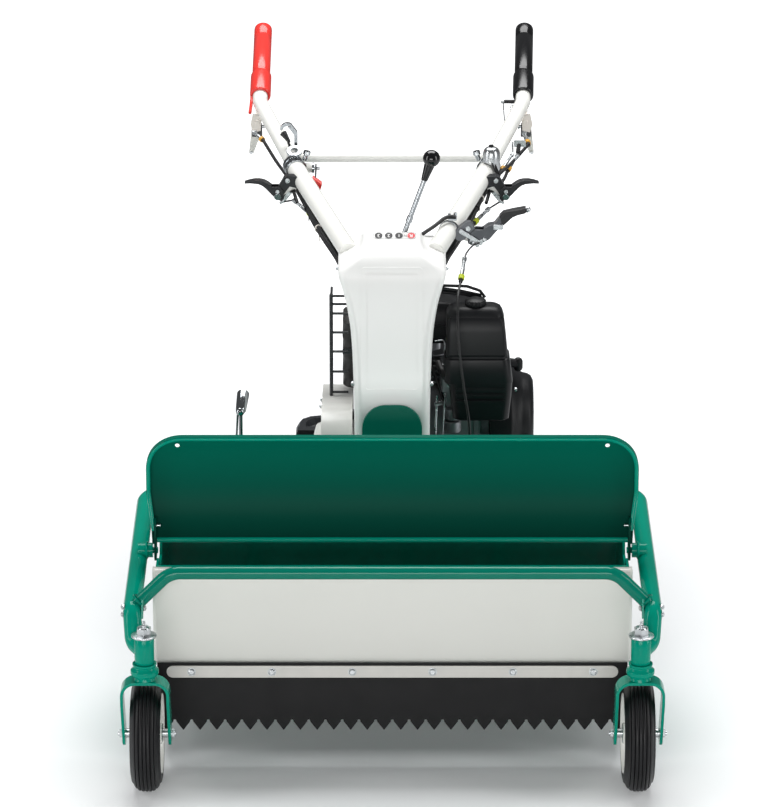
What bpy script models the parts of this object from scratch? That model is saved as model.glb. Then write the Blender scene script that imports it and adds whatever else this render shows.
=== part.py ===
"""A walk-behind crawler mower with a hammer knife rotor, in metres.

The mower faces -Y, +Z is up and +X is the machine's left side. The origin lies
on the ground under the middle of the whole machine. Every named object is one
piece of the machine, and a moving piece has its origin on its own axis.
"""

from math import atan2, cos, hypot, pi, radians, sin

import bmesh
import bpy
from mathutils import Matrix, Vector

# Clearances
FIT = 0.0003            # between pieces that are bolted or pressed together
RUN = 0.0008            # around a piece that turns or slides
SIDES = (("right", -1), ("left", 1))

# Casters
WHEEL_RADIUS = 0.109
TYRE_WIDTH = 0.058
TYRE_RIBS = 7
WHEEL_FLATS = 16
RIM_RADIUS = 0.070
AXLE_Y = -0.836
TRAIL = 0.040
AXLE_BOLT = 0.006
FORK_BAR = 0.0056
FORK_DEPTH = 0.042
FORK_SIDE_GAP = 0.011
CROWN_GAP = 0.012
STEM_RADIUS = 0.0115
SLEEVE_RADIUS = 0.0185
SLEEVE_LENGTH = 0.051
COLLAR_RADIUS = 0.025
COLLAR_HEIGHT = 0.032
PIVOT_Y = AXLE_Y - TRAIL
FORK_INSIDE = TYRE_WIDTH / 2 + FORK_SIDE_GAP
CROWN_Z = 2 * WHEEL_RADIUS + CROWN_GAP + FORK_BAR
SLEEVE_Z = CROWN_Z + COLLAR_HEIGHT + RUN
SLEEVE_TOP = SLEEVE_Z + SLEEVE_LENGTH

# Cutting deck
DECK_HALF = 0.4445      # outside of the side plates
CASTER_X = DECK_HALF + 0.014
DECK_PLATE = 0.005
DECK_FRONT = -0.714
DECK_REAR = -0.325
DECK_LOW = 0.055
DECK_TOP = 0.392
MOUTH_REAR = -0.570     # front edge of the shroud, behind the hood's hinge
ROTOR_Y = -0.530
ROTOR_Z = 0.175
ROTOR_TUBE = 0.032
KNIFE_REACH = 0.138
KNIFE_COUNT = 14
PANEL_SHEET = 0.0025
PANEL_LOW = 0.208
PANEL_TOP = 0.402
PANEL_BULGE = 0.012
FLAP_SHEET = 0.005
FLAP_LOW = 0.066
FLAP_TEETH = 28
TOOTH_DEPTH = 0.022
STRIP_HEIGHT = 0.024
STRIP_SHEET = 0.003
STRIP_SCREWS = 6

# Hood
HOOD_OVERLAP = 0.0225   # how far the hood reaches past the deck's side
HOOD_HALF = DECK_HALF + HOOD_OVERLAP
HOOD_HEIGHT = 0.225     # hinge to top edge
HOOD_SHEET = 0.0025
HOOD_RIM = 0.016
HINGE_Y = -0.601
HINGE_Z = 0.385
HINGE_PIN = 0.006

# Bent tube round the deck, and the bar in front of it
FRAME_TUBE = 0.017
FRAME_SIDE = 0.0385     # from the deck's side to the middle of the tube
FRAME_X = DECK_HALF + FRAME_SIDE
FRAME_FRONT = -0.826    # where the tube turns down to the caster's sleeve
FRAME_REAR = -0.262
FRAME_LOW = 0.350       # height of the middle line at the front
FRAME_HIGH = 0.388      # and behind the deck
FRAME_FLATS = 8
SADDLE = 0.006          # from the tube's centre line to the edge of what is coped to it
GUARD_TUBE = 0.0125
GUARD_Y = -0.812
GUARD_Z = 0.424
GUARD_HALF = DECK_HALF - 0.0265
HEIGHT_LEVER_X = -0.298

# Crawlers
RAIL_X = 0.113
RAIL_WIDTH = 0.030
TRACK_WIDTH = 0.150
TRACK_GAP = 0.002       # from the rail to the crawler
TRACK_X = RAIL_X + RAIL_WIDTH / 2 + TRACK_GAP + TRACK_WIDTH / 2
TRACK_BELT = 0.010
LUG_HEIGHT = 0.018
LUG_PITCH = 0.090
HORN_HEIGHT = 0.014
HORN_OFFSET = 0.024
HORN_WIDTH = 0.012
SPROCKET_Y = -0.170
SPROCKET_Z = 0.170
SPROCKET_SEAT = 0.080   # radius of the belt's inner face round the sprocket
SPROCKET_TEETH = 9
IDLER_Y = 0.330
IDLER_RADIUS = 0.075
ROLLER_RADIUS = 0.040
ROLLER_YS = (-0.030, 0.150)
WHEEL_FACE = 0.055      # half width of rollers and idlers
TRACK_PLATE = 0.006
TRACK_STEPS = 7         # flats round half a turn of the belt
TRACK_FLOOR = LUG_HEIGHT + TRACK_BELT

# Chassis
RAIL_HEIGHT = 0.050
RAIL_TOP = 0.295
RAIL_REAR = 0.400
BED_SHEET = 0.008
CASE_HALF = 0.075
CASE_TOP = 0.400

# Engine
CRANK_Y = 0.100
CRANK_Z = 0.415
CRANKCASE_RADIUS = 0.088
CRANKCASE_LEFT = 0.180
CRANKCASE_RIGHT = -0.060
STARTER_BOSS = 0.018    # from the crankcase to the recoil starter
FIN_COUNT = 6
RECOIL_RADIUS = 0.105
RECOIL_DEPTH = 0.085
PULLEY_X = -0.110
PULLEY_WIDTH = 0.022
PULLEY_SHAFT = 0.011
ENGINE_PULLEY = 0.042
GEARBOX_PULLEY = 0.082
INPUT_Y = -0.128
INPUT_Z = 0.412
BELT_THICKNESS = 0.008
COVER_SHEET = 0.002
MUFFLER_FRONT = -0.010
MUFFLER_LOW = 0.514
MUFFLER_TOP = 0.672
GUARD_LOW = 0.508
GUARD_HIGH = 0.717
COVER_GAP = 0.020       # from a pulley to the outside of the belt cover
COVER_RIM = 0.005
COVER_INSIDE = -0.079
AIR_REAR = -0.062

# Column, dash and handles
DASH_WALL = 0.0025
DASH_FRONT = -0.250
DASH_LOW = 0.446
DASH_HALF = 0.0755
COLUMN_Y = -0.115
COLUMN_TOP = 0.770
SHIFT_Y = -0.045
SHIFT_Z = 0.700
GATE_Z = 0.852
LOWER_TUBE = 0.019
UPPER_TUBE = 0.016
HANDLE_FOOT = (0.108, -0.070, 0.812)
HANDLE_JOINT = (0.205, 0.385, 0.866)
HANDLE_BEND = (0.283, 0.700, 0.922)
GRIP_END = (0.285, 0.9392, 1.0275)
CROSS_Y = 0.420
GRIP_RADIUS = 0.0195
GRIP_COLLAR = 0.0225
CABLE_BUNDLE = 0.008
THIN_CABLE = 0.004


# Making and joining shapes

def new_object(mesh):
    obj = bpy.data.objects.new("blank", mesh)
    bpy.context.scene.collection.objects.link(obj)
    return obj


def blank(bm):
    """An unnamed closed shape with its faces turned outwards."""
    bmesh.ops.recalc_face_normals(bm, faces=bm.faces)
    mesh = bpy.data.meshes.new("blank")
    bm.to_mesh(mesh)
    bm.free()
    return new_object(mesh)


def block(low, high):
    bm = bmesh.new()
    bmesh.ops.create_cube(bm, size=1)
    size = Vector(high) - Vector(low)
    middle = (Vector(high) + Vector(low)) / 2
    bmesh.ops.scale(bm, vec=size, verts=bm.verts)
    bmesh.ops.translate(bm, vec=middle, verts=bm.verts)
    return blank(bm)


def prism(outline, low, high, axis="X"):
    """An outline extruded along X (points are y, z), Y (x, z) or Z (x, y)."""
    place = {
        "X": lambda a, b, h: (h, a, b),
        "Y": lambda a, b, h: (a, h, b),
        "Z": lambda a, b, h: (a, b, h),
    }[axis]
    bm = bmesh.new()
    face = bm.faces.new([bm.verts.new(place(a, b, low)) for a, b in outline])
    grown = bmesh.ops.extrude_face_region(bm, geom=[face])
    moved = [g for g in grown["geom"] if isinstance(g, bmesh.types.BMVert)]
    bmesh.ops.translate(bm, vec=place(0, 0, high - low), verts=moved)
    return blank(bm)


def turned(profile, centre, axis="X", segments=24, ring=False):
    """A profile of (radius, distance along the axis) points, spun round the axis."""
    along = {"X": Vector((1, 0, 0)), "Y": Vector((0, 1, 0)), "Z": Vector((0, 0, 1))}[axis]
    out = {"X": Vector((0, 0, 1)), "Y": Vector((1, 0, 0)), "Z": Vector((1, 0, 0))}[axis]
    centre = Vector(centre)
    bm = bmesh.new()
    verts = [bm.verts.new(centre + out * r + along * h) for r, h in profile]
    pairs = list(zip(verts, verts[1:]))
    if ring:
        pairs.append((verts[-1], verts[0]))
    edges = [bm.edges.new(pair) for pair in pairs]
    bmesh.ops.spin(bm, geom=verts + edges, cent=centre, axis=along, dvec=(0, 0, 0),
                   angle=2 * pi, steps=segments, use_merge=True)
    bmesh.ops.remove_doubles(bm, verts=bm.verts, dist=1e-6)
    return blank(bm)


def rod(start, end, radius, sides=12, tip=None):
    start, end = Vector(start), Vector(end)
    along = end - start
    bm = bmesh.new()
    turn = along.to_track_quat("Z", "Y").to_matrix().to_4x4()
    bmesh.ops.create_cone(bm, cap_ends=True, segments=sides, radius1=radius,
                          radius2=radius if tip is None else tip, depth=along.length,
                          matrix=Matrix.Translation((start + end) / 2) @ turn)
    return blank(bm)


def ball(centre, radius, segments=16, rings=8):
    bm = bmesh.new()
    bmesh.ops.create_uvsphere(bm, u_segments=segments, v_segments=rings, radius=radius,
                              matrix=Matrix.Translation(centre))
    return blank(bm)


def bent(points, radius, steps=4):
    """The polyline through the points with each inner corner rounded to the radius."""
    points = [Vector(p) for p in points]
    path = [points[0]]
    for before, corner, after in zip(points, points[1:], points[2:]):
        a, b = (before - corner).normalized(), (after - corner).normalized()
        half = a.angle(b) / 2
        middle = corner + (a + b).normalized() * radius / sin(half)
        start = corner + a * radius * cos(half) / sin(half)
        end = corner + b * radius * cos(half) / sin(half)
        first, last = (start - middle).normalized(), (end - middle).normalized()
        swing = first.angle(last)
        for i in range(steps + 1):
            share = i / steps
            arm = (first * sin((1 - share) * swing) + last * sin(share * swing)) / sin(swing)
            path.append(middle + arm * radius)
    return path + [points[-1]]


def tube(path, radius, sides=12):
    """A round bar along a path, with flat ends."""
    curve = bpy.data.curves.new("blank", "CURVE")
    curve.dimensions = "3D"
    curve.bevel_depth = radius
    curve.bevel_resolution = (sides - 4) // 2
    curve.use_fill_caps = True
    spline = curve.splines.new("POLY")
    spline.points.add(len(path) - 1)
    for point, place in zip(spline.points, path):
        point.co = (*place, 1)
    guide = new_object(curve)
    mesh = evaluated_mesh(guide)
    bpy.data.objects.remove(guide)
    bm = bmesh.new()
    bm.from_mesh(mesh)
    bmesh.ops.remove_doubles(bm, verts=bm.verts, dist=1e-6)
    return blank(bm)


def loft(sections):
    """A closed skin over loops that all have the same number of points."""
    bm = bmesh.new()
    loops = [[bm.verts.new(p) for p in section] for section in sections]
    bm.faces.new(loops[0])
    bm.faces.new(loops[-1])
    for lower, upper in zip(loops, loops[1:]):
        for i in range(len(lower)):
            j = (i + 1) % len(lower)
            bm.faces.new((lower[i], lower[j], upper[j], upper[i]))
    return blank(bm)


def evaluated_mesh(obj):
    bpy.context.view_layer.update()
    graph = bpy.context.evaluated_depsgraph_get()
    return bpy.data.meshes.new_from_object(obj.evaluated_get(graph))


def combined(base, operation, others):
    """The base joined with, cut by or kept inside the others, which are used up."""
    if not others:
        return base
    group = bpy.data.collections.new("operands")
    for other in others:
        group.objects.link(other)
    boolean = base.modifiers.new("shape", "BOOLEAN")
    boolean.operation = operation
    boolean.operand_type = "COLLECTION"
    boolean.solver = "EXACT"
    boolean.collection = group
    mesh = evaluated_mesh(base)
    for used in [base, *others]:
        bpy.data.objects.remove(used)
    bpy.data.collections.remove(group)
    return new_object(mesh)


def joined(*pieces):
    return combined(pieces[0], "UNION", list(pieces[1:]))


def cut(base, *cutters):
    return combined(base, "DIFFERENCE", list(cutters))


def inside(base, limit):
    return combined(base, "INTERSECT", [limit])


def turned_about(obj, centre, angle, axis="X"):
    """Turns a shape about a point, before it is finished."""
    centre = Matrix.Translation(centre)
    obj.data.transform(centre @ Matrix.Rotation(angle, 4, axis) @ centre.inverted())
    return obj


def finished(name, material, obj, axis=(0, 0, 0), on=None):
    """Names a shape, puts its origin on its axis and hangs it on the piece that carries it."""
    obj.name = name
    obj.data.name = name
    obj.data.transform(Matrix.Translation(-Vector(axis)))
    obj.location = axis
    obj.data.materials.clear()
    obj.data.materials.append(material)
    obj.data.shade_smooth()
    obj.data.set_sharp_from_angle(angle=radians(32))
    if on:
        bpy.context.view_layer.update()
        obj.parent = on
        obj.matrix_parent_inverse = on.matrix_world.inverted()
    return obj


def material(name, colour, roughness, metallic=0.0):
    made = bpy.data.materials.new(name)
    made.use_nodes = True
    shader = made.node_tree.nodes["Principled BSDF"]
    shader.inputs["Base Color"].default_value = (*colour, 1)
    shader.inputs["Roughness"].default_value = roughness
    shader.inputs["Metallic"].default_value = metallic
    return made


# Outlines

def arc(centre, radius, start, end, steps):
    """Points on a circle from one angle in degrees to another."""
    angles = [radians(start + (end - start) * i / steps) for i in range(steps + 1)]
    return [(centre[0] + radius * cos(a), centre[1] + radius * sin(a)) for a in angles]


def rounded_box(low, high, radius, steps=3):
    (x0, y0), (x1, y1) = low, high
    corners = ((x1 - radius, y1 - radius, 0), (x0 + radius, y1 - radius, 90),
               (x0 + radius, y0 + radius, 180), (x1 - radius, y0 + radius, 270))
    return [p for x, y, a in corners for p in arc((x, y), radius, a, a + 90, steps)]


def around(circles, grow=0.0, steps=8):
    """The tight outline round circles (a, b, radius), listed anticlockwise."""
    outline = []
    count = len(circles)
    for i in range(count):
        before, here, after = circles[i - 1], circles[i], circles[(i + 1) % count]
        start, end = tangent_angle(before, here), tangent_angle(here, after)
        while end < start:
            end += 2 * pi
        turns = max(2, round(steps * (end - start) / pi))
        for k in range(turns + 1):
            a = start + (end - start) * k / turns
            reach = here[2] + grow
            outline.append((here[0] + reach * cos(a), here[1] + reach * sin(a)))
    return outline


def tangent_angle(first, second):
    """Direction of the outer tangent's normal between two circles, going anticlockwise."""
    along = atan2(second[1] - first[1], second[0] - first[0])
    distance = hypot(second[0] - first[0], second[1] - first[1])
    lean = (first[2] - second[2]) / distance
    return along - pi / 2 + atan2(lean, (1 - lean * lean) ** 0.5)


def toothed(outline, pitch, height, foot, top):
    """The closed outline with a tooth of the given height each pitch. Negative teeth point in."""
    points = [Vector(p) for p in outline]
    lengths = [(points[i - len(points) + 1] - points[i]).length for i in range(len(points))]
    total = sum(lengths)
    count = round(total / pitch)

    def at(distance):
        distance %= total
        for i, length in enumerate(lengths):
            if distance <= length:
                along = (points[i - len(points) + 1] - points[i]) / length
                return points[i] + along * distance, Vector((along.y, -along.x))
            distance -= length
        return points[0], Vector((0, 0))

    stops = []
    travelled = 0
    for i, length in enumerate(lengths):
        stops.append((travelled, points[i]))
        travelled += length
    made = []
    for k in range(count):
        middle = (k + 0.5) * total / count
        near, far = middle - foot / 2, middle + foot / 2
        before = middle - total / count / 2
        made += [p for d, p in stops if before <= d < near - 1e-4]
        for offset, lift in ((-foot, 0), (-top, height), (top, height), (foot, 0)):
            place, out = at(middle + offset / 2)
            made.append(place + out * lift)
        made += [p for d, p in stops if far + 1e-4 < d < middle + total / count / 2]
    return [tuple(p) for p in made]


# Materials, as colours of light

def colour(hex_code):
    parts = [int(hex_code[i:i + 2], 16) / 255 for i in (0, 2, 4)]
    return [p / 12.92 if p <= 0.04045 else ((p + 0.055) / 1.055) ** 2.4 for p in parts]


def make_materials():
    return {
        "green": material("green_enamel", colour("00765A"), 0.22),
        "white": material("white_enamel", colour("EDEDE8"), 0.25),
        "rubber": material("black_rubber", colour("1B1B1C"), 0.75),
        "plastic": material("black_plastic", colour("1F1F21"), 0.5),
        "frame": material("black_frame_paint", colour("202224"), 0.4),
        "cast": material("cast_alloy", colour("8E9092"), 0.45, 0.9),
        "steel": material("zinc_plated_steel", colour("B9BBBB"), 0.32, 1.0),
        "chrome": material("chromed_steel", colour("D8DADC"), 0.12, 1.0),
        "red": material("red_rubber", colour("E0322B"), 0.5),
        "knife": material("knife_steel", colour("6C6A66"), 0.5, 0.9),
    }


# Casters

def caster_fork(finish, side, sign):
    """The bent fork with its stem, nut and axle bolt."""
    x, eye = sign * CASTER_X, 0.022
    outside = FORK_INSIDE + FORK_BAR
    low = WHEEL_RADIUS - eye - 0.001
    bend = 0.026

    def arch(half, top, radius):
        return [(x + half, low), *arc((x + half - radius, top - radius), radius, 0, 90, 3),
                *arc((x - half + radius, top - radius), radius, 90, 180, 3), (x - half, low)]

    shell = arch(outside, CROWN_Z, bend)
    hollow = arch(FORK_INSIDE, CROWN_Z - FORK_BAR, bend - FORK_BAR)
    band = prism(shell + hollow[::-1], PIVOT_Y - FORK_DEPTH, AXLE_Y + FORK_DEPTH, "Y")
    half = FORK_DEPTH / 2
    knee = CROWN_Z - 0.045
    side_view = [(PIVOT_Y - half, CROWN_Z + 0.001), (PIVOT_Y - half, knee)]
    side_view += arc((AXLE_Y, WHEEL_RADIUS), eye, 185, 375, 6)
    side_view += [(PIVOT_Y + half, knee), (PIVOT_Y + half, CROWN_Z + 0.001)]
    bar = inside(band, prism(side_view, x - outside - 0.001, x + outside + 0.001))

    neck = SLEEVE_Z - COLLAR_HEIGHT + 0.012
    cap = SLEEVE_TOP + RUN
    stem = turned([
        (0, CROWN_Z - FORK_BAR / 2), (0.0185, CROWN_Z - FORK_BAR / 2), (0.0185, neck),
        (COLLAR_RADIUS, neck + 0.003), (COLLAR_RADIUS, neck + 0.011),
        (0.021, SLEEVE_Z - RUN), (STEM_RADIUS, SLEEVE_Z - RUN), (STEM_RADIUS, cap),
        (0.0235, cap), (0.0235, cap + 0.003), (0.015, cap + 0.009), (0, cap + 0.009),
    ], (x, PIVOT_Y, 0), "Z", 10)
    nut = rod((x, PIVOT_Y, cap + 0.006), (x, PIVOT_Y, cap + 0.020), 0.0150, 6)
    nipple = rod((x, PIVOT_Y, cap + 0.018), (x, PIVOT_Y, cap + 0.030), 0.0045, 6, 0.0025)
    bolt = rod((x - outside - 0.010, AXLE_Y, WHEEL_RADIUS),
               (x + outside + 0.010, AXLE_Y, WHEEL_RADIUS), AXLE_BOLT, 6)
    head = rod((x + sign * outside, AXLE_Y, WHEEL_RADIUS),
               (x + sign * (outside + 0.006), AXLE_Y, WHEEL_RADIUS), 0.0095, 6)
    inner_nut = rod((x - sign * outside, AXLE_Y, WHEEL_RADIUS),
                    (x - sign * (outside + 0.008), AXLE_Y, WHEEL_RADIUS), 0.0105, 6)
    shape = joined(bar, stem, nut, nipple, bolt, head, inner_nut)
    return finished(f"caster_fork_{side}", finish["green"], shape, (x, PIVOT_Y, CROWN_Z))


def caster_wheel(finish, side, sign, fork):
    centre = (sign * CASTER_X, AXLE_Y, WHEEL_RADIUS)
    half = TYRE_WIDTH / 2
    crown = half - 0.004
    pitch = 2 * crown / (TYRE_RIBS - 0.3)
    profile = [(RIM_RADIUS, half - 0.006), (RIM_RADIUS, 0.006 - half),
               (RIM_RADIUS + 0.010, -half), (WHEEL_RADIUS - 0.010, -half)]
    for i in range(TYRE_RIBS):
        start = -crown + i * pitch
        profile += [(WHEEL_RADIUS, start), (WHEEL_RADIUS, start + 0.7 * pitch)]
        if i < TYRE_RIBS - 1:
            profile.append((WHEEL_RADIUS - 0.0025, start + 0.85 * pitch))
    profile += [(WHEEL_RADIUS - 0.010, half), (RIM_RADIUS + 0.010, half)]
    tyre = turned(profile, centre, "X", WHEEL_FLATS, ring=True)
    finished(f"caster_tyre_{side}", finish["rubber"], tyre, centre, fork)

    seat, hub, bore = RIM_RADIUS - FIT, 0.019, AXLE_BOLT + RUN
    web = 0.005
    rim = turned([
        (bore, -half), (hub, -half), (hub, -web), (seat - 0.010, -web), (seat, 0.006 - half),
        (seat, half - 0.006), (seat - 0.010, web), (hub, web), (hub, half), (bore, half),
    ], centre, "X", WHEEL_FLATS, ring=True)
    finished(f"caster_rim_{side}", finish["white"], rim, centre, fork)


# Frame round the deck

def frame_route():
    """The centre line of the frame tube, from one caster round behind the deck to the other."""
    sleeve_middle = (SLEEVE_Z + SLEEVE_TOP) / 2 - 0.003
    corner = (FRAME_X, FRAME_REAR - 0.060, FRAME_HIGH)
    side = bent([(CASTER_X, PIVOT_Y, sleeve_middle),
                 (FRAME_X - 0.004, FRAME_FRONT - 0.020, sleeve_middle + 0.006),
                 (FRAME_X, FRAME_FRONT, FRAME_LOW), corner], 0.020, 3)
    rear = bent([(FRAME_X, FRAME_REAR - 0.120, FRAME_HIGH - 0.004), corner,
                 (FRAME_X - 0.090, FRAME_REAR, FRAME_HIGH), (0, FRAME_REAR, FRAME_HIGH)], 0.050, 3)
    half = side[:-1] + rear[1:-1]
    return half + [Vector((-p.x, p.y, p.z)) for p in reversed(half)]


def side_frame(finish):
    """One bent tube round the deck, with a sleeve for each caster and a stub for each hinge."""
    pieces = [tube(frame_route(), FRAME_TUBE, FRAME_FLATS)]
    cutters = []
    for _, sign in SIDES:
        x = sign * CASTER_X
        pieces.append(rod((x, PIVOT_Y, SLEEVE_Z), (x, PIVOT_Y, SLEEVE_TOP), SLEEVE_RADIUS, 12))
        cutters.append(rod((x, PIVOT_Y, SLEEVE_Z - 0.01), (x, PIVOT_Y, SLEEVE_TOP + 0.1),
                           STEM_RADIUS + RUN, 10))
        ear_outside = HOOD_HALF - 0.012
        pieces.append(rod((sign * FRAME_X, HINGE_Y, HINGE_Z),
                          (sign * ear_outside, HINGE_Y, HINGE_Z), 0.014, 8))
        pieces.append(rod((sign * FRAME_X, HINGE_Y, HINGE_Z),
                          (sign * (DECK_HALF + RUN), HINGE_Y, HINGE_Z), HINGE_PIN, 8))
    lever_z = FRAME_HIGH + FRAME_TUBE + 0.016
    pieces.append(block((HEIGHT_LEVER_X - 0.014, FRAME_REAR - 0.010, FRAME_HIGH),
                        (HEIGHT_LEVER_X - 0.007, FRAME_REAR + 0.010, lever_z + 0.010)))
    pieces.append(rod((HEIGHT_LEVER_X - 0.012, FRAME_REAR, lever_z),
                      (HEIGHT_LEVER_X + 0.008, FRAME_REAR, lever_z), 0.005, 8))
    return finished("side_frame", finish["green"], cut(joined(*pieces), *cutters))


def guard_bar(finish):
    """The round bar in front of the panel, coped to the frame tube at each end."""
    foot = (FRAME_X, GUARD_Y, FRAME_LOW + 0.001)
    route = [(-foot[0], foot[1], foot[2]), (-GUARD_HALF, GUARD_Y, GUARD_Z),
             (GUARD_HALF, GUARD_Y, GUARD_Z), foot]
    bar = tube(bent(route, 0.050), GUARD_TUBE, 10)
    slope = (FRAME_HIGH - FRAME_LOW) / (FRAME_REAR - 0.060 - FRAME_FRONT)
    tubes = [rod((sign * FRAME_X, FRAME_FRONT - 0.05, FRAME_LOW - 0.05 * slope),
                 (sign * FRAME_X, FRAME_FRONT + 0.20, FRAME_LOW + 0.20 * slope), FRAME_TUBE + FIT, 20)
             for _, sign in SIDES]
    return finished("guard_bar", finish["green"], cut(bar, *tubes))


# Deck

def shroud_line():
    """The inside of the bent plate over and behind the rotor, from front to rear."""
    return [(MOUTH_REAR, DECK_TOP), (-0.470, DECK_TOP - 0.004), (-0.395, 0.345),
            (-0.350, 0.270), (DECK_REAR - 0.008, 0.180), (DECK_REAR - 0.008, 0.100)]


def sheet_outline(line, thickness):
    """A bent sheet's outline: the line, and the line moved sideways by the thickness."""
    points = [Vector(p) for p in line]
    moved = []
    for i, point in enumerate(points):
        normals = []
        for a, b in ((i - 1, i), (i, i + 1)):
            if 0 <= a and b < len(points):
                along = (points[b] - points[a]).normalized()
                normals.append(Vector((-along.y, along.x)))
        mean = sum(normals, Vector((0, 0))).normalized()
        moved.append(point + mean * thickness / mean.dot(normals[0]))
    return [tuple(p) for p in points + moved[::-1]]


def deck_shell(finish):
    inner = DECK_HALF - DECK_PLATE
    side_view = [(DECK_FRONT, DECK_TOP), (DECK_FRONT, 0.120), (DECK_FRONT + 0.045, DECK_LOW),
                 (DECK_REAR - 0.035, DECK_LOW), (DECK_REAR, 0.100), (DECK_REAR, 0.250),
                 (-0.385, 0.350), (-0.460, DECK_TOP + 0.008), (HINGE_Y + 0.040, DECK_TOP),
                 (HINGE_Y + 0.028, HINGE_Z - 0.019), (HINGE_Y - 0.048, HINGE_Z - 0.019),
                 (HINGE_Y - 0.060, DECK_TOP)]
    pieces = [prism(sheet_outline(shroud_line(), 0.004), -inner - 0.001, inner + 0.001)]
    cutters = []
    for _, sign in SIDES:
        low, high = sorted((sign * inner, sign * DECK_HALF))
        pieces.append(prism(side_view, low, high))
        hub_low, hub_high = sorted((sign * (inner - 0.012), sign * DECK_HALF))
        pieces.append(rod((hub_low, ROTOR_Y, ROTOR_Z), (hub_high, ROTOR_Y, ROTOR_Z), 0.036, 12))
        cutters.append(rod((sign * (inner - 0.03), ROTOR_Y, ROTOR_Z),
                           (sign * (DECK_HALF + 0.01), ROTOR_Y, ROTOR_Z), 0.015 + RUN, 12))
    reach = inner + 0.001
    pieces.append(block((-reach, DECK_FRONT, 0.170), (reach, DECK_FRONT + 0.028, PANEL_LOW - 0.001)))
    pieces.append(block((-reach, DECK_FRONT, DECK_TOP - 0.020), (reach, DECK_FRONT + 0.016, DECK_TOP)))
    for x in (-RAIL_X, RAIL_X):
        pieces.append(block((x - 0.025, DECK_REAR - 0.010, 0.200),
                            (x + 0.025, DECK_REAR + 0.024, 0.290)))
    return finished("deck_shell", finish["green"], cut(joined(*pieces), *cutters))


def front_panel(finish):
    """The white pressed panel: a bulged front with a turned top edge and side returns."""
    back = DECK_FRONT - FIT
    face = back - 0.016
    line = [(back - PANEL_SHEET - 0.002, PANEL_LOW), (face, PANEL_LOW + 0.014)]
    rise = PANEL_TOP - PANEL_LOW - 0.014
    for i in range(1, 6):
        share = i / 6
        line.append((face - PANEL_BULGE * sin(pi * share) * (1 - share), PANEL_LOW + 0.014 + rise * share))
    line += [(face, PANEL_TOP), (face + 0.014, PANEL_TOP + 0.004)]
    half = DECK_HALF + FIT + PANEL_SHEET
    front = prism(sheet_outline(line, -PANEL_SHEET), -half, half)
    returns = []
    for _, sign in SIDES:
        low, high = sorted((sign * (DECK_HALF + FIT), sign * half))
        returns.append(prism([(p[0] + 0.0005, p[1]) for p in line[:-1]]
                             + [(back + 0.045, PANEL_TOP - 0.016), (back + 0.045, PANEL_LOW + 0.030)],
                             low, high))
    return finished("front_panel", finish["white"], joined(front, *returns))


def rubber_flap(finish):
    """The toothed rubber sheet that closes the front of the deck."""
    half = DECK_HALF
    pitch = 2 * half / FLAP_TEETH
    outline = [(-half, PANEL_LOW - 0.003), (-half, FLAP_LOW + TOOTH_DEPTH)]
    for i in range(FLAP_TEETH):
        outline.append((-half + (i + 0.5) * pitch, FLAP_LOW))
        outline.append((-half + (i + 1) * pitch, FLAP_LOW + TOOTH_DEPTH))
    outline.append((half, PANEL_LOW - 0.003))
    back = DECK_FRONT - FIT
    flap = prism(outline, back - FLAP_SHEET, back, "Y")
    return finished("rubber_flap", finish["rubber"], flap)


def flap_strip(finish):
    """The aluminium strip that clamps the flap, with its screw heads."""
    back = DECK_FRONT - 2 * FIT - FLAP_SHEET
    low = PANEL_LOW - 0.006 - STRIP_HEIGHT
    half = DECK_HALF - 0.018
    end = STRIP_HEIGHT / 2
    outline = (arc((half - end, low + end), end, -90, 90, 6)
               + arc((end - half, low + end), end, 90, 270, 6))
    strip = prism(outline, back - STRIP_SHEET, back, "Y")
    pitch = (2 * half - 0.05) / (STRIP_SCREWS - 1)
    heads = [rod((-half + 0.025 + i * pitch, back - STRIP_SHEET + 0.001, low + end),
                 (-half + 0.025 + i * pitch, back - STRIP_SHEET - 0.004, low + end), 0.0065, 6, 0.004)
             for i in range(STRIP_SCREWS)]
    return finished("flap_strip", finish["steel"], joined(strip, *heads))


def flail_rotor(finish):
    """The rotor tube with its stub shafts, and a hammer knife in each pair of lugs."""
    inner = DECK_HALF - DECK_PLATE
    half = inner - 0.018
    body = turned([(0, -inner + 0.001), (0.015, -inner + 0.001), (0.015, -half), (ROTOR_TUBE, -half),
                   (ROTOR_TUBE, half), (0.015, half), (0.015, inner - 0.001), (0, inner - 0.001)],
                  (0, ROTOR_Y, ROTOR_Z), "X", 12)
    pieces = [body]
    pitch = (2 * half - 0.05) / (KNIFE_COUNT - 1)
    centre = (0, ROTOR_Y, ROTOR_Z)
    for i in range(KNIFE_COUNT):
        x = -half + 0.025 + i * pitch
        root = ROTOR_Z + ROTOR_TUBE - 0.003
        pin = root + 0.026
        tip = ROTOR_Z + KNIFE_REACH
        lugs = block((x - 0.011, ROTOR_Y - 0.014, root), (x + 0.011, ROTOR_Y + 0.014, pin + 0.010))
        blade = prism([(x - 0.006, pin - 0.006), (x + 0.006, pin - 0.006), (x + 0.007, tip - 0.034),
                       (x + 0.0165, tip), (x - 0.0165, tip), (x - 0.007, tip - 0.034)],
                      ROTOR_Y - 0.004, ROTOR_Y + 0.004, "Y")
        angle = radians(135 * i)
        pieces += [turned_about(piece, centre, angle) for piece in (lugs, blade)]
    return finished("flail_rotor", finish["knife"], joined(*pieces), centre)


# Hood

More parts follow.
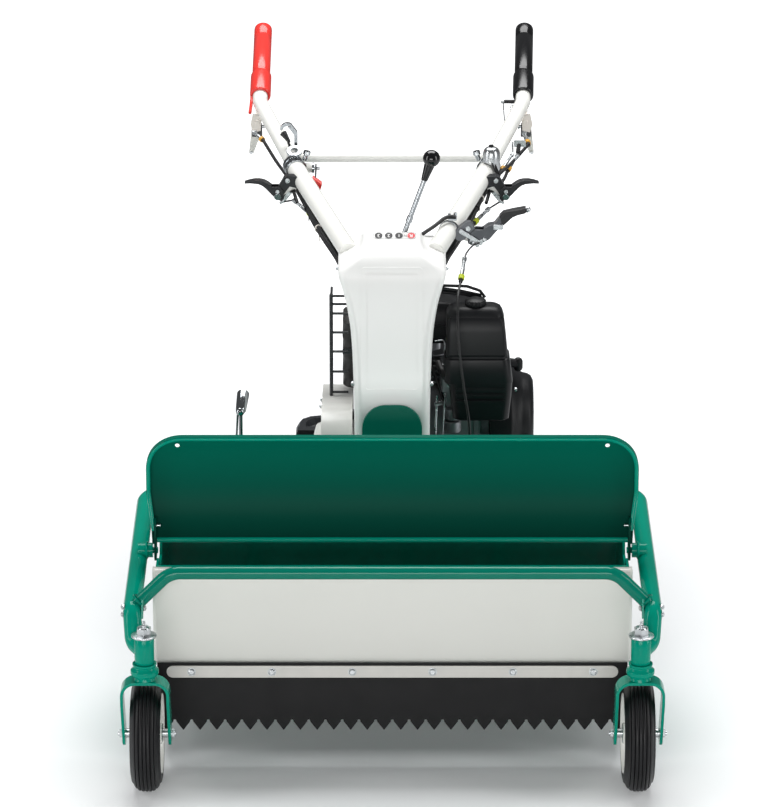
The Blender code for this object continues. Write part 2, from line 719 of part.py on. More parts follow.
def hood(finish):
    """The pressed lid: a hollow sheet with two creases, a turned rim and a hinge ear each side."""
    top = HINGE_Z + HOOD_HEIGHT
    line = [(HINGE_Y + 0.001, HINGE_Z + 0.018), (HINGE_Y + 0.026, HINGE_Z + 0.068),
            (HINGE_Y + 0.037, HINGE_Z + 0.120), (HINGE_Y + 0.036, HINGE_Z + 0.181),
            (HINGE_Y + 0.021, top)]
    foot = HOOD_HALF - 0.016

    def outline(inset):
        half, corner = HOOD_HALF - inset, 0.070 - inset
        side = [(half, HINGE_Z + 0.110), (foot - inset + 0.006, HINGE_Z + 0.040),
                (foot - inset, HINGE_Z - 0.030)]
        upper = (arc((half - corner, top - inset - corner), corner, 90, 0, 5))
        right = upper + side
        return [(-x, z) for x, z in reversed(right)] + right

    def between(front, rear):
        moved = [(y - front, z) for y, z in line]
        behind = [(y - rear, z) for y, z in reversed(line)]
        low = [(HINGE_Y - 0.022 - front, HINGE_Z - 0.04), (HINGE_Y + 0.024 - rear, HINGE_Z - 0.04)]
        high = [(line[-1][0] - rear, top + 0.01), (line[-1][0] - front, top + 0.01)]
        return low[:1] + moved + high[::-1] + behind + low[1:]

    width = HOOD_HALF + 0.01
    sheet = inside(prism(sheet_outline(line, HOOD_SHEET), -width, width),
                   prism(outline(0), -0.7, -0.5, "Y"))
    rim = cut(prism(outline(0), -0.7, -0.5, "Y"), prism(outline(0.003), -0.75, -0.45, "Y"))
    rim = inside(rim, prism(between(HOOD_RIM, 0.0), -width, width))
    floor = block((-width, -0.8, HINGE_Z - 0.05), (width, -0.4, HINGE_Z + 0.016))
    rim = cut(rim, floor)
    lip_y, lip_z = line[0]
    lip_end = Vector((foot - 0.004, lip_y - 0.001, lip_z + 0.003))
    lip = rod((-lip_end.x, lip_end.y, lip_end.z), lip_end, 0.005, 8)
    ears = []
    holes = []
    for _, sign in SIDES:
        low, high = sorted((sign * (DECK_HALF + RUN + 0.002), sign * (foot + 0.001)))
        ear_circles = [(HINGE_Y, HINGE_Z, 0.020), (HINGE_Y + 0.008, HINGE_Z + 0.050, 0.014)]
        ears.append(prism(around(ear_circles, steps=10), low, high))
        holes.append(rod((sign * (DECK_HALF - 0.020), HINGE_Y, HINGE_Z),
                         (sign * (HOOD_HALF + 0.020), HINGE_Y, HINGE_Z), HINGE_PIN + RUN, 12))
        hang_x, hang_z = sign * (HOOD_HALF - 0.060), top - 0.024
        holes.append(rod((hang_x, -0.7, hang_z), (hang_x, -0.5, hang_z), 0.0045, 8))
    shape = cut(joined(sheet, rim, lip, *ears), *holes)
    return finished("hood", finish["green"], shape, (0, HINGE_Y, HINGE_Z))


# Crawlers

def track_circles():
    """Belt's inner face: sprocket, first roller, idler, anticlockwise seen from +X."""
    roller = (ROLLER_YS[0], TRACK_FLOOR + ROLLER_RADIUS, ROLLER_RADIUS)
    idler = (IDLER_Y, TRACK_FLOOR + IDLER_RADIUS, IDLER_RADIUS)
    return [(SPROCKET_Y, SPROCKET_Z, SPROCKET_SEAT), roller, idler]


def rubber_track(finish, side, sign):
    """The endless rubber belt with its tread bars outside and guide horns inside."""
    x = sign * TRACK_X
    half = TRACK_WIDTH / 2
    inner = around(track_circles(), steps=TRACK_STEPS)
    tread = toothed(around(track_circles(), TRACK_BELT, TRACK_STEPS), LUG_PITCH, LUG_HEIGHT, 0.030, 0.018)
    shape = cut(prism(tread, x - half, x + half), prism(inner, x - half - 0.01, x + half + 0.01))
    horns = []
    for offset in (-HORN_OFFSET, HORN_OFFSET):
        comb = toothed(inner, LUG_PITCH, -HORN_HEIGHT, 0.026, 0.012)
        low, high = x + offset - HORN_WIDTH / 2, x + offset + HORN_WIDTH / 2
        band = prism(around(track_circles(), TRACK_BELT / 2, TRACK_STEPS), low, high)
        horns.append(cut(band, prism(comb, low - 0.01, high + 0.01)))
    return finished(f"rubber_track_{side}", finish["rubber"], joined(shape, *horns))


def drive_sprocket(finish, side, sign):
    x = sign * TRACK_X
    centre = (x, SPROCKET_Y, SPROCKET_Z)
    root, tip = SPROCKET_SEAT - 0.022, SPROCKET_SEAT - 0.0025
    outline = []
    for i in range(SPROCKET_TEETH):
        for share, reach in ((0.0, root), (0.42, root), (0.60, tip), (0.82, tip)):
            a = 2 * pi * (i + share) / SPROCKET_TEETH
            outline.append((SPROCKET_Y + reach * cos(a), SPROCKET_Z + reach * sin(a)))
    half = HORN_OFFSET - HORN_WIDTH / 2 - 0.003
    plate = prism(outline, x - half, x + half)
    shaft = rod((sign * (CASE_HALF + 0.046), SPROCKET_Y, SPROCKET_Z),
                (x + sign * 0.030, SPROCKET_Y, SPROCKET_Z), 0.020, 10)
    hub = rod((x - 0.024, SPROCKET_Y, SPROCKET_Z), (x + 0.024, SPROCKET_Y, SPROCKET_Z), 0.032, 12)
    return finished(f"drive_sprocket_{side}", finish["cast"], joined(plate, shaft, hub), centre)


def running_wheel(finish, name, centre, radius, hub, axle):
    """A roller or idler: two faces either side of the horns, on a fixed axle."""
    groove = HORN_OFFSET + HORN_WIDTH / 2 + 0.003
    face = radius * cos(pi / (2 * TRACK_STEPS)) - FIT
    profile = [(axle + RUN, -WHEEL_FACE), (face, -WHEEL_FACE), (face, -groove), (hub, -groove),
               (hub, groove), (face, groove), (face, WHEEL_FACE), (axle + RUN, WHEEL_FACE)]
    return finished(name, finish["frame"], turned(profile, centre, "X", 14, ring=True), centre)


def main_frame(finish):
    """The welded chassis: rails, engine bed, cross members, and the channel inside each track."""
    inner, outer = RAIL_X - RAIL_WIDTH / 2, RAIL_X + RAIL_WIDTH / 2
    rail_low = RAIL_TOP - RAIL_HEIGHT
    front = DECK_REAR + 0.024 + FIT
    pieces = []
    for sign in (-1, 1):
        low, high = sorted((sign * inner, sign * outer))
        pieces.append(block((low, front, rail_low), (high, RAIL_REAR, RAIL_TOP)))
        pieces.append(block((low, FRAME_REAR - 0.018, RAIL_TOP - 0.001),
                            (high, FRAME_REAR + 0.018, FRAME_HIGH - SADDLE)))
    bed = RAIL_TOP - BED_SHEET
    pieces.append(block((-outer + 0.001, -0.030, bed), (CRANKCASE_LEFT + 0.030, 0.240, RAIL_TOP + 0.0005)))
    pieces.append(block((-inner - 0.001, RAIL_REAR - 0.030, rail_low + 0.005),
                        (inner + 0.001, RAIL_REAR, RAIL_TOP - 0.005)))
    loop_x, loop_front, loop_rear, loop_z = 0.190, RAIL_REAR - 0.012, RAIL_REAR + 0.070, 0.270
    loop = bent([(-loop_x, loop_front, loop_z), (-loop_x, loop_rear, loop_z), (loop_x, loop_rear, loop_z),
                 (loop_x, loop_front, loop_z)], 0.04, 3)
    pieces.append(tube(loop, 0.014, 6))
    pieces.append(block((-loop_x - 0.010, RAIL_REAR - 0.026, loop_z - 0.014),
                        (loop_x + 0.010, RAIL_REAR - 0.002, loop_z + 0.014)))
    top = TRACK_FLOOR + 0.105
    wall = WHEEL_FACE + 0.004
    channel_front = ROLLER_YS[0] - ROLLER_RADIUS + 0.004
    channel_rear = IDLER_Y - IDLER_RADIUS - 0.012
    idler_z = TRACK_FLOOR + IDLER_RADIUS
    roller_z = TRACK_FLOOR + ROLLER_RADIUS
    plate = [(channel_front, top), (channel_front, roller_z), (ROLLER_YS[0] - 0.012, roller_z - 0.018),
             (ROLLER_YS[1] + 0.020, roller_z - 0.018), (IDLER_Y, idler_z - 0.022),
             *arc((IDLER_Y, idler_z), 0.022, -50, 50, 2), (channel_rear, top)]
    for sign in (-1, 1):
        x = sign * TRACK_X
        for offset in (-wall, wall):
            low, high = sorted((x + offset, x + offset + (TRACK_PLATE if offset > 0 else -TRACK_PLATE)))
            pieces.append(prism(plate, low, high))
        pieces.append(block((x - wall - 0.001, channel_front, top - TRACK_PLATE),
                            (x + wall + 0.001, channel_rear, top)))
        reach = wall + TRACK_PLATE + 0.002
        for y in ROLLER_YS:
            pieces.append(rod((x - reach, y, roller_z), (x + reach, y, roller_z), 0.008, 6))
        pieces.append(rod((x - reach, IDLER_Y, idler_z), (x + reach, IDLER_Y, idler_z), 0.010, 6))
    for y in (ROLLER_YS[0] + 0.030, ROLLER_YS[1] + 0.020):
        reach = TRACK_X - wall - TRACK_PLATE / 2
        pieces.append(block((-reach, y - 0.018, top - 0.034), (reach, y + 0.018, top - 0.004)))
        for sign in (-1, 1):
            low, high = sorted((sign * (inner + 0.004), sign * (outer - 0.004)))
            pieces.append(block((low, y - 0.016, top - 0.010), (high, y + 0.016, rail_low + 0.001)))
    bracket = cut(block((-0.100, -0.040, RAIL_TOP - 0.001), (COVER_INSIDE + 0.003, -0.010, 0.370)),
                  prism(around(cover_circles(), COVER_GAP + COVER_RIM + FIT, 9), -0.20, 0.0))
    seat = tube(frame_route(), FRAME_TUBE + FIT, FRAME_FLATS)
    return finished("main_frame", finish["frame"], cut(joined(*pieces, bracket), seat))


def transmission_case(finish):
    """The cast gear case between the rails, with an axle housing for each sprocket."""
    low = SPROCKET_Z - 0.060
    body_line = rounded_box((SPROCKET_Y - 0.070, low), (SPROCKET_Y + 0.090, CASE_TOP), 0.030, 2)
    body = prism(body_line, -CASE_HALF, CASE_HALF)
    seam = prism(rounded_box((SPROCKET_Y - 0.078, low - 0.008), (SPROCKET_Y + 0.098, CASE_TOP), 0.034, 2),
                 -0.006, 0.006)
    pieces = [body, seam]
    cutters = []
    for _, sign in SIDES:
        pieces.append(rod((sign * 0.06, SPROCKET_Y, SPROCKET_Z),
                          (sign * (CASE_HALF + 0.045), SPROCKET_Y, SPROCKET_Z), 0.044, 12, 0.032))
        cutters.append(rod((sign * (CASE_HALF + 0.005), SPROCKET_Y, SPROCKET_Z),
                           (sign * (CASE_HALF + 0.050), SPROCKET_Y, SPROCKET_Z), 0.020 + RUN, 10))
    for z in (0.22, 0.29):
        pieces.append(block((-CASE_HALF - 0.004, SPROCKET_Y - 0.050, z),
                            (CASE_HALF + 0.004, SPROCKET_Y + 0.070, z + 0.006)))
    for _, sign in SIDES:
        low_x, high_x = sorted((sign * (CASE_HALF - 0.002), sign * (RAIL_X - RAIL_WIDTH / 2 - FIT)))
        pieces.append(block((low_x, SPROCKET_Y - 0.020, 0.255), (high_x, SPROCKET_Y + 0.050, 0.285)))
    pieces.append(block((-CASE_HALF, INPUT_Y - 0.022, CASE_TOP - 0.030),
                        (-0.058, INPUT_Y + 0.022, INPUT_Z + 0.022)))
    cutters.append(rod((-CASE_HALF - 0.01, INPUT_Y, INPUT_Z), (-0.061, INPUT_Y, INPUT_Z),
                       PULLEY_SHAFT + RUN, 10))
    return finished("transmission_case", finish["cast"], cut(joined(*pieces), *cutters))


# Engine and belt drive

def engine_block(finish):
    """Crankcase, finned cylinder and head of the petrol engine."""
    base = RAIL_TOP + 0.0005 + FIT
    case_line = around([(CRANK_Y, CRANK_Z, CRANKCASE_RADIUS), (CRANK_Y - 0.080, base + 0.020, 0.020),
                        (CRANK_Y + 0.095, base + 0.020, 0.020)], steps=9)
    pieces = [prism([(y, max(z, base)) for y, z in case_line], CRANKCASE_RIGHT, CRANKCASE_LEFT)]
    for z in range(FIN_COUNT):
        height = CRANK_Z + 0.085 + z * 0.0115
        pieces.append(prism(rounded_box((-0.008, CRANK_Y - 0.052), (0.112, CRANK_Y + 0.062), 0.02, 1),
                            height, height + 0.004, "Z"))
    pieces.append(rod((0.052, CRANK_Y, CRANK_Z + 0.05), (0.052, CRANK_Y, CRANK_Z + 0.155), 0.043, 12))
    head = CRANK_Z + 0.085 + FIN_COUNT * 0.0115
    pieces.append(prism(rounded_box((0.004, CRANK_Y - 0.045), (0.100, CRANK_Y + 0.050), 0.012, 2),
                        head, head + 0.026, "Z"))
    pieces.append(block((-0.030, CRANK_Y - 0.018, head - 0.030), (0.020, CRANK_Y + 0.018, head - 0.002)))
    pieces.append(block((0.098, AIR_REAR + FIT, head - 0.052), (0.150, CRANK_Y - 0.030, head - 0.012)))
    pieces.append(block((0.104, AIR_REAR + 0.012, CRANK_Z + 0.020), (0.140, CRANK_Y - 0.060, head - 0.020)))
    inside_case, boss_end = CRANKCASE_LEFT - 0.01, CRANKCASE_LEFT + STARTER_BOSS
    boss = turned([(0, inside_case), (0.078, inside_case), (0.090, boss_end), (0, boss_end)],
                  (0, CRANK_Y, CRANK_Z), "X", 12)
    pieces.append(boss)
    hole = rod((CRANKCASE_RIGHT - 0.01, CRANK_Y, CRANK_Z), (CRANKCASE_RIGHT + 0.02, CRANK_Y, CRANK_Z),
               PULLEY_SHAFT + RUN, 10)
    return finished("engine_block", finish["cast"], cut(joined(*pieces), hole))


def recoil_housing(finish):
    """The domed starter housing with its ring of cooling slots."""
    start = CRANKCASE_LEFT + STARTER_BOSS + FIT
    r, d = RECOIL_RADIUS, RECOIL_DEPTH
    dome = turned([(0, 0), (r, 0), (r, d * 0.55), (r - 0.010, d * 0.72), (0.070, d * 0.80),
                   (0.064, d), (0.030, d), (0.026, d - 0.006), (0, d - 0.006)],
                  (start, CRANK_Y, CRANK_Z), "X", 16)
    slots = []
    for i in range(8):
        a = 2 * pi * (i + 0.5) / 8
        slot = block((start + d * 0.60, CRANK_Y - 0.004, CRANK_Z + 0.074),
                     (start + d * 1.1, CRANK_Y + 0.004, CRANK_Z + 0.094))
        slots.append(turned_about(slot, (0, CRANK_Y, CRANK_Z), a))
    spout = block((start + 0.012, CRANK_Y - 0.070, CRANK_Z + 0.060),
                  (start + 0.040, CRANK_Y - 0.030, CRANK_Z + 0.112))
    return finished("recoil_housing", finish["plastic"], cut(joined(dome, spout), *slots))


def recoil_handle(finish):
    """The starter grip, which slides up out of the housing on its cord."""
    x = CRANKCASE_LEFT + STARTER_BOSS + FIT + 0.026
    y, z = CRANK_Y - 0.050, CRANK_Z + 0.112 + RUN
    stem = rod((x, y, z), (x, y, z + 0.016), 0.006, 8, 0.009)
    bar = rod((x - 0.014, y - 0.024, z + 0.021), (x + 0.014, y + 0.024, z + 0.021), 0.009, 10)
    return finished("recoil_handle", finish["plastic"], joined(stem, bar), (x, y, z))


def air_cleaner_case(finish):
    """The tall moulded intake case beside the column, with a belt line and a lower skirt."""
    def ring(z, x0, x1, y0, y1, r=0.018):
        return [(x, y, z) for x, y in rounded_box((x0, y0), (x1, y1), r, 2)]

    sections = [
        ring(0.500, 0.122, 0.236, -0.126, AIR_REAR), ring(0.560, 0.112, 0.240, -0.134, AIR_REAR),
        ring(0.562, 0.104, 0.243, -0.142, AIR_REAR), ring(0.606, 0.104, 0.243, -0.142, AIR_REAR),
        ring(0.608, 0.107, 0.240, -0.138, AIR_REAR), ring(0.690, 0.107, 0.232, -0.130, AIR_REAR),
        ring(0.708, 0.114, 0.224, -0.122, -0.066), ring(0.714, 0.126, 0.212, -0.112, -0.074, 0.014),
    ]
    case = loft(sections)
    ribs = [block((0.240, -0.136 + i * 0.016, 0.52), (0.246, -0.130 + i * 0.016, 0.60)) for i in range(4)]
    return finished("air_cleaner_case", finish["plastic"], joined(case, *ribs))


def fluted_cap(finish, name, centre, radius, height, flutes=10):
    x, y, z = centre
    outline = []
    for i in range(flutes * 2):
        a = 2 * pi * i / (flutes * 2)
        reach = radius if i % 2 else radius - 0.0022
        outline.append((x + reach * cos(a), y + reach * sin(a)))
    disc = prism(outline, z, z + height, "Z")
    dome = turned([(0, z + height - 0.001), (radius * 0.8, z + height - 0.001),
                   (radius * 0.6, z + height + 0.003), (0, z + height + 0.004)], (x, y, 0), "Z", 12)
    return finished(name, finish["plastic"], joined(disc, dome), centre)


def fuel_tank(finish):
    def ring(z, inset, r):
        low, high = (-0.022 + inset, 0.005 + inset), (0.186 - inset, 0.205 - inset)
        return [(x, y, z) for x, y in rounded_box(low, high, r, 2)]

    low = CRANK_Z + 0.085 + FIN_COUNT * 0.0115 + 0.026 + FIT
    body = loft([ring(low, 0.012, 0.020), ring(low + 0.012, 0.0, 0.030), ring(low + 0.050, 0.0, 0.030),
                 ring(low + 0.085, 0.010, 0.030), ring(low + 0.100, 0.030, 0.030)])
    seam = prism(rounded_box((-0.026, 0.001), (0.190, 0.209), 0.034), low + 0.040, low + 0.046, "Z")
    neck = rod((0.060, 0.105, low + 0.090), (0.060, 0.105, low + 0.108), 0.022, 12)
    return finished("fuel_tank", finish["plastic"], joined(body, seam, neck))


def muffler(finish):
    """The drum silencer with pressed ribs, on the exhaust port."""
    x0, x1 = -0.112, -0.030 - FIT
    y0, y1 = MUFFLER_FRONT, CRANK_Y + 0.012
    sections = []
    rings = 8
    for i in range(rings + 1):
        z = MUFFLER_LOW + (MUFFLER_TOP - MUFFLER_LOW) * i / rings
        inset = 0.012 if i in (0, rings) else 0.003 * (i % 2)
        outline = rounded_box((x0 + inset, y0 + inset), (x1 - inset, y1 - inset), 0.026, 2)
        sections.append([(x, y, z) for x, y in outline])
    head = CRANK_Z + 0.085 + FIN_COUNT * 0.0115
    flange = block((x1 - 0.02, CRANK_Y - 0.016, head - 0.028), (x1, CRANK_Y + 0.010, head - 0.004))
    tail = rod((x0 + 0.03, y1 - 0.01, MUFFLER_TOP - 0.05), (x0 + 0.03, y1 + 0.03, MUFFLER_TOP - 0.06),
               0.010, 10)
    return finished("muffler", finish["frame"], joined(loft(sections), flange, tail))


def muffler_guard(finish):
    """The cage of round wire in front of and beside the silencer, strapped to it."""
    low, high = GUARD_LOW, GUARD_HIGH
    x0, x1 = -0.1235, -0.096
    y0, y1 = MUFFLER_FRONT - 0.016, CRANK_Y + 0.020
    wires = []
    rungs = (0.006, 0.054, 0.102, 0.150, 0.178, high - low - 0.004)
    for rise in rungs:
        z = low + rise
        wires.append(tube([(x1, y0, z), (x0, y0, z), (x0, y1, z), (x1 + 0.004, y1, z)], 0.0026, 4))
    for x, y in ((x1 + 0.002, y0), (x0 - 0.001, y0 - 0.001), (x0 - 0.001, y1)):
        wires.append(rod((x, y, low), (x, y, high), 0.0036, 4))
    strap = MUFFLER_LOW + 0.075
    wires.append(block((x1 - 0.003, y0 + 0.0005, strap), (-0.070, y0 + 0.0035, strap + 0.018)))
    wires.append(block((-0.073, y0 + 0.0015, strap), (-0.070, MUFFLER_FRONT - FIT, strap + 0.018)))
    return finished("muffler_guard", finish["frame"], joined(*wires))


def pulley(finish, name, y, z, radius, shaft_end, shaft):
    half = PULLEY_WIDTH / 2
    groove = radius - BELT_THICKNESS - RUN
    profile = [(0, -half - 0.008), (shaft, -half - 0.008), (shaft, -half), (radius, -half),
               (radius, -half + 0.003), (groove, -0.004), (groove, 0.004), (radius, half - 0.003),
               (radius, half), (shaft, half), (shaft, shaft_end - PULLEY_X), (0, shaft_end - PULLEY_X)]
    shape = turned(profile, (PULLEY_X, y, z), "X", 12)
    return finished(name, finish["cast"], shape, (PULLEY_X, y, z))


def belt_circles():
    """The two pulleys, listed anticlockwise seen from +X, as radii of the belt's inner face."""
    engine = (CRANK_Y, CRANK_Z, ENGINE_PULLEY - BELT_THICKNESS)
    gearbox = (INPUT_Y, INPUT_Z, GEARBOX_PULLEY - BELT_THICKNESS)
    return [engine, gearbox]


def drive_belt(finish):
    low, high = PULLEY_X - 0.0035, PULLEY_X + 0.0035
    band = cut(prism(around(belt_circles(), BELT_THICKNESS - 0.001, 10), low, high),
               prism(around(belt_circles(), 0, 14), low - 0.01, high + 0.01))
    return finished("drive_belt", finish["rubber"], band)


def cover_circles():
    return [(CRANK_Y, CRANK_Z, ENGINE_PULLEY), (INPUT_Y, INPUT_Z, GEARBOX_PULLEY)]


def belt_cover(finish):
    """The white sheet cover over both pulleys, open towards the engine."""
    outer_x, inner_x = PULLEY_X - 0.031, COVER_INSIDE
    circles = cover_circles()
    shell = cut(prism(around(circles, COVER_GAP, 9), outer_x, inner_x),
                prism(around(circles, COVER_GAP - COVER_SHEET, 9), outer_x + COVER_SHEET, inner_x + 0.01))
    rim = cut(prism(around(circles, COVER_GAP + COVER_RIM, 9), inner_x - 0.002, inner_x),
              prism(around(circles, COVER_GAP - 0.002, 9), inner_x - 0.01, inner_x + 0.01))
    dome = turned([(0, 0.001), (0.062, 0.001), (0.058, -0.010), (0.040, -0.015), (0, -0.016)],
                  (outer_x, INPUT_Y, INPUT_Z), "X", 14)
    return finished("belt_cover", finish["white"], joined(shell, rim, dome))


# Column and dash

def steering_column(finish):
    """The square column bolted on the gear case, with an arm to the foot of each handle."""
    low = CASE_TOP + FIT
    pieces = [
        block((-0.055, COLUMN_Y - 0.045, low), (0.055, COLUMN_Y + 0.045, low + 0.010)),
        block((-0.030, COLUMN_Y - 0.025, low + 0.005), (0.030, COLUMN_Y + 0.025, COLUMN_TOP)),
        block((-0.070, COLUMN_Y - 0.020, COLUMN_TOP - 0.040), (0.070, COLUMN_Y + 0.020, COLUMN_TOP)),
        block((-0.018, COLUMN_Y + 0.020, SHIFT_Z - 0.014), (0.018, SHIFT_Y - 0.011, SHIFT_Z + 0.014)),
        rod((0, COLUMN_Y, SHIFT_Z), (0, SHIFT_Y + 0.010, SHIFT_Z), 0.005, 10),
    ]
    inside_dash = DASH_HALF - DASH_WALL - FIT
    pieces.append(block((-inside_dash, COLUMN_Y - 0.012, 0.470), (inside_dash, COLUMN_Y + 0.012, 0.490)))
    sockets = []
    for _, sign in SIDES:
        foot, joint = mirrored(HANDLE_FOOT, sign), mirrored(HANDLE_JOINT, sign)
        along = (joint - foot).normalized()
        saddle = foot + along * 0.012 - Vector((sign * 0.016, 0, 0.004))
        pieces.append(rod((sign * 0.045, COLUMN_Y, COLUMN_TOP - 0.018), saddle, 0.012, 10))
        sockets.append(rod(foot - along * FIT, foot + along * 0.2, LOWER_TUBE + FIT, 20))
    return finished("steering_column", finish["frame"], cut(joined(*pieces), *sockets))


def dash_sections(inset):
    """Rounded sections of the dash cover from bottom to top: height, half width, front, rear, tilt."""
    levels = [
        (DASH_LOW, DASH_HALF, DASH_FRONT, -0.030, 0.0), (0.500, DASH_HALF, DASH_FRONT, -0.030, 0.0),
        (0.588, 0.0780, -0.230, -0.026, 0.0), (0.682, 0.0830, -0.202, -0.020, 0.02),
        (0.765, 0.0960, -0.178, -0.008, 0.06), (0.798, 0.1110, -0.168, 0.006, 0.12),
        (0.818, 0.1110, -0.158, 0.010, 0.20), (0.833, 0.0740, -0.148, 0.012, 0.30),
        (0.858, 0.0610, -0.128, 0.006, 0.33),
    ]
    made = []
    for i, (z, half, front, rear, tilt) in enumerate(levels):
        lift = -inset if i == len(levels) - 1 else 0
        r = 0.018
        middle = (front + rear) / 2
        points = rounded_box((-half + inset, front + inset), (half - inset, rear - inset), r, 2)
        made.append([(x, y, z + lift + tilt * (y - middle)) for x, y in points])
    return made


def dash_cover(finish):
    """The white cover over the column: a lofted shell, open below, with the shift gate."""
    outer = loft(dash_sections(0.0))
    inner_sections = dash_sections(DASH_WALL)
    inner_sections[0] = [(x, y, z - 0.02) for x, y, z in inner_sections[0]]
    hollow = loft(inner_sections)
    gate = prism(rounded_box((-0.047, SHIFT_Y - 0.032), (0.052, SHIFT_Y - 0.008), 0.008, 2), 0.80, 0.95, "Z")
    openings = [gate]
    for _, sign in SIDES:
        foot, joint = mirrored(HANDLE_FOOT, sign), mirrored(HANDLE_JOINT, sign)
        along = (joint - foot).normalized()
        openings.append(rod(foot - along * 0.004, foot + along * 0.15, LOWER_TUBE + 0.0015, 12))
        openings.append(rod((sign * 0.080, -0.066, 0.752), (sign * 0.130, -0.030, 0.780),
                            CABLE_BUNDLE + 0.003, 8))
    wall = cut(outer, hollow, *openings)
    edge = 0.010
    raised = inside(loft(dash_sections(-0.0015)), block((-0.060, -0.40, 0.572), (0.060, -0.12, 0.810)))
    field = block((edge - 0.061, -0.40, 0.572 + edge), (0.061 - edge, -0.12, 0.810 - edge))
    frame = cut(raised, loft(dash_sections(0.001)), field)
    return finished("dash_cover", finish["white"], joined(wall, frame))


def column_cover(finish):
    """The green arched cover in front of the column's foot."""
    half, top, corner, wall, depth = 0.059, 0.556, 0.046, 0.004, 0.060
    low = FRAME_HIGH + SADDLE
    back = DASH_FRONT - FIT

    def arch(inset, foot):
        reach, bend = half - inset, corner - inset
        high = top - inset - bend
        return [(reach, foot), *arc((reach - bend, high), bend, 0, 90, 5),
                *arc((bend - reach, high), bend, 90, 180, 5), (-reach, foot)]

    shell = prism(arch(0, low), back - depth, back, "Y")
    hollow = prism(arch(wall, low - 0.01), back - depth + wall, back + 0.01, "Y")
    seat = tube(frame_route(), FRAME_TUBE + FIT, FRAME_FLATS)
    return finished("column_cover", finish["green"], cut(shell, hollow, seat))


def shift_lever(finish):
    """The chromed lever in its gate, with a round knob."""
    pivot = (0, SHIFT_Y, SHIFT_Z)
    y = SHIFT_Y
    hub = rod((0, y - 0.010, SHIFT_Z), (0, y + 0.012, SHIFT_Z), 0.014, 12)
    bore = rod((0, y - 0.020, SHIFT_Z), (0, y + 0.0105, SHIFT_Z), 0.005 + RUN, 10)
    route = bent([(0, y, SHIFT_Z + 0.010), (0.010, y - 0.012, 0.760), (0.024, y - 0.020, GATE_Z),
                  (0.064, y - 0.010, 0.960), (0.072, y - 0.008, 0.983)], 0.02, 2)
    stem = tube(route, 0.0050, 6)
    neck = rod((0.066, y - 0.010, 0.966), (0.075, y - 0.008, 0.992), 0.0085, 8, 0.013)
    knob = ball((0.078, y - 0.007, 1.003), 0.0175, 10, 6)
    return finished("shift_lever", finish["chrome"], joined(cut(hub, bore), stem, neck, knob), pivot)


# Handles

def mirrored(point, sign):
    return Vector((sign * point[0], point[1], point[2]))


def lower_tube_at(y, sign=1):
    """A point on the middle line of the handle's lower tube."""
    foot, joint = mirrored(HANDLE_FOOT, sign), mirrored(HANDLE_JOINT, sign)
    return foot.lerp(joint, (y - foot.y) / (joint.y - foot.y))


def squeeze_pivot(sign):
    return lower_tube_at(0.300, sign) + Vector((sign * 0.049, 0, -0.030))


def grip_lever_pivot(sign):
    return mirrored(HANDLE_BEND, sign) + Vector((sign * 0.003, -0.045, -0.046))


def clutch_pivot():
    return lower_tube_at(0.030) + Vector((0.034, 0, -0.010))


def throttle_pivot():
    return lower_tube_at(0.370, -1) + Vector((0.044, 0, 0))


def handle_tube(finish, side, sign):
    """The thick lower tube, the thinner tube that slides into it, and the lugs of the levers."""
    foot, joint = mirrored(HANDLE_FOOT, sign), mirrored(HANDLE_JOINT, sign)
    elbow, end = mirrored(HANDLE_BEND, sign), mirrored(GRIP_END, sign)
    along = (joint - foot).normalized()
    upper = bent([joint - along * 0.040, elbow, elbow.lerp(end, 0.94)], 0.100, 3)
    pieces = [rod(foot, joint, LOWER_TUBE, 12), tube(upper, UPPER_TUBE, 10),
              rod(joint - along * 0.030, joint + along * 0.004, LOWER_TUBE + 0.003, 12)]
    pivot = squeeze_pivot(sign)
    pieces.append(rod(pivot, lower_tube_at(0.300, sign), 0.007, 8))
    pieces.append(rod(pivot - Vector((0, 0.016, 0)), pivot + Vector((0, 0.016, 0)), 0.004, 6))
    hanger = grip_lever_pivot(sign)
    pieces.append(rod(hanger, hanger + Vector((0, 0.012, 0.040)), 0.006, 6))
    pieces.append(rod(hanger - Vector((0.014, 0, 0)), hanger + Vector((0.014, 0, 0)), 0.0035, 6))
    if sign > 0:
        pivot = clutch_pivot()
        pieces.append(rod(lower_tube_at(0.030), pivot, 0.009, 8))
        pieces.append(rod(pivot - Vector((0, 0.016, 0)), pivot + Vector((0, 0.016, 0)), 0.005, 8))
    else:
        pivot = throttle_pivot()
        pieces.append(rod(lower_tube_at(0.370, -1), pivot - Vector((0.005, 0, 0)), 0.010, 10))
        pieces.append(rod(pivot - Vector((0.008, 0, 0)), pivot + Vector((0.008, 0, 0)), 0.004, 8))
    return finished(f"handle_{side}", finish["white"], joined(*pieces))


def grip(finish, side, sign, slot):
    """The moulded grip with its thicker collar, pushed over the end of the tube."""
    elbow, end = mirrored(HANDLE_BEND, sign), mirrored(GRIP_END, sign)
    along = (end - elbow).normalized()
    length = (end - elbow).length
    bore = UPPER_TUBE + RUN
    start, floor, slim = 0.030, length * 0.94 + FIT, GRIP_RADIUS - 0.0015
    shape = turned([
        (bore, start), (GRIP_COLLAR, start), (GRIP_COLLAR, 0.105), (slim, 0.109), (slim, 0.114),
        (GRIP_RADIUS, 0.118), (GRIP_RADIUS, length - 0.006), (GRIP_RADIUS - 0.005, length), (0, length),
        (0, floor), (bore, floor),
    ], (0, 0, 0), "Z", 12, ring=True)
    turn = along.to_track_quat("Z", "Y").to_matrix().to_4x4()
    shape.data.transform(Matrix.Translation(elbow) @ turn)
    return finished(f"grip_{side}", finish[slot], shape)


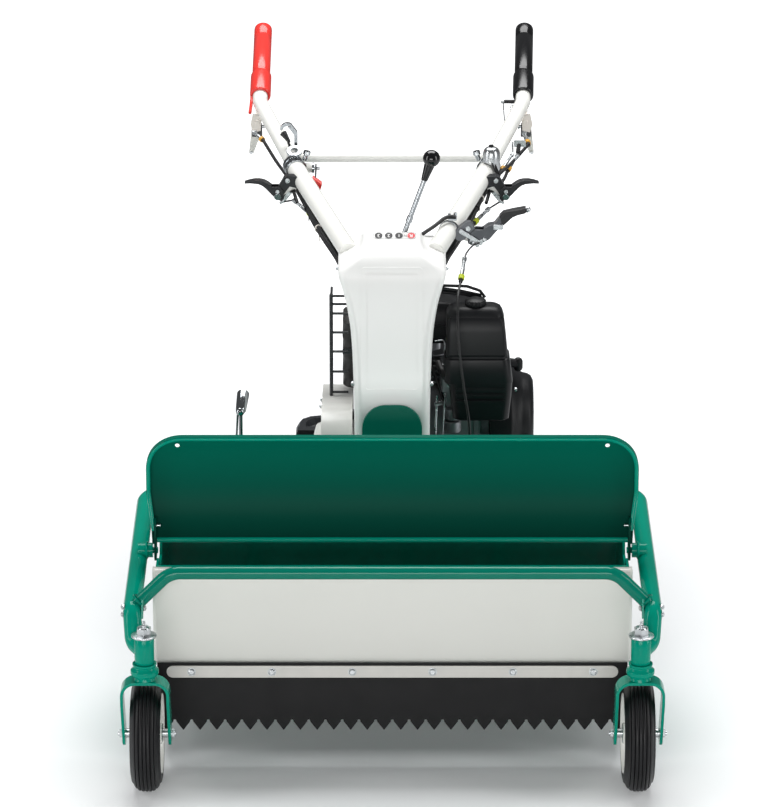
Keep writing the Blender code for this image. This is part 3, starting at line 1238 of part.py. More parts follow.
def cross_tube(finish):
    """The tie bar between the handles."""
    low, high = Vector(HANDLE_JOINT), Vector(HANDLE_BEND)
    at = low.lerp(high, (CROSS_Y - low.y) / (high.y - low.y))
    bar = rod((-at.x, CROSS_Y, at.z), (at.x, CROSS_Y, at.z), 0.0095, 12)
    handles = [rod(mirrored(low, sign), mirrored(high, sign), UPPER_TUBE + FIT, 20) for _, sign in SIDES]
    return finished("cross_tube", finish["white"], cut(bar, *handles))


def forked(blade, low, high, *bores):
    """A lever blade with a slot cut for the lug that it straddles, and its bore."""
    return cut(blade, block(low, high), *bores)


def steering_lever(finish, side, sign):
    """The cast finger lever that steers one crawler."""
    x, y, z = squeeze_pivot(sign)
    outline = [(x + sign * a, z + b) for a, b in (
        (-0.012, 0.008), (0.000, 0.012), (0.022, 0.010), (0.044, 0.019), (0.062, 0.021), (0.072, 0.018),
        (0.060, 0.013), (0.040, 0.002), (0.018, -0.010), (0.000, -0.014), (-0.012, -0.008))]
    blade = prism(outline, y - 0.0125, y + 0.0125, "Y")
    inner, outer = sorted((x - sign * 0.030, x + sign * 0.013))
    bore = rod((x, y - 0.03, z), (x, y + 0.03, z), 0.004 + RUN, 8)
    shape = forked(blade, (inner, y - 0.008, z - 0.03), (outer, y + 0.008, z + 0.03), bore)
    return finished(f"steering_lever_{side}", finish["plastic"], shape, (x, y, z))


def grip_lever(finish, side, sign):
    """The travel lever that hangs under a grip."""
    x, y, z = grip_lever_pivot(sign)
    tip = (y + 0.075, z - 0.078)
    blade = prism(around([(y, z, 0.008), (tip[0], tip[1], 0.004)], steps=5), x - 0.011, x + 0.011)
    bore = rod((x - 0.03, y, z), (x + 0.03, y, z), 0.0035 + RUN, 8)
    shape = forked(blade, (x - 0.0068, y - 0.02, z - 0.010), (x + 0.0068, y + 0.02, z + 0.03), bore)
    return finished(f"grip_lever_{side}", finish["steel"], shape, (x, y, z))


def knife_clutch_lever(finish):
    """The lever on the left handle that engages the rotor."""
    x, y, z = clutch_pivot()
    outline = [(x - 0.012, z - 0.006), (x - 0.004, z - 0.012), (x + 0.020, z - 0.012), (x + 0.050, z + 0.010),
               (x + 0.110, z + 0.046), (x + 0.108, z + 0.058), (x + 0.070, z + 0.048), (x + 0.040, z + 0.022),
               (x + 0.018, z + 0.012), (x - 0.004, z + 0.012), (x - 0.012, z + 0.006)]
    blade = prism(outline, y - 0.0135, y + 0.0135, "Y")
    bore = rod((x, y - 0.03, z), (x, y + 0.03, z), 0.005 + RUN, 8)
    shape = forked(blade, (x - 0.03, y - 0.0098, z - 0.03), (x + 0.014, y + 0.0098, z + 0.03), bore)
    tip = ball((x + 0.112, y, z + 0.054), 0.008, 10, 6)
    return finished("knife_clutch_lever", finish["steel"], joined(shape, tip), (x, y, z))


def throttle_lever(finish):
    """The thin throttle arm with its red tab, beside the right handle."""
    x, y, z = throttle_pivot()
    arm = prism(around([(y, z, 0.011), (y - 0.066, z - 0.010, 0.005)], steps=6), x - 0.002, x + 0.002)
    bore = rod((x - 0.02, y, z), (x + 0.02, y, z), 0.004 + RUN, 8)

    def end(y, width, drop):
        low, high = z - drop, z + drop - 0.02
        return [(x - 0.002, y, low), (x + width, y, low), (x + width, y, high), (x - 0.002, y, high)]

    tab = loft([end(y - 0.060, 0.007, 0.015), end(y - 0.086, 0.018, 0.019)])
    return finished("throttle_lever", finish["red"], joined(cut(arm, bore), tab), (x, y, z))


def switch_place():
    at = lower_tube_at(0.352)
    return Vector((at.x + 0.002, at.y, at.z))


def switch_box(finish):
    """The plated switch housing on the left handle, saddled on the tube."""
    at = switch_place()
    top = at.z + 0.052
    can = turned([(0, at.z), (0.015, at.z), (0.015, top - 0.008), (0.011, top), (0, top)],
                 (at.x, at.y, 0), "Z", 16)
    saddle = rod(lower_tube_at(0.300), lower_tube_at(0.420), LOWER_TUBE + 0.003 + FIT, 12)
    bore = rod((at.x + 0.003, at.y, top - 0.014), (at.x + 0.003, at.y, top + 0.01), 0.006 + RUN, 10)
    return finished("switch_box", finish["steel"], cut(can, saddle, bore))


def stop_button(finish):
    at = switch_place() + Vector((0.003, 0, 0.052))
    button = rod(at - Vector((0, 0, 0.008)), at + Vector((0, 0, 0.005)), 0.006, 10)
    return finished("stop_button", finish["plastic"], button, at)


def height_lever(finish):
    """The lever that sets the cutting height, on its lug on the frame tube."""
    x, y, z = HEIGHT_LEVER_X, FRAME_REAR, FRAME_HIGH + FRAME_TUBE + 0.016
    hub = rod((x - 0.005, y, z), (x + 0.005, y, z), 0.012, 12)
    bore = rod((x - 0.02, y, z), (x + 0.02, y, z), 0.005 + RUN, 10)
    stem = rod((x, y, z + 0.008), (x, y + 0.010, z + 0.122), 0.0040, 6)
    release = rod((x - 0.008, y - 0.002, z + 0.030), (x - 0.006, y + 0.008, z + 0.118), 0.0022, 4)
    latch = rod((x - 0.010, y - 0.001, z + 0.032), (x + 0.001, y - 0.001, z + 0.032), 0.0035, 6)
    joint = ball((x - 0.001, y + 0.010, z + 0.122), 0.009, 10, 6)
    hold = rod((x, y + 0.010, z + 0.122), (x + 0.004, y + 0.052, z + 0.146), 0.0105, 10, 0.0125)
    shape = joined(cut(hub, bore), stem, release, latch, joint, hold)
    return finished("height_lever", finish["chrome"], shape, (x, y, z))


# Cables

def smooth_path(points, count):
    """Points along a smooth curve through the route."""
    points = [Vector(p) for p in points]
    ends = [points[0] * 2 - points[1], *points, points[-1] * 2 - points[-2]]
    path = []
    spans = len(points) - 1
    for k in range(count + 1):
        place = k / count * spans
        i = min(int(place), spans - 1)
        t = place - i
        a, b, c, d = ends[i:i + 4]
        path.append((b * 2 + (c - a) * t + (a * 2 - b * 5 + c * 4 - d) * t * t
                     + (b * 3 - a - c * 3 + d) * t * t * t) / 2)
    return path


def cable_bundle(finish, side, sign):
    """The control cables strapped under a handle, from the levers into the dash cover."""
    drop = Vector((sign * 0.014, 0, -(LOWER_TUBE + CABLE_BUNDLE + 0.002)))
    route = [lower_tube_at(y, sign) + drop for y in (0.345, 0.250, 0.150, 0.060)]
    route += [Vector((sign * 0.118, -0.002, 0.778)), Vector((sign * 0.102, -0.050, 0.764)),
              Vector((sign * 0.088, -0.062, 0.756))]
    bundle = tube(smooth_path(route, 10), CABLE_BUNDLE, 8)
    return finished(f"cable_bundle_{side}", finish["rubber"], bundle)


def knife_clutch_cable(finish):
    """The single cable from the rotor lever down to the gear case."""
    start = clutch_pivot() + Vector((0.004, -0.020, -0.020))
    route = [start, (0.145, -0.045, 0.765), (0.140, -0.135, 0.735), (0.139, -0.172, 0.640),
             (0.140, -0.180, 0.520), (0.138, -0.190, 0.420), (0.112, -0.192, 0.345),
             (CASE_HALF + FIT, -0.192, 0.335)]
    return finished("knife_clutch_cable", finish["rubber"], tube(smooth_path(route, 17), THIN_CABLE, 6))


def make_all():
    for obj in list(bpy.data.objects):
        bpy.data.objects.remove(obj)
    finish = make_materials()
    for side, sign in SIDES:
        fork = caster_fork(finish, side, sign)
        caster_wheel(finish, side, sign, fork)
        rubber_track(finish, side, sign)
        drive_sprocket(finish, side, sign)
        idler = (sign * TRACK_X, IDLER_Y, TRACK_FLOOR + IDLER_RADIUS)
        running_wheel(finish, f"idler_wheel_{side}", idler, IDLER_RADIUS, 0.034, 0.010)
        for place, y in zip(("front", "rear"), ROLLER_YS):
            centre = (sign * TRACK_X, y, TRACK_FLOOR + ROLLER_RADIUS)
            running_wheel(finish, f"track_roller_{place}_{side}", centre, ROLLER_RADIUS, 0.020, 0.008)
    side_frame(finish)
    guard_bar(finish)
    deck_shell(finish)
    front_panel(finish)
    rubber_flap(finish)
    flap_strip(finish)
    flail_rotor(finish)
    hood(finish)
    main_frame(finish)
    transmission_case(finish)
    engine_block(finish)
    recoil_housing(finish)
    recoil_handle(finish)
    air_cleaner_case(finish)
    fluted_cap(finish, "air_cleaner_knob", (0.166, -0.096, 0.714 + FIT), 0.021, 0.010)
    fuel_tank(finish)
    cap_z = CRANK_Z + 0.085 + FIN_COUNT * 0.0115 + 0.026 + 0.108 + 2 * FIT
    fluted_cap(finish, "fuel_cap", (0.060, 0.105, cap_z), 0.027, 0.012)
    muffler(finish)
    muffler_guard(finish)
    pulley(finish, "engine_pulley", CRANK_Y, CRANK_Z, ENGINE_PULLEY, CRANKCASE_RIGHT + 0.018, PULLEY_SHAFT)
    pulley(finish, "gearbox_pulley", INPUT_Y, INPUT_Z, GEARBOX_PULLEY, -0.063, PULLEY_SHAFT)
    drive_belt(finish)
    belt_cover(finish)
    steering_column(finish)
    dash_cover(finish)
    column_cover(finish)
    shift_lever(finish)
    for side, sign in SIDES:
        handle_tube(finish, side, sign)
        grip(finish, side, sign, "red" if side == "right" else "plastic")
        steering_lever(finish, side, sign)
        grip_lever(finish, side, sign)
        cable_bundle(finish, side, sign)
    cross_tube(finish)
    knife_clutch_lever(finish)
    knife_clutch_cable(finish)
    throttle_lever(finish)
    switch_box(finish)
    stop_button(finish)
    height_lever(finish)


make_all()
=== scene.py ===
"""The look of a walk-behind crawler mower with a hammer knife rotor, in metres.

The mower faces -Y, +Z is up and +X is the machine's left side. Each section below
makes one piece, or one group of like pieces, in the order they are put together.
"""

from math import atan2, cos, hypot, pi, radians, sin

import bmesh
import bpy
from mathutils import Matrix, Vector


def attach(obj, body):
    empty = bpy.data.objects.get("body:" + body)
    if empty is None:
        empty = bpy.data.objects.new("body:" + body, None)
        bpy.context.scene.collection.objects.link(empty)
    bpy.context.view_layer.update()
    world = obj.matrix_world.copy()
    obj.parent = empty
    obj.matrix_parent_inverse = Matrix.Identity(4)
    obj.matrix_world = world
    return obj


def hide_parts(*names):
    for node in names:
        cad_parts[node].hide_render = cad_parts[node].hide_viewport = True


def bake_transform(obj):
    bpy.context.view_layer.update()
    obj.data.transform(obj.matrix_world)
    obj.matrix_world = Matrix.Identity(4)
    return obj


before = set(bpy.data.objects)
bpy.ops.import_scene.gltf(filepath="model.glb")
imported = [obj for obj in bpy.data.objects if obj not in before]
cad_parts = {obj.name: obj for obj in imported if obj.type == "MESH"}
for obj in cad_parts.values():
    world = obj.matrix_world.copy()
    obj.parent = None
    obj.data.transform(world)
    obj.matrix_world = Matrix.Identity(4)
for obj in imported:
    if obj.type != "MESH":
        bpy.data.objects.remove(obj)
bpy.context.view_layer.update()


# The studio: a pale floor that runs to the edge of the picture, a big soft light
# overhead, one in front above the camera, and one at each side for the tubes' glints.

def linear(hex_code):
    """An sRGB colour as the shaders take it."""
    parts = [int(hex_code[i:i + 2], 16) / 255 for i in (0, 2, 4)]
    return [p / 12.92 if p <= 0.04045 else ((p + 0.055) / 1.055) ** 2.4 for p in parts] + [1]


def add(tree, kind, feeds=(), **settings):
    """Adds a shader node with its settings, and links sources to its sockets."""
    made = tree.nodes.new("ShaderNode" + kind)
    for name, value in settings.items():
        if hasattr(made, name):
            setattr(made, name, value)
        else:
            made.inputs[name.replace("_", " ")].default_value = value
    for socket, source in feeds:
        tree.links.new(source, made.inputs[socket])
    return made


scene = bpy.context.scene
scene.view_settings.view_transform = "Standard"

camera = bpy.data.objects.new("camera", bpy.data.cameras.new("camera"))
scene.collection.objects.link(camera)
camera.location = (-0.014, -8.0615, 3.2486)
camera.rotation_euler = (radians(90 - 19), 0, 0)
camera.data.sensor_fit = "VERTICAL"
camera.data.sensor_height = 36
camera.data.lens = 187.4
camera.data.clip_end = 100
scene.camera = camera

for name, place, aim, size, watts in (
        ("overhead", (0, 1.2, 3.7), (0, -0.3, 0.2), (3.4, 2.0), 160),
        ("front", (-0.4, -5.6, 1.35), (0, -0.3, 0.5), (3.6, 1.2), 112),
        ("right_strip", (-3.6, -1.6, 1.7), (0, -0.4, 0.5), (0.9, 3.0), 50),
        ("left_strip", (3.6, -1.6, 1.7), (0, -0.4, 0.5), (0.9, 3.0), 50)):
    lamp = bpy.data.objects.new(name, bpy.data.lights.new(name, "AREA"))
    lamp.data.shape = "RECTANGLE"
    lamp.data.size, lamp.data.size_y = size
    lamp.data.energy = watts
    lamp.location = place
    lamp.rotation_euler = (Vector(aim) - Vector(place)).to_track_quat("-Z", "Y").to_euler()
    scene.collection.objects.link(lamp)

world = bpy.data.worlds.new("studio")
scene.world = world
world.use_nodes = True
sky = world.node_tree
sky.nodes.clear()
rays = add(sky, "LightPath")
lit = add(sky, "Background", Color=linear("F4F6F8"), Strength=0.15)
shown = add(sky, "Background", Color=linear("FFFFFF"), Strength=1.0)
both = add(sky, "MixShader", [(0, rays.outputs["Is Camera Ray"]), (1, lit.outputs[0]), (2, shown.outputs[0])])
add(sky, "OutputWorld", [(0, both.outputs[0])])

bm = bmesh.new()
bmesh.ops.create_grid(bm, x_segments=1, y_segments=1, size=40)
floor = bpy.data.objects.new("floor", bpy.data.meshes.new("floor"))
bm.to_mesh(floor.data)
bm.free()
scene.collection.objects.link(floor)
paper = bpy.data.materials.new("satin_floor")
paper.use_nodes = True
tree = paper.node_tree
shader = tree.nodes["Principled BSDF"]
shader.inputs["Base Color"].default_value = linear("EEF0F1")
shader.inputs["Roughness"].default_value = 0.42
rays = add(tree, "LightPath")
place = add(tree, "TexCoord")
oval = add(tree, "Mapping", [("Vector", place.outputs["Object"])], Location=(0, 0.054, 0),
           Scale=(1.82, 1.075, 0))
apart = add(tree, "VectorMath", [(0, oval.outputs[0])], operation="LENGTH")
rise = add(tree, "MapRange", [("Value", apart.outputs["Value"])], From_Min=1.0, From_Max=3.2, To_Min=0.03,
           To_Max=1.0)
glow = add(tree, "Math", [(0, rays.outputs["Is Camera Ray"]), (1, rise.outputs[0])], operation="MULTIPLY")
shader.inputs["Emission Color"].default_value = linear("FFFFFF")
tree.links.new(glow.outputs[0], shader.inputs["Emission Strength"])
floor.data.materials.append(paper)


# Casters: solid rubber tyres on white pressed rims, in forks bent from flat bar. The
# forks are enamelled with the frame; washer, nut, grease nipple and axle bolt are zinc.

SIDES = (("right", -1), ("left", 1))
CASTER_X, AXLE_Y, WHEEL_RADIUS = 0.4585, -0.836, 0.109
PIVOT_Y = AXLE_Y - 0.040
SLEEVE_LOW, SLEEVE_TOP = 0.2684, 0.3194


def surface(name, colour, roughness, metallic=0.0, grain_mm=1.0, depth_mm=0.02, patch_mm=60.0,
            patch=0.04, haze=0.04, stretch=(1, 1, 1), fade=None, **sockets):
    """A finish with broad patches of shade and haze, and a fine grain in its relief.

    fade is (low z, high z, share): below the high z it darkens to that share at the low z, a painted shade."""
    made = bpy.data.materials.new(name)
    made.use_nodes = True
    tree = made.node_tree
    shader = tree.nodes["Principled BSDF"]
    shader.inputs["Metallic"].default_value = metallic
    for socket, value in sockets.items():
        shader.inputs[socket.replace("_", " ")].default_value = value
    place = add(tree, "TexCoord")
    pulled = add(tree, "Mapping", [("Vector", place.outputs["Object"])], Scale=stretch)
    broad = add(tree, "TexNoise", [("Vector", place.outputs["Object"])], Scale=1000 / patch_mm, Detail=4)
    grain = add(tree, "TexNoise", [("Vector", pulled.outputs[0])], Scale=1000 / grain_mm, Detail=3)
    pure = linear(colour)
    dark, pale = [[p * (1 + sign * patch) for p in pure[:3]] + [1] for sign in (-1, 1)]
    tint = add(tree, "Mix", [("Factor", broad.outputs["Fac"])], data_type="RGBA")
    tint.inputs[6].default_value, tint.inputs[7].default_value = dark, pale
    shade = tint.outputs[2]
    # fade paints shade: the colour darkens below the high z, down to the share at the low z
    if fade:
        split = add(tree, "SeparateXYZ", [(0, place.outputs["Object"])])
        level = add(tree, "MapRange", [("Value", split.outputs["Z"])], From_Min=fade[0], From_Max=fade[1],
                    To_Min=fade[2], To_Max=1.0)
        dimmed = add(tree, "VectorMath", [(0, shade), ("Scale", level.outputs[0])], operation="SCALE")
        shade = dimmed.outputs[0]
    tree.links.new(shade, shader.inputs["Base Color"])
    gloss = add(tree, "MapRange", [("Value", broad.outputs["Fac"])], From_Min=0.3, From_Max=0.7,
                To_Min=roughness - haze, To_Max=roughness + haze)
    tree.links.new(gloss.outputs[0], shader.inputs["Roughness"])
    relief = add(tree, "Bump", [("Height", grain.outputs["Fac"])], Distance=depth_mm / 1000)
    tree.links.new(relief.outputs[0], shader.inputs["Normal"])
    return made


# Stoved enamel, sprayed: a clear hard gloss with a faint orange peel
green_enamel = surface("green_enamel", "008A73", 0.12, grain_mm=4, depth_mm=0.02, haze=0.02,
                       Specular_IOR_Level=0.14)
white_enamel = surface("white_enamel", "ECECE7", 0.24, grain_mm=4, depth_mm=0.03, patch_mm=400, patch=0.01,
                       haze=0.01)
# Moulded solid rubber: near black, with the dull sheen of the mould
tyre_rubber = surface("tyre_rubber", "151517", 0.42, grain_mm=1.2, depth_mm=0.03, patch=0.15, haze=0.08,
                      Specular_IOR_Level=0.3)
# Bright zinc plate on turned and pressed steel: pale, slightly blue and cloudy
zinc_plate = surface("zinc_plate", "C9CCCE", 0.30, 1.0, grain_mm=0.8, depth_mm=0.01, patch_mm=12,
                     patch=0.10, haze=0.08)


def piece(name, bm, finish, body="chassis", stands_for=(), smooth=32, edge=0.0):
    """Turns a finished bmesh into a named piece that rides on a body."""
    bmesh.ops.recalc_face_normals(bm, faces=bm.faces)
    mesh = bpy.data.meshes.new(name)
    bm.to_mesh(mesh)
    bm.free()
    mesh.materials.append(finish)
    mesh.shade_smooth()
    mesh.set_sharp_from_angle(angle=radians(smooth))
    made = bpy.data.objects.new(name, mesh)
    scene.collection.objects.link(made)
    if edge:
        rounding = made.modifiers.new("edge", "BEVEL")
        rounding.width = edge
        rounding.segments = 2
        rounding.limit_method = "ANGLE"
        rounding.angle_limit = radians(smooth)
        rounding.harden_normals = True
    if body:
        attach(made, body)
    if stands_for:
        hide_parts(*stands_for)
    return made


def spun(bm, profile, centre, axis="X", steps=64, ring=False):
    """Spins (radius, distance along the axis) points round an axis through the centre."""
    along = {"X": Vector((1, 0, 0)), "Y": Vector((0, 1, 0)), "Z": Vector((0, 0, 1))}[axis]
    out = Vector((1, 0, 0)) if axis != "X" else Vector((0, 0, 1))
    centre = Vector(centre)
    verts = [bm.verts.new(centre + out * r + along * h) for r, h in profile]
    pairs = list(zip(verts, verts[1:])) + ([(verts[-1], verts[0])] if ring else [])
    edges = [bm.edges.new(pair) for pair in pairs]
    bmesh.ops.spin(bm, geom=verts + edges, cent=centre, axis=along, dvec=(0, 0, 0), angle=2 * pi,
                   steps=steps, use_merge=True)
    bmesh.ops.remove_doubles(bm, verts=bm.verts, dist=1e-6)


def facing(centre, along):
    """The matrix that moves the origin to a centre and turns Z along a direction."""
    return Matrix.Translation(centre) @ along.to_track_quat("Z", "Y").to_matrix().to_4x4()


def rod(bm, start, end, radius, sides=32, tip=None):
    """A round bar between two points, or a cone with its own radius at the tip."""
    start, end = Vector(start), Vector(end)
    bmesh.ops.create_cone(bm, cap_ends=True, segments=sides, radius1=radius, radius2=radius if tip is None
                          else tip, depth=(end - start).length, matrix=facing((start + end) / 2, end - start))


def ball(bm, centre, radius, round_steps=24, up_steps=12):
    """A sphere, with its steps round the middle and from pole to pole."""
    bmesh.ops.create_uvsphere(bm, u_segments=round_steps, v_segments=up_steps, radius=radius,
                              matrix=Matrix.Translation(centre))


def slab(bm, outline, low, high, axis="X"):
    """Extrudes an outline along X (points are y, z), Y (x, z) or Z (x, y)."""
    place = {"X": lambda a, b, h: (h, a, b), "Y": lambda a, b, h: (a, h, b),
             "Z": lambda a, b, h: (a, b, h)}[axis]
    face = bm.faces.new([bm.verts.new(place(a, b, low)) for a, b in outline])
    grown = bmesh.ops.extrude_face_region(bm, geom=[face])["geom"]
    bmesh.ops.translate(bm, vec=place(0, 0, high - low),
                        verts=[g for g in grown if isinstance(g, bmesh.types.BMVert)])


def arc(centre, radius, start, end, steps=8):
    """Points on a circle from one angle in degrees to another."""
    angles = [radians(start + (end - start) * i / steps) for i in range(steps + 1)]
    return [(centre[0] + radius * cos(a), centre[1] + radius * sin(a)) for a in angles]


def bolt(bm, seat, along, size, grip=0.0):
    """A hexagon head on a washer, seated at a point, with its shank running back."""
    seat, along = Vector(seat), Vector(along).normalized()
    rod(bm, seat, seat + along * size * 0.12, size * 1.05, 28)
    rod(bm, seat + along * size * 0.12, seat + along * size * 0.62, size * 0.90, 6)
    rod(bm, seat - along * grip, seat + along * size * 0.85, size * 0.50, 20)


def bolts(name, seats, body="chassis", edge=0.0003):
    """A piece of bolt heads, each given as bolt takes it."""
    bm = bmesh.new()
    for seat in seats:
        bolt(bm, *seat)
    piece(name, bm, zinc_plate, body, edge=edge)


def shaped(bm, operation, other):
    """The first bmesh cut by, kept inside or joined to the second."""
    made = []
    for shape in (bm, other):
        bmesh.ops.recalc_face_normals(shape, faces=shape.faces)
        mesh = bpy.data.meshes.new("work")
        shape.to_mesh(mesh)
        shape.free()
        made.append(bpy.data.objects.new("work", mesh))
        scene.collection.objects.link(made[-1])
    knife = made[0].modifiers.new("shape", "BOOLEAN")
    knife.operation = operation
    knife.object = made[1]
    bpy.context.view_layer.update()
    result = bmesh.new()
    result.from_object(made[0], bpy.context.evaluated_depsgraph_get())
    for used in made:
        bpy.data.objects.remove(used)
    return result


def joined(bm, other, place):
    """Adds the second bmesh to the first, moved to its place, and frees it."""
    other.transform(place)
    mesh = bpy.data.meshes.new("work")
    other.to_mesh(mesh)
    other.free()
    bm.from_mesh(mesh)
    bpy.data.meshes.remove(mesh)


def tyre_crown(across):
    """Radius of the rounded tread at a distance from the middle."""
    return WHEEL_RADIUS - 0.020 * (abs(across) / 0.0275) ** 3.5


RIB_PITCH, RIB_HALF, GROOVE = 0.0069, 0.0023, 0.0024
for side, sign in SIDES:
    centre = (sign * CASTER_X, AXLE_Y, WHEEL_RADIUS)
    x = centre[0]
    tread = []
    for i in range(-3, 4):
        middle = i * RIB_PITCH
        for across, drop in ((-RIB_HALF - 0.0005, 0.0012), (-RIB_HALF + 0.0005, 0.0001), (0, 0),
                             (RIB_HALF - 0.0005, 0.0001), (RIB_HALF + 0.0005, 0.0012),
                             (RIB_PITCH / 2, GROOVE)):
            tread.append((tyre_crown(middle + across) - drop, middle + across))
    side_wall = [(0.0915, 0.0272), (0.086, 0.0285), (0.081, 0.0285), (0.0795, 0.0277), (0.076, 0.0272),
                 (0.0715, 0.024)]
    half = [(r, a) for r, a in tread] + side_wall
    bm = bmesh.new()
    spun(bm, [(r, -a) for r, a in reversed(side_wall)] + half, centre, steps=96, ring=True)
    piece(f"tyre_{side}", bm, tyre_rubber, f"caster_wheel_{side}", [f"caster_tyre_{side}"], 50)

    bm = bmesh.new()
    half = [(0.0095, 0.0285), (0.0185, 0.0285), (0.0195, 0.0275), (0.0200, 0.010), (0.026, 0.0065),
            (0.048, 0.0050), (0.059, 0.0075), (0.0655, 0.0150), (0.0680, 0.0245), (0.0715, 0.0283),
            (0.0745, 0.0287), (0.0755, 0.0277), (0.0725, 0.0262), (0.0708, 0.0225)]
    spun(bm, half + [(r, -a) for r, a in reversed(half)], centre, steps=96, ring=True)
    piece(f"rim_{side}", bm, white_enamel, f"caster_wheel_{side}", [f"caster_rim_{side}"], 40)
    bm = bmesh.new()
    for out in (-1, 1):
        spun(bm, [(0.0070, out * 0.0270), (0.0092, out * 0.0292), (0.0165, out * 0.0292),
                  (0.0178, out * 0.0280)], centre, steps=40)
    piece(f"bearing_{side}", bm, zinc_plate, f"caster_wheel_{side}")

    # fork bent from 42 x 5.6 mm bar
    inside, bar, bend = 0.040, 0.0056, 0.028
    crown = 2 * WHEEL_RADIUS + 0.012 + bar
    low = WHEEL_RADIUS - 0.024
    outline = []
    for half, top, radius, turn in ((inside + bar, crown, bend, 1), (inside, crown - bar, bend - bar, -1)):
        line = ([(x + half, low)] + arc((x + half - radius, top - radius), radius, 0, 90, 10)
                + arc((x - half + radius, top - radius), radius, 90, 180, 10) + [(x - half, low)])
        outline += line[::turn]
    band, side_view = bmesh.new(), bmesh.new()
    slab(band, outline, PIVOT_Y - 0.05, AXLE_Y + 0.05, "Y")
    knee = crown - 0.045
    profile = ([(PIVOT_Y - 0.021, crown + 0.01), (PIVOT_Y - 0.021, knee)]
               + arc((AXLE_Y, WHEEL_RADIUS), 0.022, 190, 370, 16)
               + [(PIVOT_Y + 0.021, knee), (PIVOT_Y + 0.021, crown + 0.01)])
    slab(side_view, profile, x - 0.06, x + 0.06)
    bm = shaped(band, "INTERSECT", side_view)
    spun(bm, [(0, crown - 0.003), (0.0215, crown - 0.003), (0.0195, crown + 0.002), (0.0185, crown + 0.006),
              (0.0235, crown + 0.008), (0.0262, crown + 0.012), (0.0262, crown + 0.019),
              (0.0225, crown + 0.022), (0.0205, crown + 0.026), (0.0225, crown + 0.029),
              (0.0225, SLEEVE_LOW - 0.0008), (0.0115, SLEEVE_LOW - 0.0008), (0.0115, SLEEVE_TOP + 0.002),
              (0, SLEEVE_TOP + 0.002)],
         (x, PIVOT_Y, 0), "Z", 48)
    piece(f"fork_{side}", bm, green_enamel, f"caster_fork_{side}", [f"caster_fork_{side}"],
          edge=0.0009)
    bm = bmesh.new()
    cap = SLEEVE_TOP + 0.0008
    spun(bm, [(0, cap), (0.0232, cap), (0.0238, cap + 0.001), (0.0235, cap + 0.003), (0.017, cap + 0.0042),
              (0, cap + 0.0042)], (x, PIVOT_Y, 0), "Z", 48)
    rod(bm, (x, PIVOT_Y, cap + 0.004), (x, PIVOT_Y, cap + 0.0165), 0.0145, 6)
    rod(bm, (x, PIVOT_Y, cap + 0.0165), (x, PIVOT_Y, cap + 0.019), 0.0118, 32, 0.010)
    spun(bm, [(0, cap + 0.018), (0.0050, cap + 0.018), (0.0050, cap + 0.022), (0.0030, cap + 0.0235),
              (0.0026, cap + 0.026), (0.0036, cap + 0.028), (0.0022, cap + 0.0302), (0, cap + 0.0302)],
         (x, PIVOT_Y, 0), "Z", 20)
    for out in (-1, 1):
        reach = x + out * (inside + bar)
        bolt(bm, (reach, AXLE_Y, WHEEL_RADIUS), (out, 0, 0), 0.0098)
        rod(bm, (reach, AXLE_Y, WHEEL_RADIUS), (x + out * 0.0285, AXLE_Y, WHEEL_RADIUS), 0.0085, 24)
    rod(bm, (x - inside - 0.010, AXLE_Y, WHEEL_RADIUS), (x + inside + 0.010, AXLE_Y, WHEEL_RADIUS), 0.006, 20)
    piece(f"caster_hardware_{side}", bm, zinc_plate, f"caster_fork_{side}", edge=0.0004)


# Frame tube: one 34 mm tube bent round the deck, with a turned sleeve welded on for each
# caster and a stub for each hinge of the hood. Stoved in the same green enamel.

FRAME_X, FRAME_TUBE, FRAME_FRONT, FRAME_REAR = 0.483, 0.017, -0.826, -0.262
FRAME_LOW, FRAME_HIGH = 0.350, 0.388
HINGE_Y, HINGE_Z, DECK_HALF = -0.601, 0.385, 0.4445


def bent(points, radius, steps=8):
    """The polyline through the points with each inner corner rounded to the radius."""
    points = [Vector(p) for p in points]
    path = [points[0]]
    for before, corner, after in zip(points, points[1:], points[2:]):
        a, b = (before - corner).normalized(), (after - corner).normalized()
        half = a.angle(b) / 2
        middle = corner + (a + b).normalized() * radius / sin(half)
        first = (corner + a * radius * cos(half) / sin(half) - middle).normalized()
        last = (corner + b * radius * cos(half) / sin(half) - middle).normalized()
        swing = first.angle(last)
        for i in range(steps + 1):
            share = i / steps
            arm = (first * sin((1 - share) * swing) + last * sin(share * swing)) / sin(swing)
            path.append(middle + arm * radius)
    return path + [points[-1]]


def tube(bm, path, radius, sides=32):
    """A round bar along a path, with flat ends."""
    curve = bpy.data.curves.new("work", "CURVE")
    curve.dimensions = "3D"
    curve.bevel_depth = radius
    curve.bevel_resolution = (sides - 4) // 2
    curve.use_fill_caps = True
    spline = curve.splines.new("POLY")
    spline.points.add(len(path) - 1)
    for point, place in zip(spline.points, path):
        point.co = (*place, 1)
    guide = bpy.data.objects.new("work", curve)
    scene.collection.objects.link(guide)
    bpy.context.view_layer.update()
    mesh = bpy.data.meshes.new_from_object(guide.evaluated_get(bpy.context.evaluated_depsgraph_get()))
    bpy.data.objects.remove(guide)
    bm.from_mesh(mesh)
    bpy.data.meshes.remove(mesh)
    bmesh.ops.remove_doubles(bm, verts=bm.verts, dist=1e-6)


def cord(name, finish, *runs, body="chassis"):
    """A piece of round wires or hoses, each given as tube takes it."""
    bm = bmesh.new()
    for run in runs:
        tube(bm, *run)
    piece(name, bm, finish, body)


def bead(bm, centre, along, radius, thick=0.0028):
    """A weld bead round a tube, rippled as a hand-laid weld is."""
    turn = Vector(along).to_track_quat("Z", "Y")
    path = []
    for i in range(49):
        a = 2 * pi * i / 48
        reach = radius + 0.0005 * (i % 2)
        path.append(Vector(centre) + turn @ Vector((reach * cos(a), reach * sin(a), 0)))
    tube(bm, path, thick, 8)


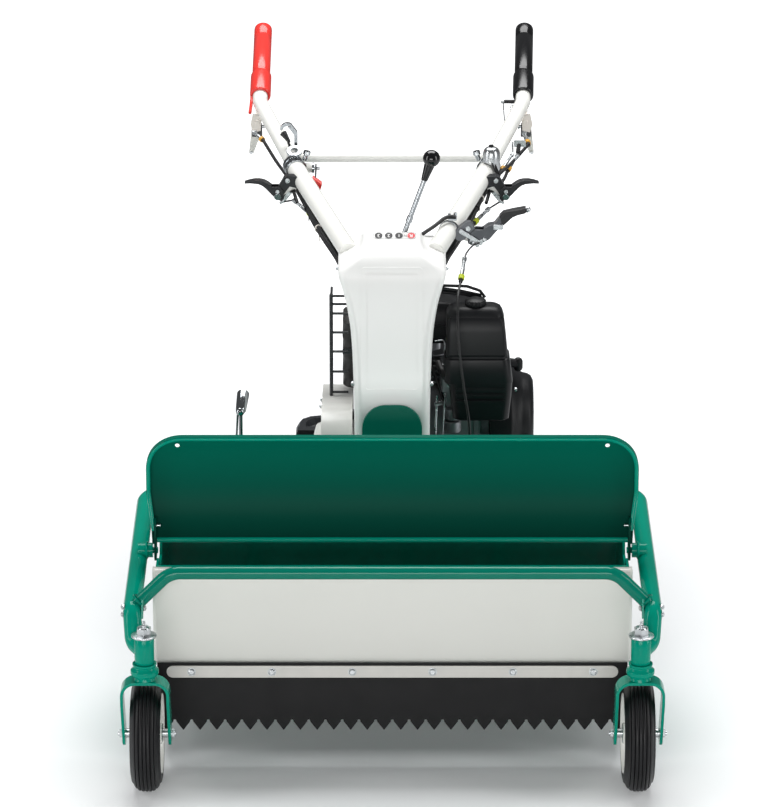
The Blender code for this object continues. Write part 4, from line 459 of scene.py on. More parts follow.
bm = bmesh.new()
sleeve_middle = (SLEEVE_LOW + SLEEVE_TOP) / 2 - 0.003
corner = (FRAME_X, FRAME_REAR - 0.060, FRAME_HIGH)
side_run = bent([(CASTER_X, PIVOT_Y, sleeve_middle),
                 (FRAME_X - 0.004, FRAME_FRONT - 0.020, sleeve_middle + 0.006),
                 (FRAME_X, FRAME_FRONT, FRAME_LOW), corner], 0.020)
rear_run = bent([(FRAME_X, FRAME_REAR - 0.120, FRAME_HIGH - 0.004), corner,
                 (FRAME_X - 0.090, FRAME_REAR, FRAME_HIGH), (0, FRAME_REAR, FRAME_HIGH)], 0.050)
half_run = side_run[:-1] + rear_run[1:-1]
tube(bm, half_run + [Vector((-p.x, p.y, p.z)) for p in reversed(half_run)], FRAME_TUBE, 40)
for _, sign in SIDES:
    x = sign * CASTER_X
    spun(bm, [(0.0123, SLEEVE_LOW), (0.0180, SLEEVE_LOW), (0.0185, SLEEVE_LOW + 0.0006),
              (0.0185, SLEEVE_TOP - 0.0006), (0.0180, SLEEVE_TOP), (0.0123, SLEEVE_TOP)],
         (x, PIVOT_Y, 0), "Z", 48, ring=True)
    bead(bm, (x + sign * 0.009, PIVOT_Y + 0.017, sleeve_middle + 0.003), (sign * 0.4, 1, 0.1), 0.0150)
    ear = sign * 0.455
    rod(bm, (sign * FRAME_X, HINGE_Y, HINGE_Z), (ear, HINGE_Y, HINGE_Z), 0.014)
    bead(bm, (sign * (FRAME_X - 0.0165), HINGE_Y, HINGE_Z), (1, 0, 0), 0.0145, 0.0024)
    rod(bm, (ear, HINGE_Y, HINGE_Z), (sign * (DECK_HALF + 0.0008), HINGE_Y, HINGE_Z), 0.006)
    # small gusset where the guard bar's foot is bolted on
    slab(bm, [(-0.834, 0.338), (-0.800, 0.352), (-0.800, 0.374), (-0.822, 0.372)],
         *sorted((sign * (FRAME_X - 0.021), sign * (FRAME_X - 0.017))))
lug_x, lug_z = -0.298, FRAME_HIGH + FRAME_TUBE + 0.016
slab(bm, [(FRAME_REAR - 0.012, FRAME_HIGH), (FRAME_REAR + 0.012, FRAME_HIGH)]
     + arc((FRAME_REAR, lug_z), 0.011, 0, 180, 12), lug_x - 0.014, lug_x - 0.007)
piece("frame_tube", bm, green_enamel, "chassis", ["side_frame"], 40, edge=0.0006)

bm = bmesh.new()
rod(bm, (lug_x - 0.016, FRAME_REAR, lug_z), (lug_x + 0.010, FRAME_REAR, lug_z), 0.005)
bolt(bm, (lug_x - 0.014, FRAME_REAR, lug_z), (-1, 0, 0), 0.007)
for _, sign in SIDES:
    x = sign * FRAME_X
    for y, z, size in ((-0.822, 0.357, 0.0058), (-0.829, 0.345, 0.0058)):
        bolt(bm, (x + sign * 0.0155, y, z), (sign, -0.35, 0.25), size, 0.01)
    bolt(bm, (x - sign * 0.021, -0.8175, 0.3530), (-sign, -0.5, 0.2), 0.0060, 0.01)
    bolt(bm, (sign * (DECK_HALF + 0.003), HINGE_Y - 0.085, 0.352), (sign, 0, 0), 0.0075)
piece("frame_bolts", bm, zinc_plate, "chassis", edge=0.0004)


# Guard bar: a 25 mm tube across the front of the deck, its ends pressed flat where they
# are welded to the frame tube. Green enamel, with the overhead light along its top.

GUARD_Y, GUARD_Z, GUARD_HALF, GUARD_TUBE = -0.812, 0.421, 0.413, 0.0125
# The frame's enamel, glossier, so it mirrors the overhead light in one long line; its colour is painted a
# little darker than the frame's, as painted shade on the bar's face
bar_enamel = surface("bar_enamel", "007460", 0.08, grain_mm=4, depth_mm=0.02, haze=0.01,
                     Specular_IOR_Level=0.22)
bm = bmesh.new()
foot = (FRAME_X - 0.004, GUARD_Y, FRAME_LOW + 0.004)
tube(bm,
     bent([(-foot[0], foot[1], foot[2]), (-GUARD_HALF, GUARD_Y, GUARD_Z), (GUARD_HALF, GUARD_Y, GUARD_Z),
           foot], 0.050, 12), GUARD_TUBE, 40)
for vert in bm.verts:
    # the ends are pressed flatter toward the frame tube
    near = 1 - min(1, max(0, (0.462 - abs(vert.co.x)) / 0.035))
    vert.co.y = foot[1] + (vert.co.y - foot[1]) * (1 - 0.35 * near)
for _, sign in SIDES:
    bead(bm, (sign * (FRAME_X - 0.0135), GUARD_Y, FRAME_LOW + 0.017), (sign * 0.65, 0, -0.75), 0.0125, 0.0024)
piece("guard", bm, bar_enamel, "chassis", ["guard_bar"], 40)


# Deck: folded steel sides and shroud, welded up and enamelled green. The white pressed
# panel is hung on its front, and the toothed rubber flap is clamped below by a zinc strip.

DECK_FRONT, DECK_PLATE, PANEL_LOW, PANEL_TOP = -0.714, 0.005, 0.2057, 0.389
FIT = 0.0003
# Pressed aluminium flat: pale grey with fine marks along its length
flat_bar = surface("flat_bar", "CBC9C4", 0.40, 0.3, grain_mm=1.5, depth_mm=0.02, patch_mm=30, patch=0.08,
                   stretch=(0.05, 1, 1))
# Cured rubber sheet: soft black, dusted a little grey
sheet_rubber = surface("sheet_rubber", "141415", 0.52, grain_mm=0.8, depth_mm=0.04, patch_mm=40, patch=0.2,
                       haze=0.08, Specular_IOR_Level=0.25)
# The same white enamel as the wheels', painted greyer on the pressed panel as painted shade on its upright
# face
sheet_enamel = surface("sheet_enamel", "DADAD4", 0.28, grain_mm=4, depth_mm=0.03, patch=0, haze=0)


def from_frame(node, finish, edge=0.001, body="chassis", name=None):
    """A copy of a CAD node with its flats cleaned up and its edges rounded."""
    bm = bmesh.new()
    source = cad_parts[node]
    bm.from_mesh(source.data)
    bm.transform(source.matrix_world)
    bmesh.ops.remove_doubles(bm, verts=bm.verts, dist=2e-5)
    bmesh.ops.dissolve_limit(bm, angle_limit=radians(1.5), verts=bm.verts, edges=bm.edges)
    return piece(name or node + "_skin", bm, finish, body, [node], 25, edge)


from_frame("deck_shell", green_enamel, 0.0012)

back = DECK_FRONT - FIT
face = back - 0.016
half = DECK_HALF + FIT + 0.0025
rise = PANEL_TOP - PANEL_LOW - 0.014
line = [(back - 0.0045, PANEL_LOW), (face + 0.004, PANEL_LOW + 0.008), (face, PANEL_LOW + 0.014)]
line += [(face - 0.012 * sin(pi * i / 24) * (1 - i / 24), PANEL_LOW + 0.014 + rise * i / 24)
         for i in range(1, 24)]
line += [(face, PANEL_TOP - 0.001), (face + 0.0016, PANEL_TOP + 0.0022), (face + 0.005, PANEL_TOP + 0.0036),
         (face + 0.014, PANEL_TOP + 0.004)]
bm = bmesh.new()
rows = []
for y, z in line:
    share = min(1, (z - PANEL_LOW) / 0.03, (PANEL_TOP + 0.004 - z) / 0.02)
    rear = max(y + 0.0062, back + 0.001 + 0.044 * max(0, share))
    plan = [(half, rear)] + [(a, b) for a, b in arc((half - 0.006, y + 0.006), 0.006, 0, -90, 5)]
    plan += [(half - 0.006 - i * (half - 0.006) / 10, y) for i in range(1, 11)]
    plan += [(-a, b) for a, b in plan[-2::-1]]
    rows.append([bm.verts.new((a, b, z)) for a, b in plan])
for low, high in zip(rows, rows[1:]):
    for i in range(len(low) - 1):
        bm.faces.new((low[i], low[i + 1], high[i + 1], high[i]))
panel = piece("panel", bm, sheet_enamel, "chassis", ["front_panel"], 50)
thicken = panel.modifiers.new("sheet", "SOLIDIFY")
thicken.thickness = 0.0025
thicken.offset = -1 if panel.data.polygons[0].normal.y < 0 else 1

TEETH, FLAP_LOW, TOOTH = 28, 0.0645, 0.022
pitch = 2 * DECK_HALF / TEETH
outline = [(DECK_HALF, PANEL_LOW - 0.003), (-DECK_HALF, PANEL_LOW - 0.003), (-DECK_HALF, FLAP_LOW + TOOTH)]
for i in range(TEETH):
    x = -DECK_HALF + i * pitch
    outline += [(x + pitch / 2 - 0.0012, FLAP_LOW + 0.0012), (x + pitch / 2, FLAP_LOW),
                (x + pitch / 2 + 0.0012, FLAP_LOW + 0.0012)]
    if i < TEETH - 1:
        outline += arc((x + pitch, FLAP_LOW + TOOTH - 0.003), 0.0030, 205, -25, 6)
outline.append((DECK_HALF, FLAP_LOW + TOOTH))
bm = bmesh.new()
slab(bm, outline, back - 0.005, back, "Y")
piece("flap", bm, sheet_rubber, "chassis", ["rubber_flap"], edge=0.0007)

low, high = PANEL_LOW - 0.0322, PANEL_LOW - 0.0085
reach, middle = DECK_HALF - 0.018, (low + high) / 2
outline = arc((reach - 0.012, middle), 0.012, -90, 90, 16) + arc((0.012 - reach, middle), 0.012, 90, 270, 16)
front = back - 0.0053 - 0.003
bm = bmesh.new()
slab(bm, outline, front, back - 0.0053, "Y")
piece("strip", bm, flat_bar, "chassis", ["flap_strip"], edge=0.0006)
bm = bmesh.new()
for i in range(6):
    x = -0.3795 + i * 0.1518
    rod(bm, (x, front + 0.001, middle), (x, front - 0.0009, middle), 0.0082, 28)
    for start, end, wide, tip in ((0, 0.0016, 0.0066, 0.0062), (0.0016, 0.003, 0.0062, 0.0045)):
        rod(bm, (x, front - 0.0009 - start, middle), (x, front - 0.0009 - end, middle), wide, 28, tip)
piece("strip_screws", bm, zinc_plate, "chassis", edge=0.0003)


# Rotor: a steel tube with stub shafts, pairs of welded lugs, and a forged hammer knife
# hung on a pin in each pair. Bare steel, dark from the forge and polished by the grass.

ROTOR_Y, ROTOR_Z, ROTOR_TUBE = -0.530, 0.175, 0.032
KNIVES, KNIFE_TURN = 14, 135
# Forged steel: dark scale, worn bright in patches
forged = surface("forged_steel", "5E5D5A", 0.46, 0.85, grain_mm=1.5, depth_mm=0.08, patch_mm=18, patch=0.25,
                 haze=0.12)
inner = DECK_HALF - DECK_PLATE
reach = inner - 0.018
bm = bmesh.new()
spun(bm, [(0, 0.001 - inner), (0.015, 0.001 - inner), (0.015, -reach), (0.030, -reach),
          (ROTOR_TUBE, 0.002 - reach), (ROTOR_TUBE, reach - 0.002), (0.030, reach), (0.015, reach),
          (0.015, inner - 0.001), (0, inner - 0.001)], (0, ROTOR_Y, ROTOR_Z), steps=48)
root = ROTOR_Z + ROTOR_TUBE - 0.003
pin, tip = root + 0.026, ROTOR_Z + 0.138
for i in range(KNIVES):
    x = 0.025 - reach + i * (2 * reach - 0.05) / (KNIVES - 1)
    made = bmesh.new()
    for out in (-1, 1):
        slab(made, [(ROTOR_Y - 0.014, root), (ROTOR_Y + 0.014, root)] + arc((ROTOR_Y, pin), 0.010, 0, 180,
                                                                            10), x + out * 0.008 - 0.003,
             x + out * 0.008 + 0.003)
    rod(made, (x - 0.014, ROTOR_Y, pin), (x + 0.014, ROTOR_Y, pin), 0.005, 20)
    rod(made, (x + 0.011, ROTOR_Y, pin), (x + 0.015, ROTOR_Y, pin), 0.008, 6)
    edge_line = [(0.006, tip - 0.040), (0.0085, tip - 0.020), (0.0165, tip - 0.003), (0.0165, tip)]
    slab(made, [(x - 0.0045, pin - 0.007), (x + 0.0045, pin - 0.007)] + [(x + a, b) for a, b in edge_line]
         + [(x - a, b) for a, b in reversed(edge_line)], ROTOR_Y - 0.004, ROTOR_Y + 0.004, "Y")
    centre = Matrix.Translation((0, ROTOR_Y, ROTOR_Z))
    joined(bm, made, centre @ Matrix.Rotation(radians(KNIFE_TURN * i), 4, "X") @ centre.inverted())
piece("rotor", bm, forged, "rotor", ["flail_rotor"], edge=0.0006)


# Hood: a pressed sheet lid with two long creases, its edge turned forward all round, on an
# ear and a pin each side. The two small holes near its top corners are for hanging it up.

HOOD_HALF, HOOD_TOP, SHEET, RIM = 0.467, 0.610, 0.0025, 0.016
# The same enamel as the frame's, less glossy inside the lid; its colour is painted darker than the frame's as
# painted shade inside the lid, and it darkens further toward its foot as painted shade
hood_enamel = surface("hood_enamel", "006452", 0.38, grain_mm=5, depth_mm=0.03, patch=0, haze=0,
                      fade=(0.415, 0.600, 0.30), Specular_IOR_Level=0.03)


def smooth_path(points, count=24):
    """Points along a smooth curve through the route."""
    points = [Vector(p) for p in points]
    ends = [points[0] * 2 - points[1], *points, points[-1] * 2 - points[-2]]
    path = []
    for k in range(count + 1):
        place = k / count * (len(points) - 1)
        i = min(int(place), len(points) - 2)
        t = place - i
        a, b, c, d = ends[i:i + 4]
        path.append((b * 2 + (c - a) * t + (a * 2 - b * 5 + c * 4 - d) * t * t
                     + (b * 3 - a - c * 3 + d) * t * t * t) / 2)
    return path


line = [(p.y, p.z) for p in smooth_path([(0, -0.600, 0.403), (0, -0.575, 0.453), (0, -0.564, 0.505),
                                         (0, -0.565, 0.566), (0, -0.580, 0.610)], 24)]
foot = HOOD_HALF - 0.016


def thick(points, thickness):
    """The outline of a bent sheet: the line, and the line moved sideways."""
    points = [Vector(p) for p in points]
    moved = []
    for i, point in enumerate(points):
        along = (points[min(i + 1, len(points) - 1)] - points[max(i - 1, 0)]).normalized()
        moved.append(point + Vector((-along.y, along.x)) * thickness)
    return [tuple(p) for p in points + moved[::-1]]


def hood_edge(inset):
    """The lid seen from the front, (x, z) from foot to foot."""
    reach, corner = HOOD_HALF - inset, 0.070 - inset
    right = arc((reach - corner, HOOD_TOP - inset - corner), corner, 90, 0, 16)
    right += [(reach, 0.495), (foot - inset + 0.006, 0.425), (foot - inset, 0.355)]
    return [(-x, z) for x, z in reversed(right)] + right


def block_of(outline, low, high, axis="X"):
    """A slab by itself, to cut or join with."""
    made = bmesh.new()
    slab(made, outline, low, high, axis)
    return made


def bored(bm, *hole):
    """The bmesh with a round hole, given as the rod that fills it."""
    made = bmesh.new()
    rod(made, *hole)
    return shaped(bm, "DIFFERENCE", made)


sheet = shaped(block_of(thick(line, SHEET), -0.48, 0.48), "INTERSECT",
               block_of(hood_edge(0), -0.7, -0.5, "Y"))
ring = shaped(block_of(hood_edge(0), -0.7, -0.5, "Y"), "DIFFERENCE",
              block_of(hood_edge(0.003), -0.75, -0.45, "Y"))
band = [(y - RIM, z) for y, z in line] + [(line[-1][0] - RIM, 0.62), (line[-1][0], 0.62)] + line[::-1]
ring = shaped(ring, "INTERSECT", block_of(band, -0.48, 0.48))
bm = shaped(sheet, "UNION", ring)
for sign in (-1, 1):
    bm = shaped(bm, "DIFFERENCE", block_of(arc((sign * 0.407, HOOD_TOP - 0.024), 0.0045, 0, 345, 23), -0.7,
                                           -0.5, "Y"))
for _, sign in SIDES:
    ear = (arc((HINGE_Y, HINGE_Z), 0.020, 180, 350, 14) + arc((HINGE_Y + 0.008, HINGE_Z + 0.050), 0.014, 0,
                                                              170, 10))
    slab(bm, ear, *sorted((sign * (DECK_HALF + 0.0035), sign * (foot + 0.001))))
piece("hood_lid", bm, hood_enamel, "hood", ["hood"], edge=0.0007)
rim = []
for x, z in hood_edge(0.0042):
    below = [p for p in line if p[1] <= z]
    above = [p for p in line if p[1] > z]
    if below and above:
        (y0, z0), (y1, z1) = below[-1], above[0]
        rim.append((x, y0 + (y1 - y0) * (z - z0) / (z1 - z0) - RIM + 0.002, z))
# The rim and the hem below are in the frame's enamel, without the lid's painted shade
cord("hood_rim", green_enamel, (rim, 0.0040, 16), body="hood")
bm = bmesh.new()
rod(bm, (0.004 - foot, -0.601, 0.406), (foot - 0.004, -0.601, 0.406), 0.005)
piece("hood_hem", bm, green_enamel, "hood")
bolts("hood_bolts", [((sign * (foot + 0.001), HINGE_Y + 0.006, HINGE_Z + 0.048), (sign, 0, 0), 0.0065, 0.012)
                     for _, sign in SIDES], "hood")


# Crawlers: an endless rubber belt with tread bars outside and guide horns inside, round a
# cast sprocket, an idler and two rollers. The belt is kept where it lies at rest.

TRACK_X, TRACK_HALF, BELT, FLOOR = 0.205, 0.075, 0.010, 0.028
SPROCKET_Y, SPROCKET_Z, SEAT = -0.170, 0.170, 0.080
IDLER_Y, IDLER_RADIUS, ROLLER, ROLLER_YS = 0.330, 0.075, 0.040, (-0.030, 0.150)
RUNNERS = [(SPROCKET_Y, SPROCKET_Z, SEAT), (ROLLER_YS[0], FLOOR + ROLLER, ROLLER),
           (IDLER_Y, FLOOR + IDLER_RADIUS, IDLER_RADIUS)]
# Crawler rubber: dull black, with soil dust dried into its grain
crawler_rubber = surface("crawler_rubber", "1E1D1C", 0.68, grain_mm=2.5, depth_mm=0.12, patch_mm=70,
                         patch=0.25, haze=0.10)
# Chassis paint: brushed black, a little thick at the corners
black_paint = surface("black_paint", "202225", 0.36, grain_mm=5, depth_mm=0.05, patch=0.12, haze=0.07)
# Sand-cast alloy: pale grey, pitted by the mould
cast_alloy = surface("cast_alloy", "8B8E91", 0.50, 0.8, grain_mm=1.6, depth_mm=0.14, patch_mm=22, patch=0.12,
                     haze=0.08)


def around(circles, grow=0.0, steps=24):
    """The tight outline round circles (a, b, radius), listed anticlockwise."""
    leans = []
    for (a, b, r), (c, d, s) in zip(circles, circles[1:] + circles[:1]):
        lean = (r - s) / hypot(c - a, d - b)
        leans.append(atan2(d - b, c - a) - pi / 2 + atan2(lean, (1 - lean * lean) ** 0.5))
    outline = []
    for i, (a, b, r) in enumerate(circles):
        start = leans[i - 1]
        swing = (leans[i] - start) % (2 * pi)
        turns = max(2, round(steps * swing / pi))
        outline += [(a + (r + grow) * cos(start + swing * k / turns),
                     b + (r + grow) * sin(start + swing * k / turns)) for k in range(turns + 1)]
    return outline


def toothed(outline, pitch, foot, top, height, shift=0.0):
    """The closed outline with a tooth each pitch, standing outward if the height is positive."""
    points = [Vector(p) for p in outline]
    ends = points[1:] + points[:1]
    spans = [(b - a).length for a, b in zip(points, ends)]
    total = sum(spans)
    count = round(total / pitch)
    step = total / count

    def at(distance):
        for a, b, span in zip(points, ends, spans):
            if distance <= span + 1e-9:
                along = (b - a) / span
                return a + along * distance, Vector((along.y, -along.x))
            distance -= span
        return points[0], Vector((0, 0))

    marks = [(sum(spans[:i]), p, Vector((0, 0))) for i, p in enumerate(points)]
    middles = [((k + 0.5) * step + shift) % total for k in range(count)]
    marks = [m for m in marks if all(abs((m[0] - c + total / 2) % total - total / 2) > foot / 2 + 1e-4
                                     for c in middles)]
    for middle in middles:
        for offset, lift in ((-foot / 2, 0), (-top / 2, height), (top / 2, height), (foot / 2, 0)):
            place, out = at((middle + offset) % total)
            marks.append(((middle + offset) % total, place + out * lift, out))
    return [tuple(p) for _, p, _ in sorted(marks, key=lambda m: m[0])]


for side, sign in SIDES:
    x = sign * TRACK_X
    tread = toothed(around(RUNNERS, BELT), 0.090, 0.030, 0.018, 0.018)
    bm = shaped(block_of(tread, x - TRACK_HALF, x + TRACK_HALF), "DIFFERENCE",
                block_of(around(RUNNERS), x - 0.1, x + 0.1))
    for offset in (-0.024, 0.024):
        comb = block_of(toothed(around(RUNNERS), 0.090, 0.026, 0.012, -0.014), x - 0.1, x + 0.1)
        bar = block_of(around(RUNNERS, BELT / 2), x + offset - 0.006, x + offset + 0.006)
        horns = shaped(bar, "DIFFERENCE", comb)
        bm = shaped(bm, "UNION", horns)
    piece(f"track_{side}", bm, crawler_rubber, "chassis", [f"rubber_track_{side}"],
          edge=0.0016)

    outline = []
    for i in range(9):
        for share, radius in ((0.02, 0.058), (0.20, 0.0575), (0.40, 0.058), (0.54, 0.068), (0.60, 0.0765),
                              (0.71, 0.0775), (0.82, 0.0765), (0.88, 0.068)):
            a = 2 * pi * (i + share) / 9
            outline.append((SPROCKET_Y + radius * cos(a), SPROCKET_Z + radius * sin(a)))
    bm = block_of(outline, x - 0.015, x + 0.015)
    spun(bm, [(0, 0.0), (0.020, 0.0), (0.020, 0.0600), (0.0325, 0.0605), (0.0325, 0.1075), (0.020, 0.1080),
              (0.020, 0.1140), (0, 0.1140)] if sign > 0 else
             [(0, -0.1140), (0.020, -0.1140), (0.020, -0.1080), (0.0325, -0.1075), (0.0325, -0.0605),
              (0.020, -0.0600), (0.020, 0.0), (0, 0.0)], (sign * 0.121, SPROCKET_Y, SPROCKET_Z), steps=40)
    for i in range(6):
        a = 2 * pi * i / 6
        bolt(bm, (x + sign * 0.015, SPROCKET_Y + 0.045 * cos(a), SPROCKET_Z + 0.045 * sin(a)), (sign, 0, 0),
             0.007)
    piece(f"sprocket_{side}", bm, cast_alloy, f"sprocket_{side}", [f"drive_sprocket_{side}"],
          edge=0.0012)
    wheels = [(f"idler_{side}", IDLER_Y, IDLER_RADIUS, 0.045, 0.010)]
    wheels += [(f"roller_{end}_{side}", y, ROLLER, 0.024, 0.008)
               for end, y in zip(("front", "rear"), ROLLER_YS)]
    for name, y, radius, hub, axle in wheels:
        bm = bmesh.new()
        face = radius - 0.0006
        half = [(hub, 0.034), (face - 0.001, 0.034), (face, 0.035), (face, 0.053), (face - 0.002, 0.055),
                (face - 0.008, 0.055), (face - 0.011, 0.051), (axle + 0.012, 0.051), (axle + 0.010, 0.055),
                (axle + 0.0008, 0.055)]
        spun(bm, [(r, -a) for r, a in reversed(half)] + half, (x, y, FLOOR + radius), steps=56, ring=True)
        node = f"idler_wheel_{side}" if y == IDLER_Y else f"track_{name}"
        piece(f"{name}_wheel", bm, black_paint, name, [node], 40)


# Chassis: rails, engine bed, cross members and a channel for each crawler, cut from plate
# and box section, welded and painted black. The axles are drawn up with zinc nuts.

from_frame("main_frame", black_paint, 0.0014)
bm = bmesh.new()
for _, sign in SIDES:
    x = sign * TRACK_X
    for y, z, size in [(IDLER_Y, FLOOR + IDLER_RADIUS, 0.012)] + [(y, FLOOR + ROLLER, 0.010)
                                                                  for y in ROLLER_YS]:
        for out in (-1, 1):
            bolt(bm, (x + out * 0.0655, y, z), (out, 0, 0), size)
    for y in (0.010, 0.190):
        bolt(bm, (sign * 0.1285, y, 0.270), (sign, 0, 0), 0.007)
    for y in (0.005, 0.215):
        bolt(bm, (0.065 + sign * 0.150, y, 0.2955), (0, 0, 1), 0.008)
piece("chassis_bolts", bm, zinc_plate, "chassis", edge=0.0004)


# Gear case: two alloy castings bolted together along a flange, with a housing for each
# axle, a filler plug on top and a drain plug below. Left as cast.

from_frame("transmission_case", cast_alloy, 0.0028)
bm = bmesh.new()
flange = [(-0.238, 0.150), (-0.238, 0.260), (-0.236, 0.370), (-0.075, 0.160), (-0.078, 0.255),
          (-0.082, 0.370)]
for y, z in flange:
    bolt(bm, (0.006, y, z), (1, 0, 0), 0.0058, 0.014)
rod(bm, (0.045, SPROCKET_Y - 0.066, 0.205), (0.045, SPROCKET_Y - 0.078, 0.205), 0.011, 6)
rod(bm, (0.030, SPROCKET_Y + 0.035, 0.399), (0.030, SPROCKET_Y + 0.035, 0.408), 0.012, 24)
piece("gear_case_bolts", bm, zinc_plate, "chassis", edge=0.0004)


# Engine: a cast crankcase with a finned cylinder and head, its carburettor on the left
# with a fuel hose, bright throttle rods and a plug lead. Bare castings with zinc fasteners.

CRANK_Y, CRANK_Z, BASE = 0.100, 0.415, 0.2960
# Rubber hose and sheathed wire: soft satin black
hose_rubber = surface("hose_rubber", "161618", 0.48, grain_mm=1, depth_mm=0.02, patch_mm=25, patch=0.1)


def rounded_box(low, high, radius, steps=6):
    """The outline of a rectangle with rounded corners."""
    (a, b), (c, d) = low, high
    corners = ((c - radius, d - radius, 0), (a + radius, d - radius, 90), (a + radius, b + radius, 180),
               (c - radius, b + radius, 270))
    return [p for x, y, turn in corners for p in arc((x, y), radius, turn, turn + 90, steps)]


def loft(bm, sections):
    """A closed skin through sections that have as many points each."""
    rings = [[bm.verts.new(p) for p in section] for section in sections]
    for low, high in zip(rings, rings[1:]):
        for i in range(len(low)):
            bm.faces.new((low[i - 1], low[i], high[i], high[i - 1]))
    bm.faces.new(rings[0][::-1])
    bm.faces.new(rings[-1])


bm = bmesh.new()
case_line = around([(CRANK_Y, CRANK_Z, 0.088), (CRANK_Y - 0.080, BASE + 0.020, 0.020),
                    (CRANK_Y + 0.095, BASE + 0.020, 0.020)])
slab(bm, case_line, -0.060, 0.180)
for low, high in ((-0.0605, -0.052), (0.066, 0.072), (0.166, 0.1755)):
    slab(bm, around([(CRANK_Y, CRANK_Z, 0.088), (CRANK_Y - 0.080, BASE + 0.022, 0.022),
                     (CRANK_Y + 0.095, BASE + 0.022, 0.022)], 0.0035 if high < 0.17 else 0.0022), low, high)
for i in range(6):
    z = CRANK_Z + 0.085 + i * 0.0115
    slab(bm, rounded_box((-0.008, 0.048), (0.112, 0.162), 0.022), z, z + 0.004, "Z")
rod(bm, (0.052, CRANK_Y, 0.465), (0.052, CRANK_Y, 0.570), 0.043, 48)
slab(bm, rounded_box((0.004, 0.055), (0.100, 0.150), 0.014), 0.569, 0.5945, "Z")
slab(bm, rounded_box((0.020, 0.070), (0.084, 0.136), 0.016), 0.5755, 0.5948, "Z")
for low, high in (((-0.030, 0.082, 0.539), (0.020, 0.118, 0.567)),
                  ((0.098, -0.0615, 0.517), (0.150, 0.070, 0.557)),
                  ((0.104, -0.046, 0.435), (0.140, 0.040, 0.549))):
    slab(bm, rounded_box(low[:2], high[:2], 0.007), low[2], high[2], "Z")
spun(bm, [(0, 0.170), (0.080, 0.170), (0.0905, 0.1975), (0, 0.1975)], (0, CRANK_Y, CRANK_Z), steps=64)
spun(bm, [(0.0125, -0.0600), (0.040, -0.0600), (0.042, -0.0580), (0.042, -0.050), (0.0125, -0.050)],
     (0, CRANK_Y, CRANK_Z), steps=48, ring=True)
for place in ((0.122, -0.020, 0.470), (0.122, -0.020, 0.443)):
    spun(bm, [(0, -0.012), (0.0155, -0.012), (0.0175, -0.009), (0.0175, 0.010), (0.0155, 0.012), (0, 0.012)],
         (place[0], -0.050, place[2]), "Z", 32)
piece("engine_casting", bm, cast_alloy, "chassis", ["engine_block"], 38, edge=0.0009)

bm = bmesh.new()
for a in range(0, 360, 45):
    y, z = CRANK_Y + 0.079 * cos(radians(a)), CRANK_Z + 0.079 * sin(radians(a))
    if z > BASE + 0.03:
        bolt(bm, (-0.0605, y, z), (-1, 0, 0), 0.0055)
for x, y in ((0.012, 0.063), (0.092, 0.063), (0.012, 0.142), (0.092, 0.142)):
    rod(bm, (x, y, 0.5690), (x, y, 0.5948), 0.0062, 6)
for path, thickness in (([(0.0905, -0.078, 0.517), (0.0890, -0.080, 0.480), (0.0870, -0.078, 0.432),
                          (0.086, -0.050, 0.405)], 0.0024),
                        ([(0.1068, -0.062, 0.516), (0.1045, -0.064, 0.470), (0.1020, -0.062, 0.430),
                          (0.100, -0.040, 0.402)], 0.0017),
                        ([(0.086, -0.060, 0.626), (0.1035, -0.060, 0.626), (0.1055, -0.055, 0.600)], 0.0013),
                        ([(0.0985, -0.060, 0.5765), (0.1040, -0.060, 0.5730), (0.104, -0.055, 0.557)],
                         0.0016)):
    tube(bm, smooth_path(path, 16), thickness, 12)
rod(bm, (0.086, -0.082, 0.499), (0.101, -0.076, 0.500), 0.0042, 16)
bolt(bm, (0.1300, -0.0800, 0.5390), (0, -1, 0.2), 0.0060, 0.02)
bolt(bm, (0.1400, -0.0500, 0.5300), (0, -1, 0.2), 0.0060)
rod(bm, (0.116, -0.0615, 0.5370), (0.116, -0.075, 0.5370), 0.0050, 24)
piece("engine_hardware", bm, zinc_plate, "chassis", edge=0.0003)

bm = bmesh.new()
tube(bm, smooth_path([(0.094, -0.046, 0.575), (0.1020, -0.078, 0.5640), (0.1190, -0.084, 0.5440),
                      (0.1370, -0.078, 0.5140), (0.139, -0.050, 0.486)]), 0.0072, 24)
tube(bm,
     smooth_path([(0.052, 0.048, 0.586), (0.048, 0.020, 0.590), (0.030, 0.006, 0.560),
                  (0.020, 0.010, 0.520)]), 0.0036, 16)
rod(bm, (0.052, 0.056, 0.583), (0.052, 0.036, 0.590), 0.0085, 24, 0.0065)
piece("engine_hoses", bm, hose_rubber, "chassis")
fuel_run = [(0.060, 0.006, 0.601), (0.070, -0.006, 0.580), (0.088, -0.030, 0.540), (0.108, -0.046, 0.480)]
cord("fuel_line", hose_rubber, (smooth_path(fuel_run), 0.0032, 16))


# Recoil starter: a moulded black dome with a ring of slots over the fan, and its handle
# on the cord's end, held up against the spout by the spring.

# Moulded nylon: dark, lightly textured by the mould
black_plastic = surface("black_plastic", "17181A", 0.40, grain_mm=0.9, depth_mm=0.05, patch_mm=90, patch=0.06,
                        Specular_IOR_Level=0.22)
start = 0.1983
bm = bmesh.new()
spun(bm, [(0, 0), (0.104, 0), (0.105, 0.001), (0.105, 0.0435), (0.1035, 0.0475), (0.0955, 0.0560),
          (0.0900, 0.0640), (0.0872, 0.0700), (0.0850, 0.0800), (0.0805, 0.0870), (0.0720, 0.0912),
          (0.0320, 0.0920), (0.0295, 0.0900), (0.0265, 0.0840), (0, 0.0835)], (start, CRANK_Y, CRANK_Z),
     steps=96)
for i in range(24):
    if i % 3 == 2:
        continue
    a = 2 * pi * (i + 0.5) / 24
    centre = Matrix.Translation((0, CRANK_Y, CRANK_Z))
    made = block_of(rounded_box((CRANK_Y - 0.0035, CRANK_Z + 0.052), (CRANK_Y + 0.0035, CRANK_Z + 0.072),
                                0.003, 3), start + 0.075, start + 0.100)
    made.transform(centre @ Matrix.Rotation(a, 4, "X") @ centre.inverted())
    bm = shaped(bm, "DIFFERENCE", made)
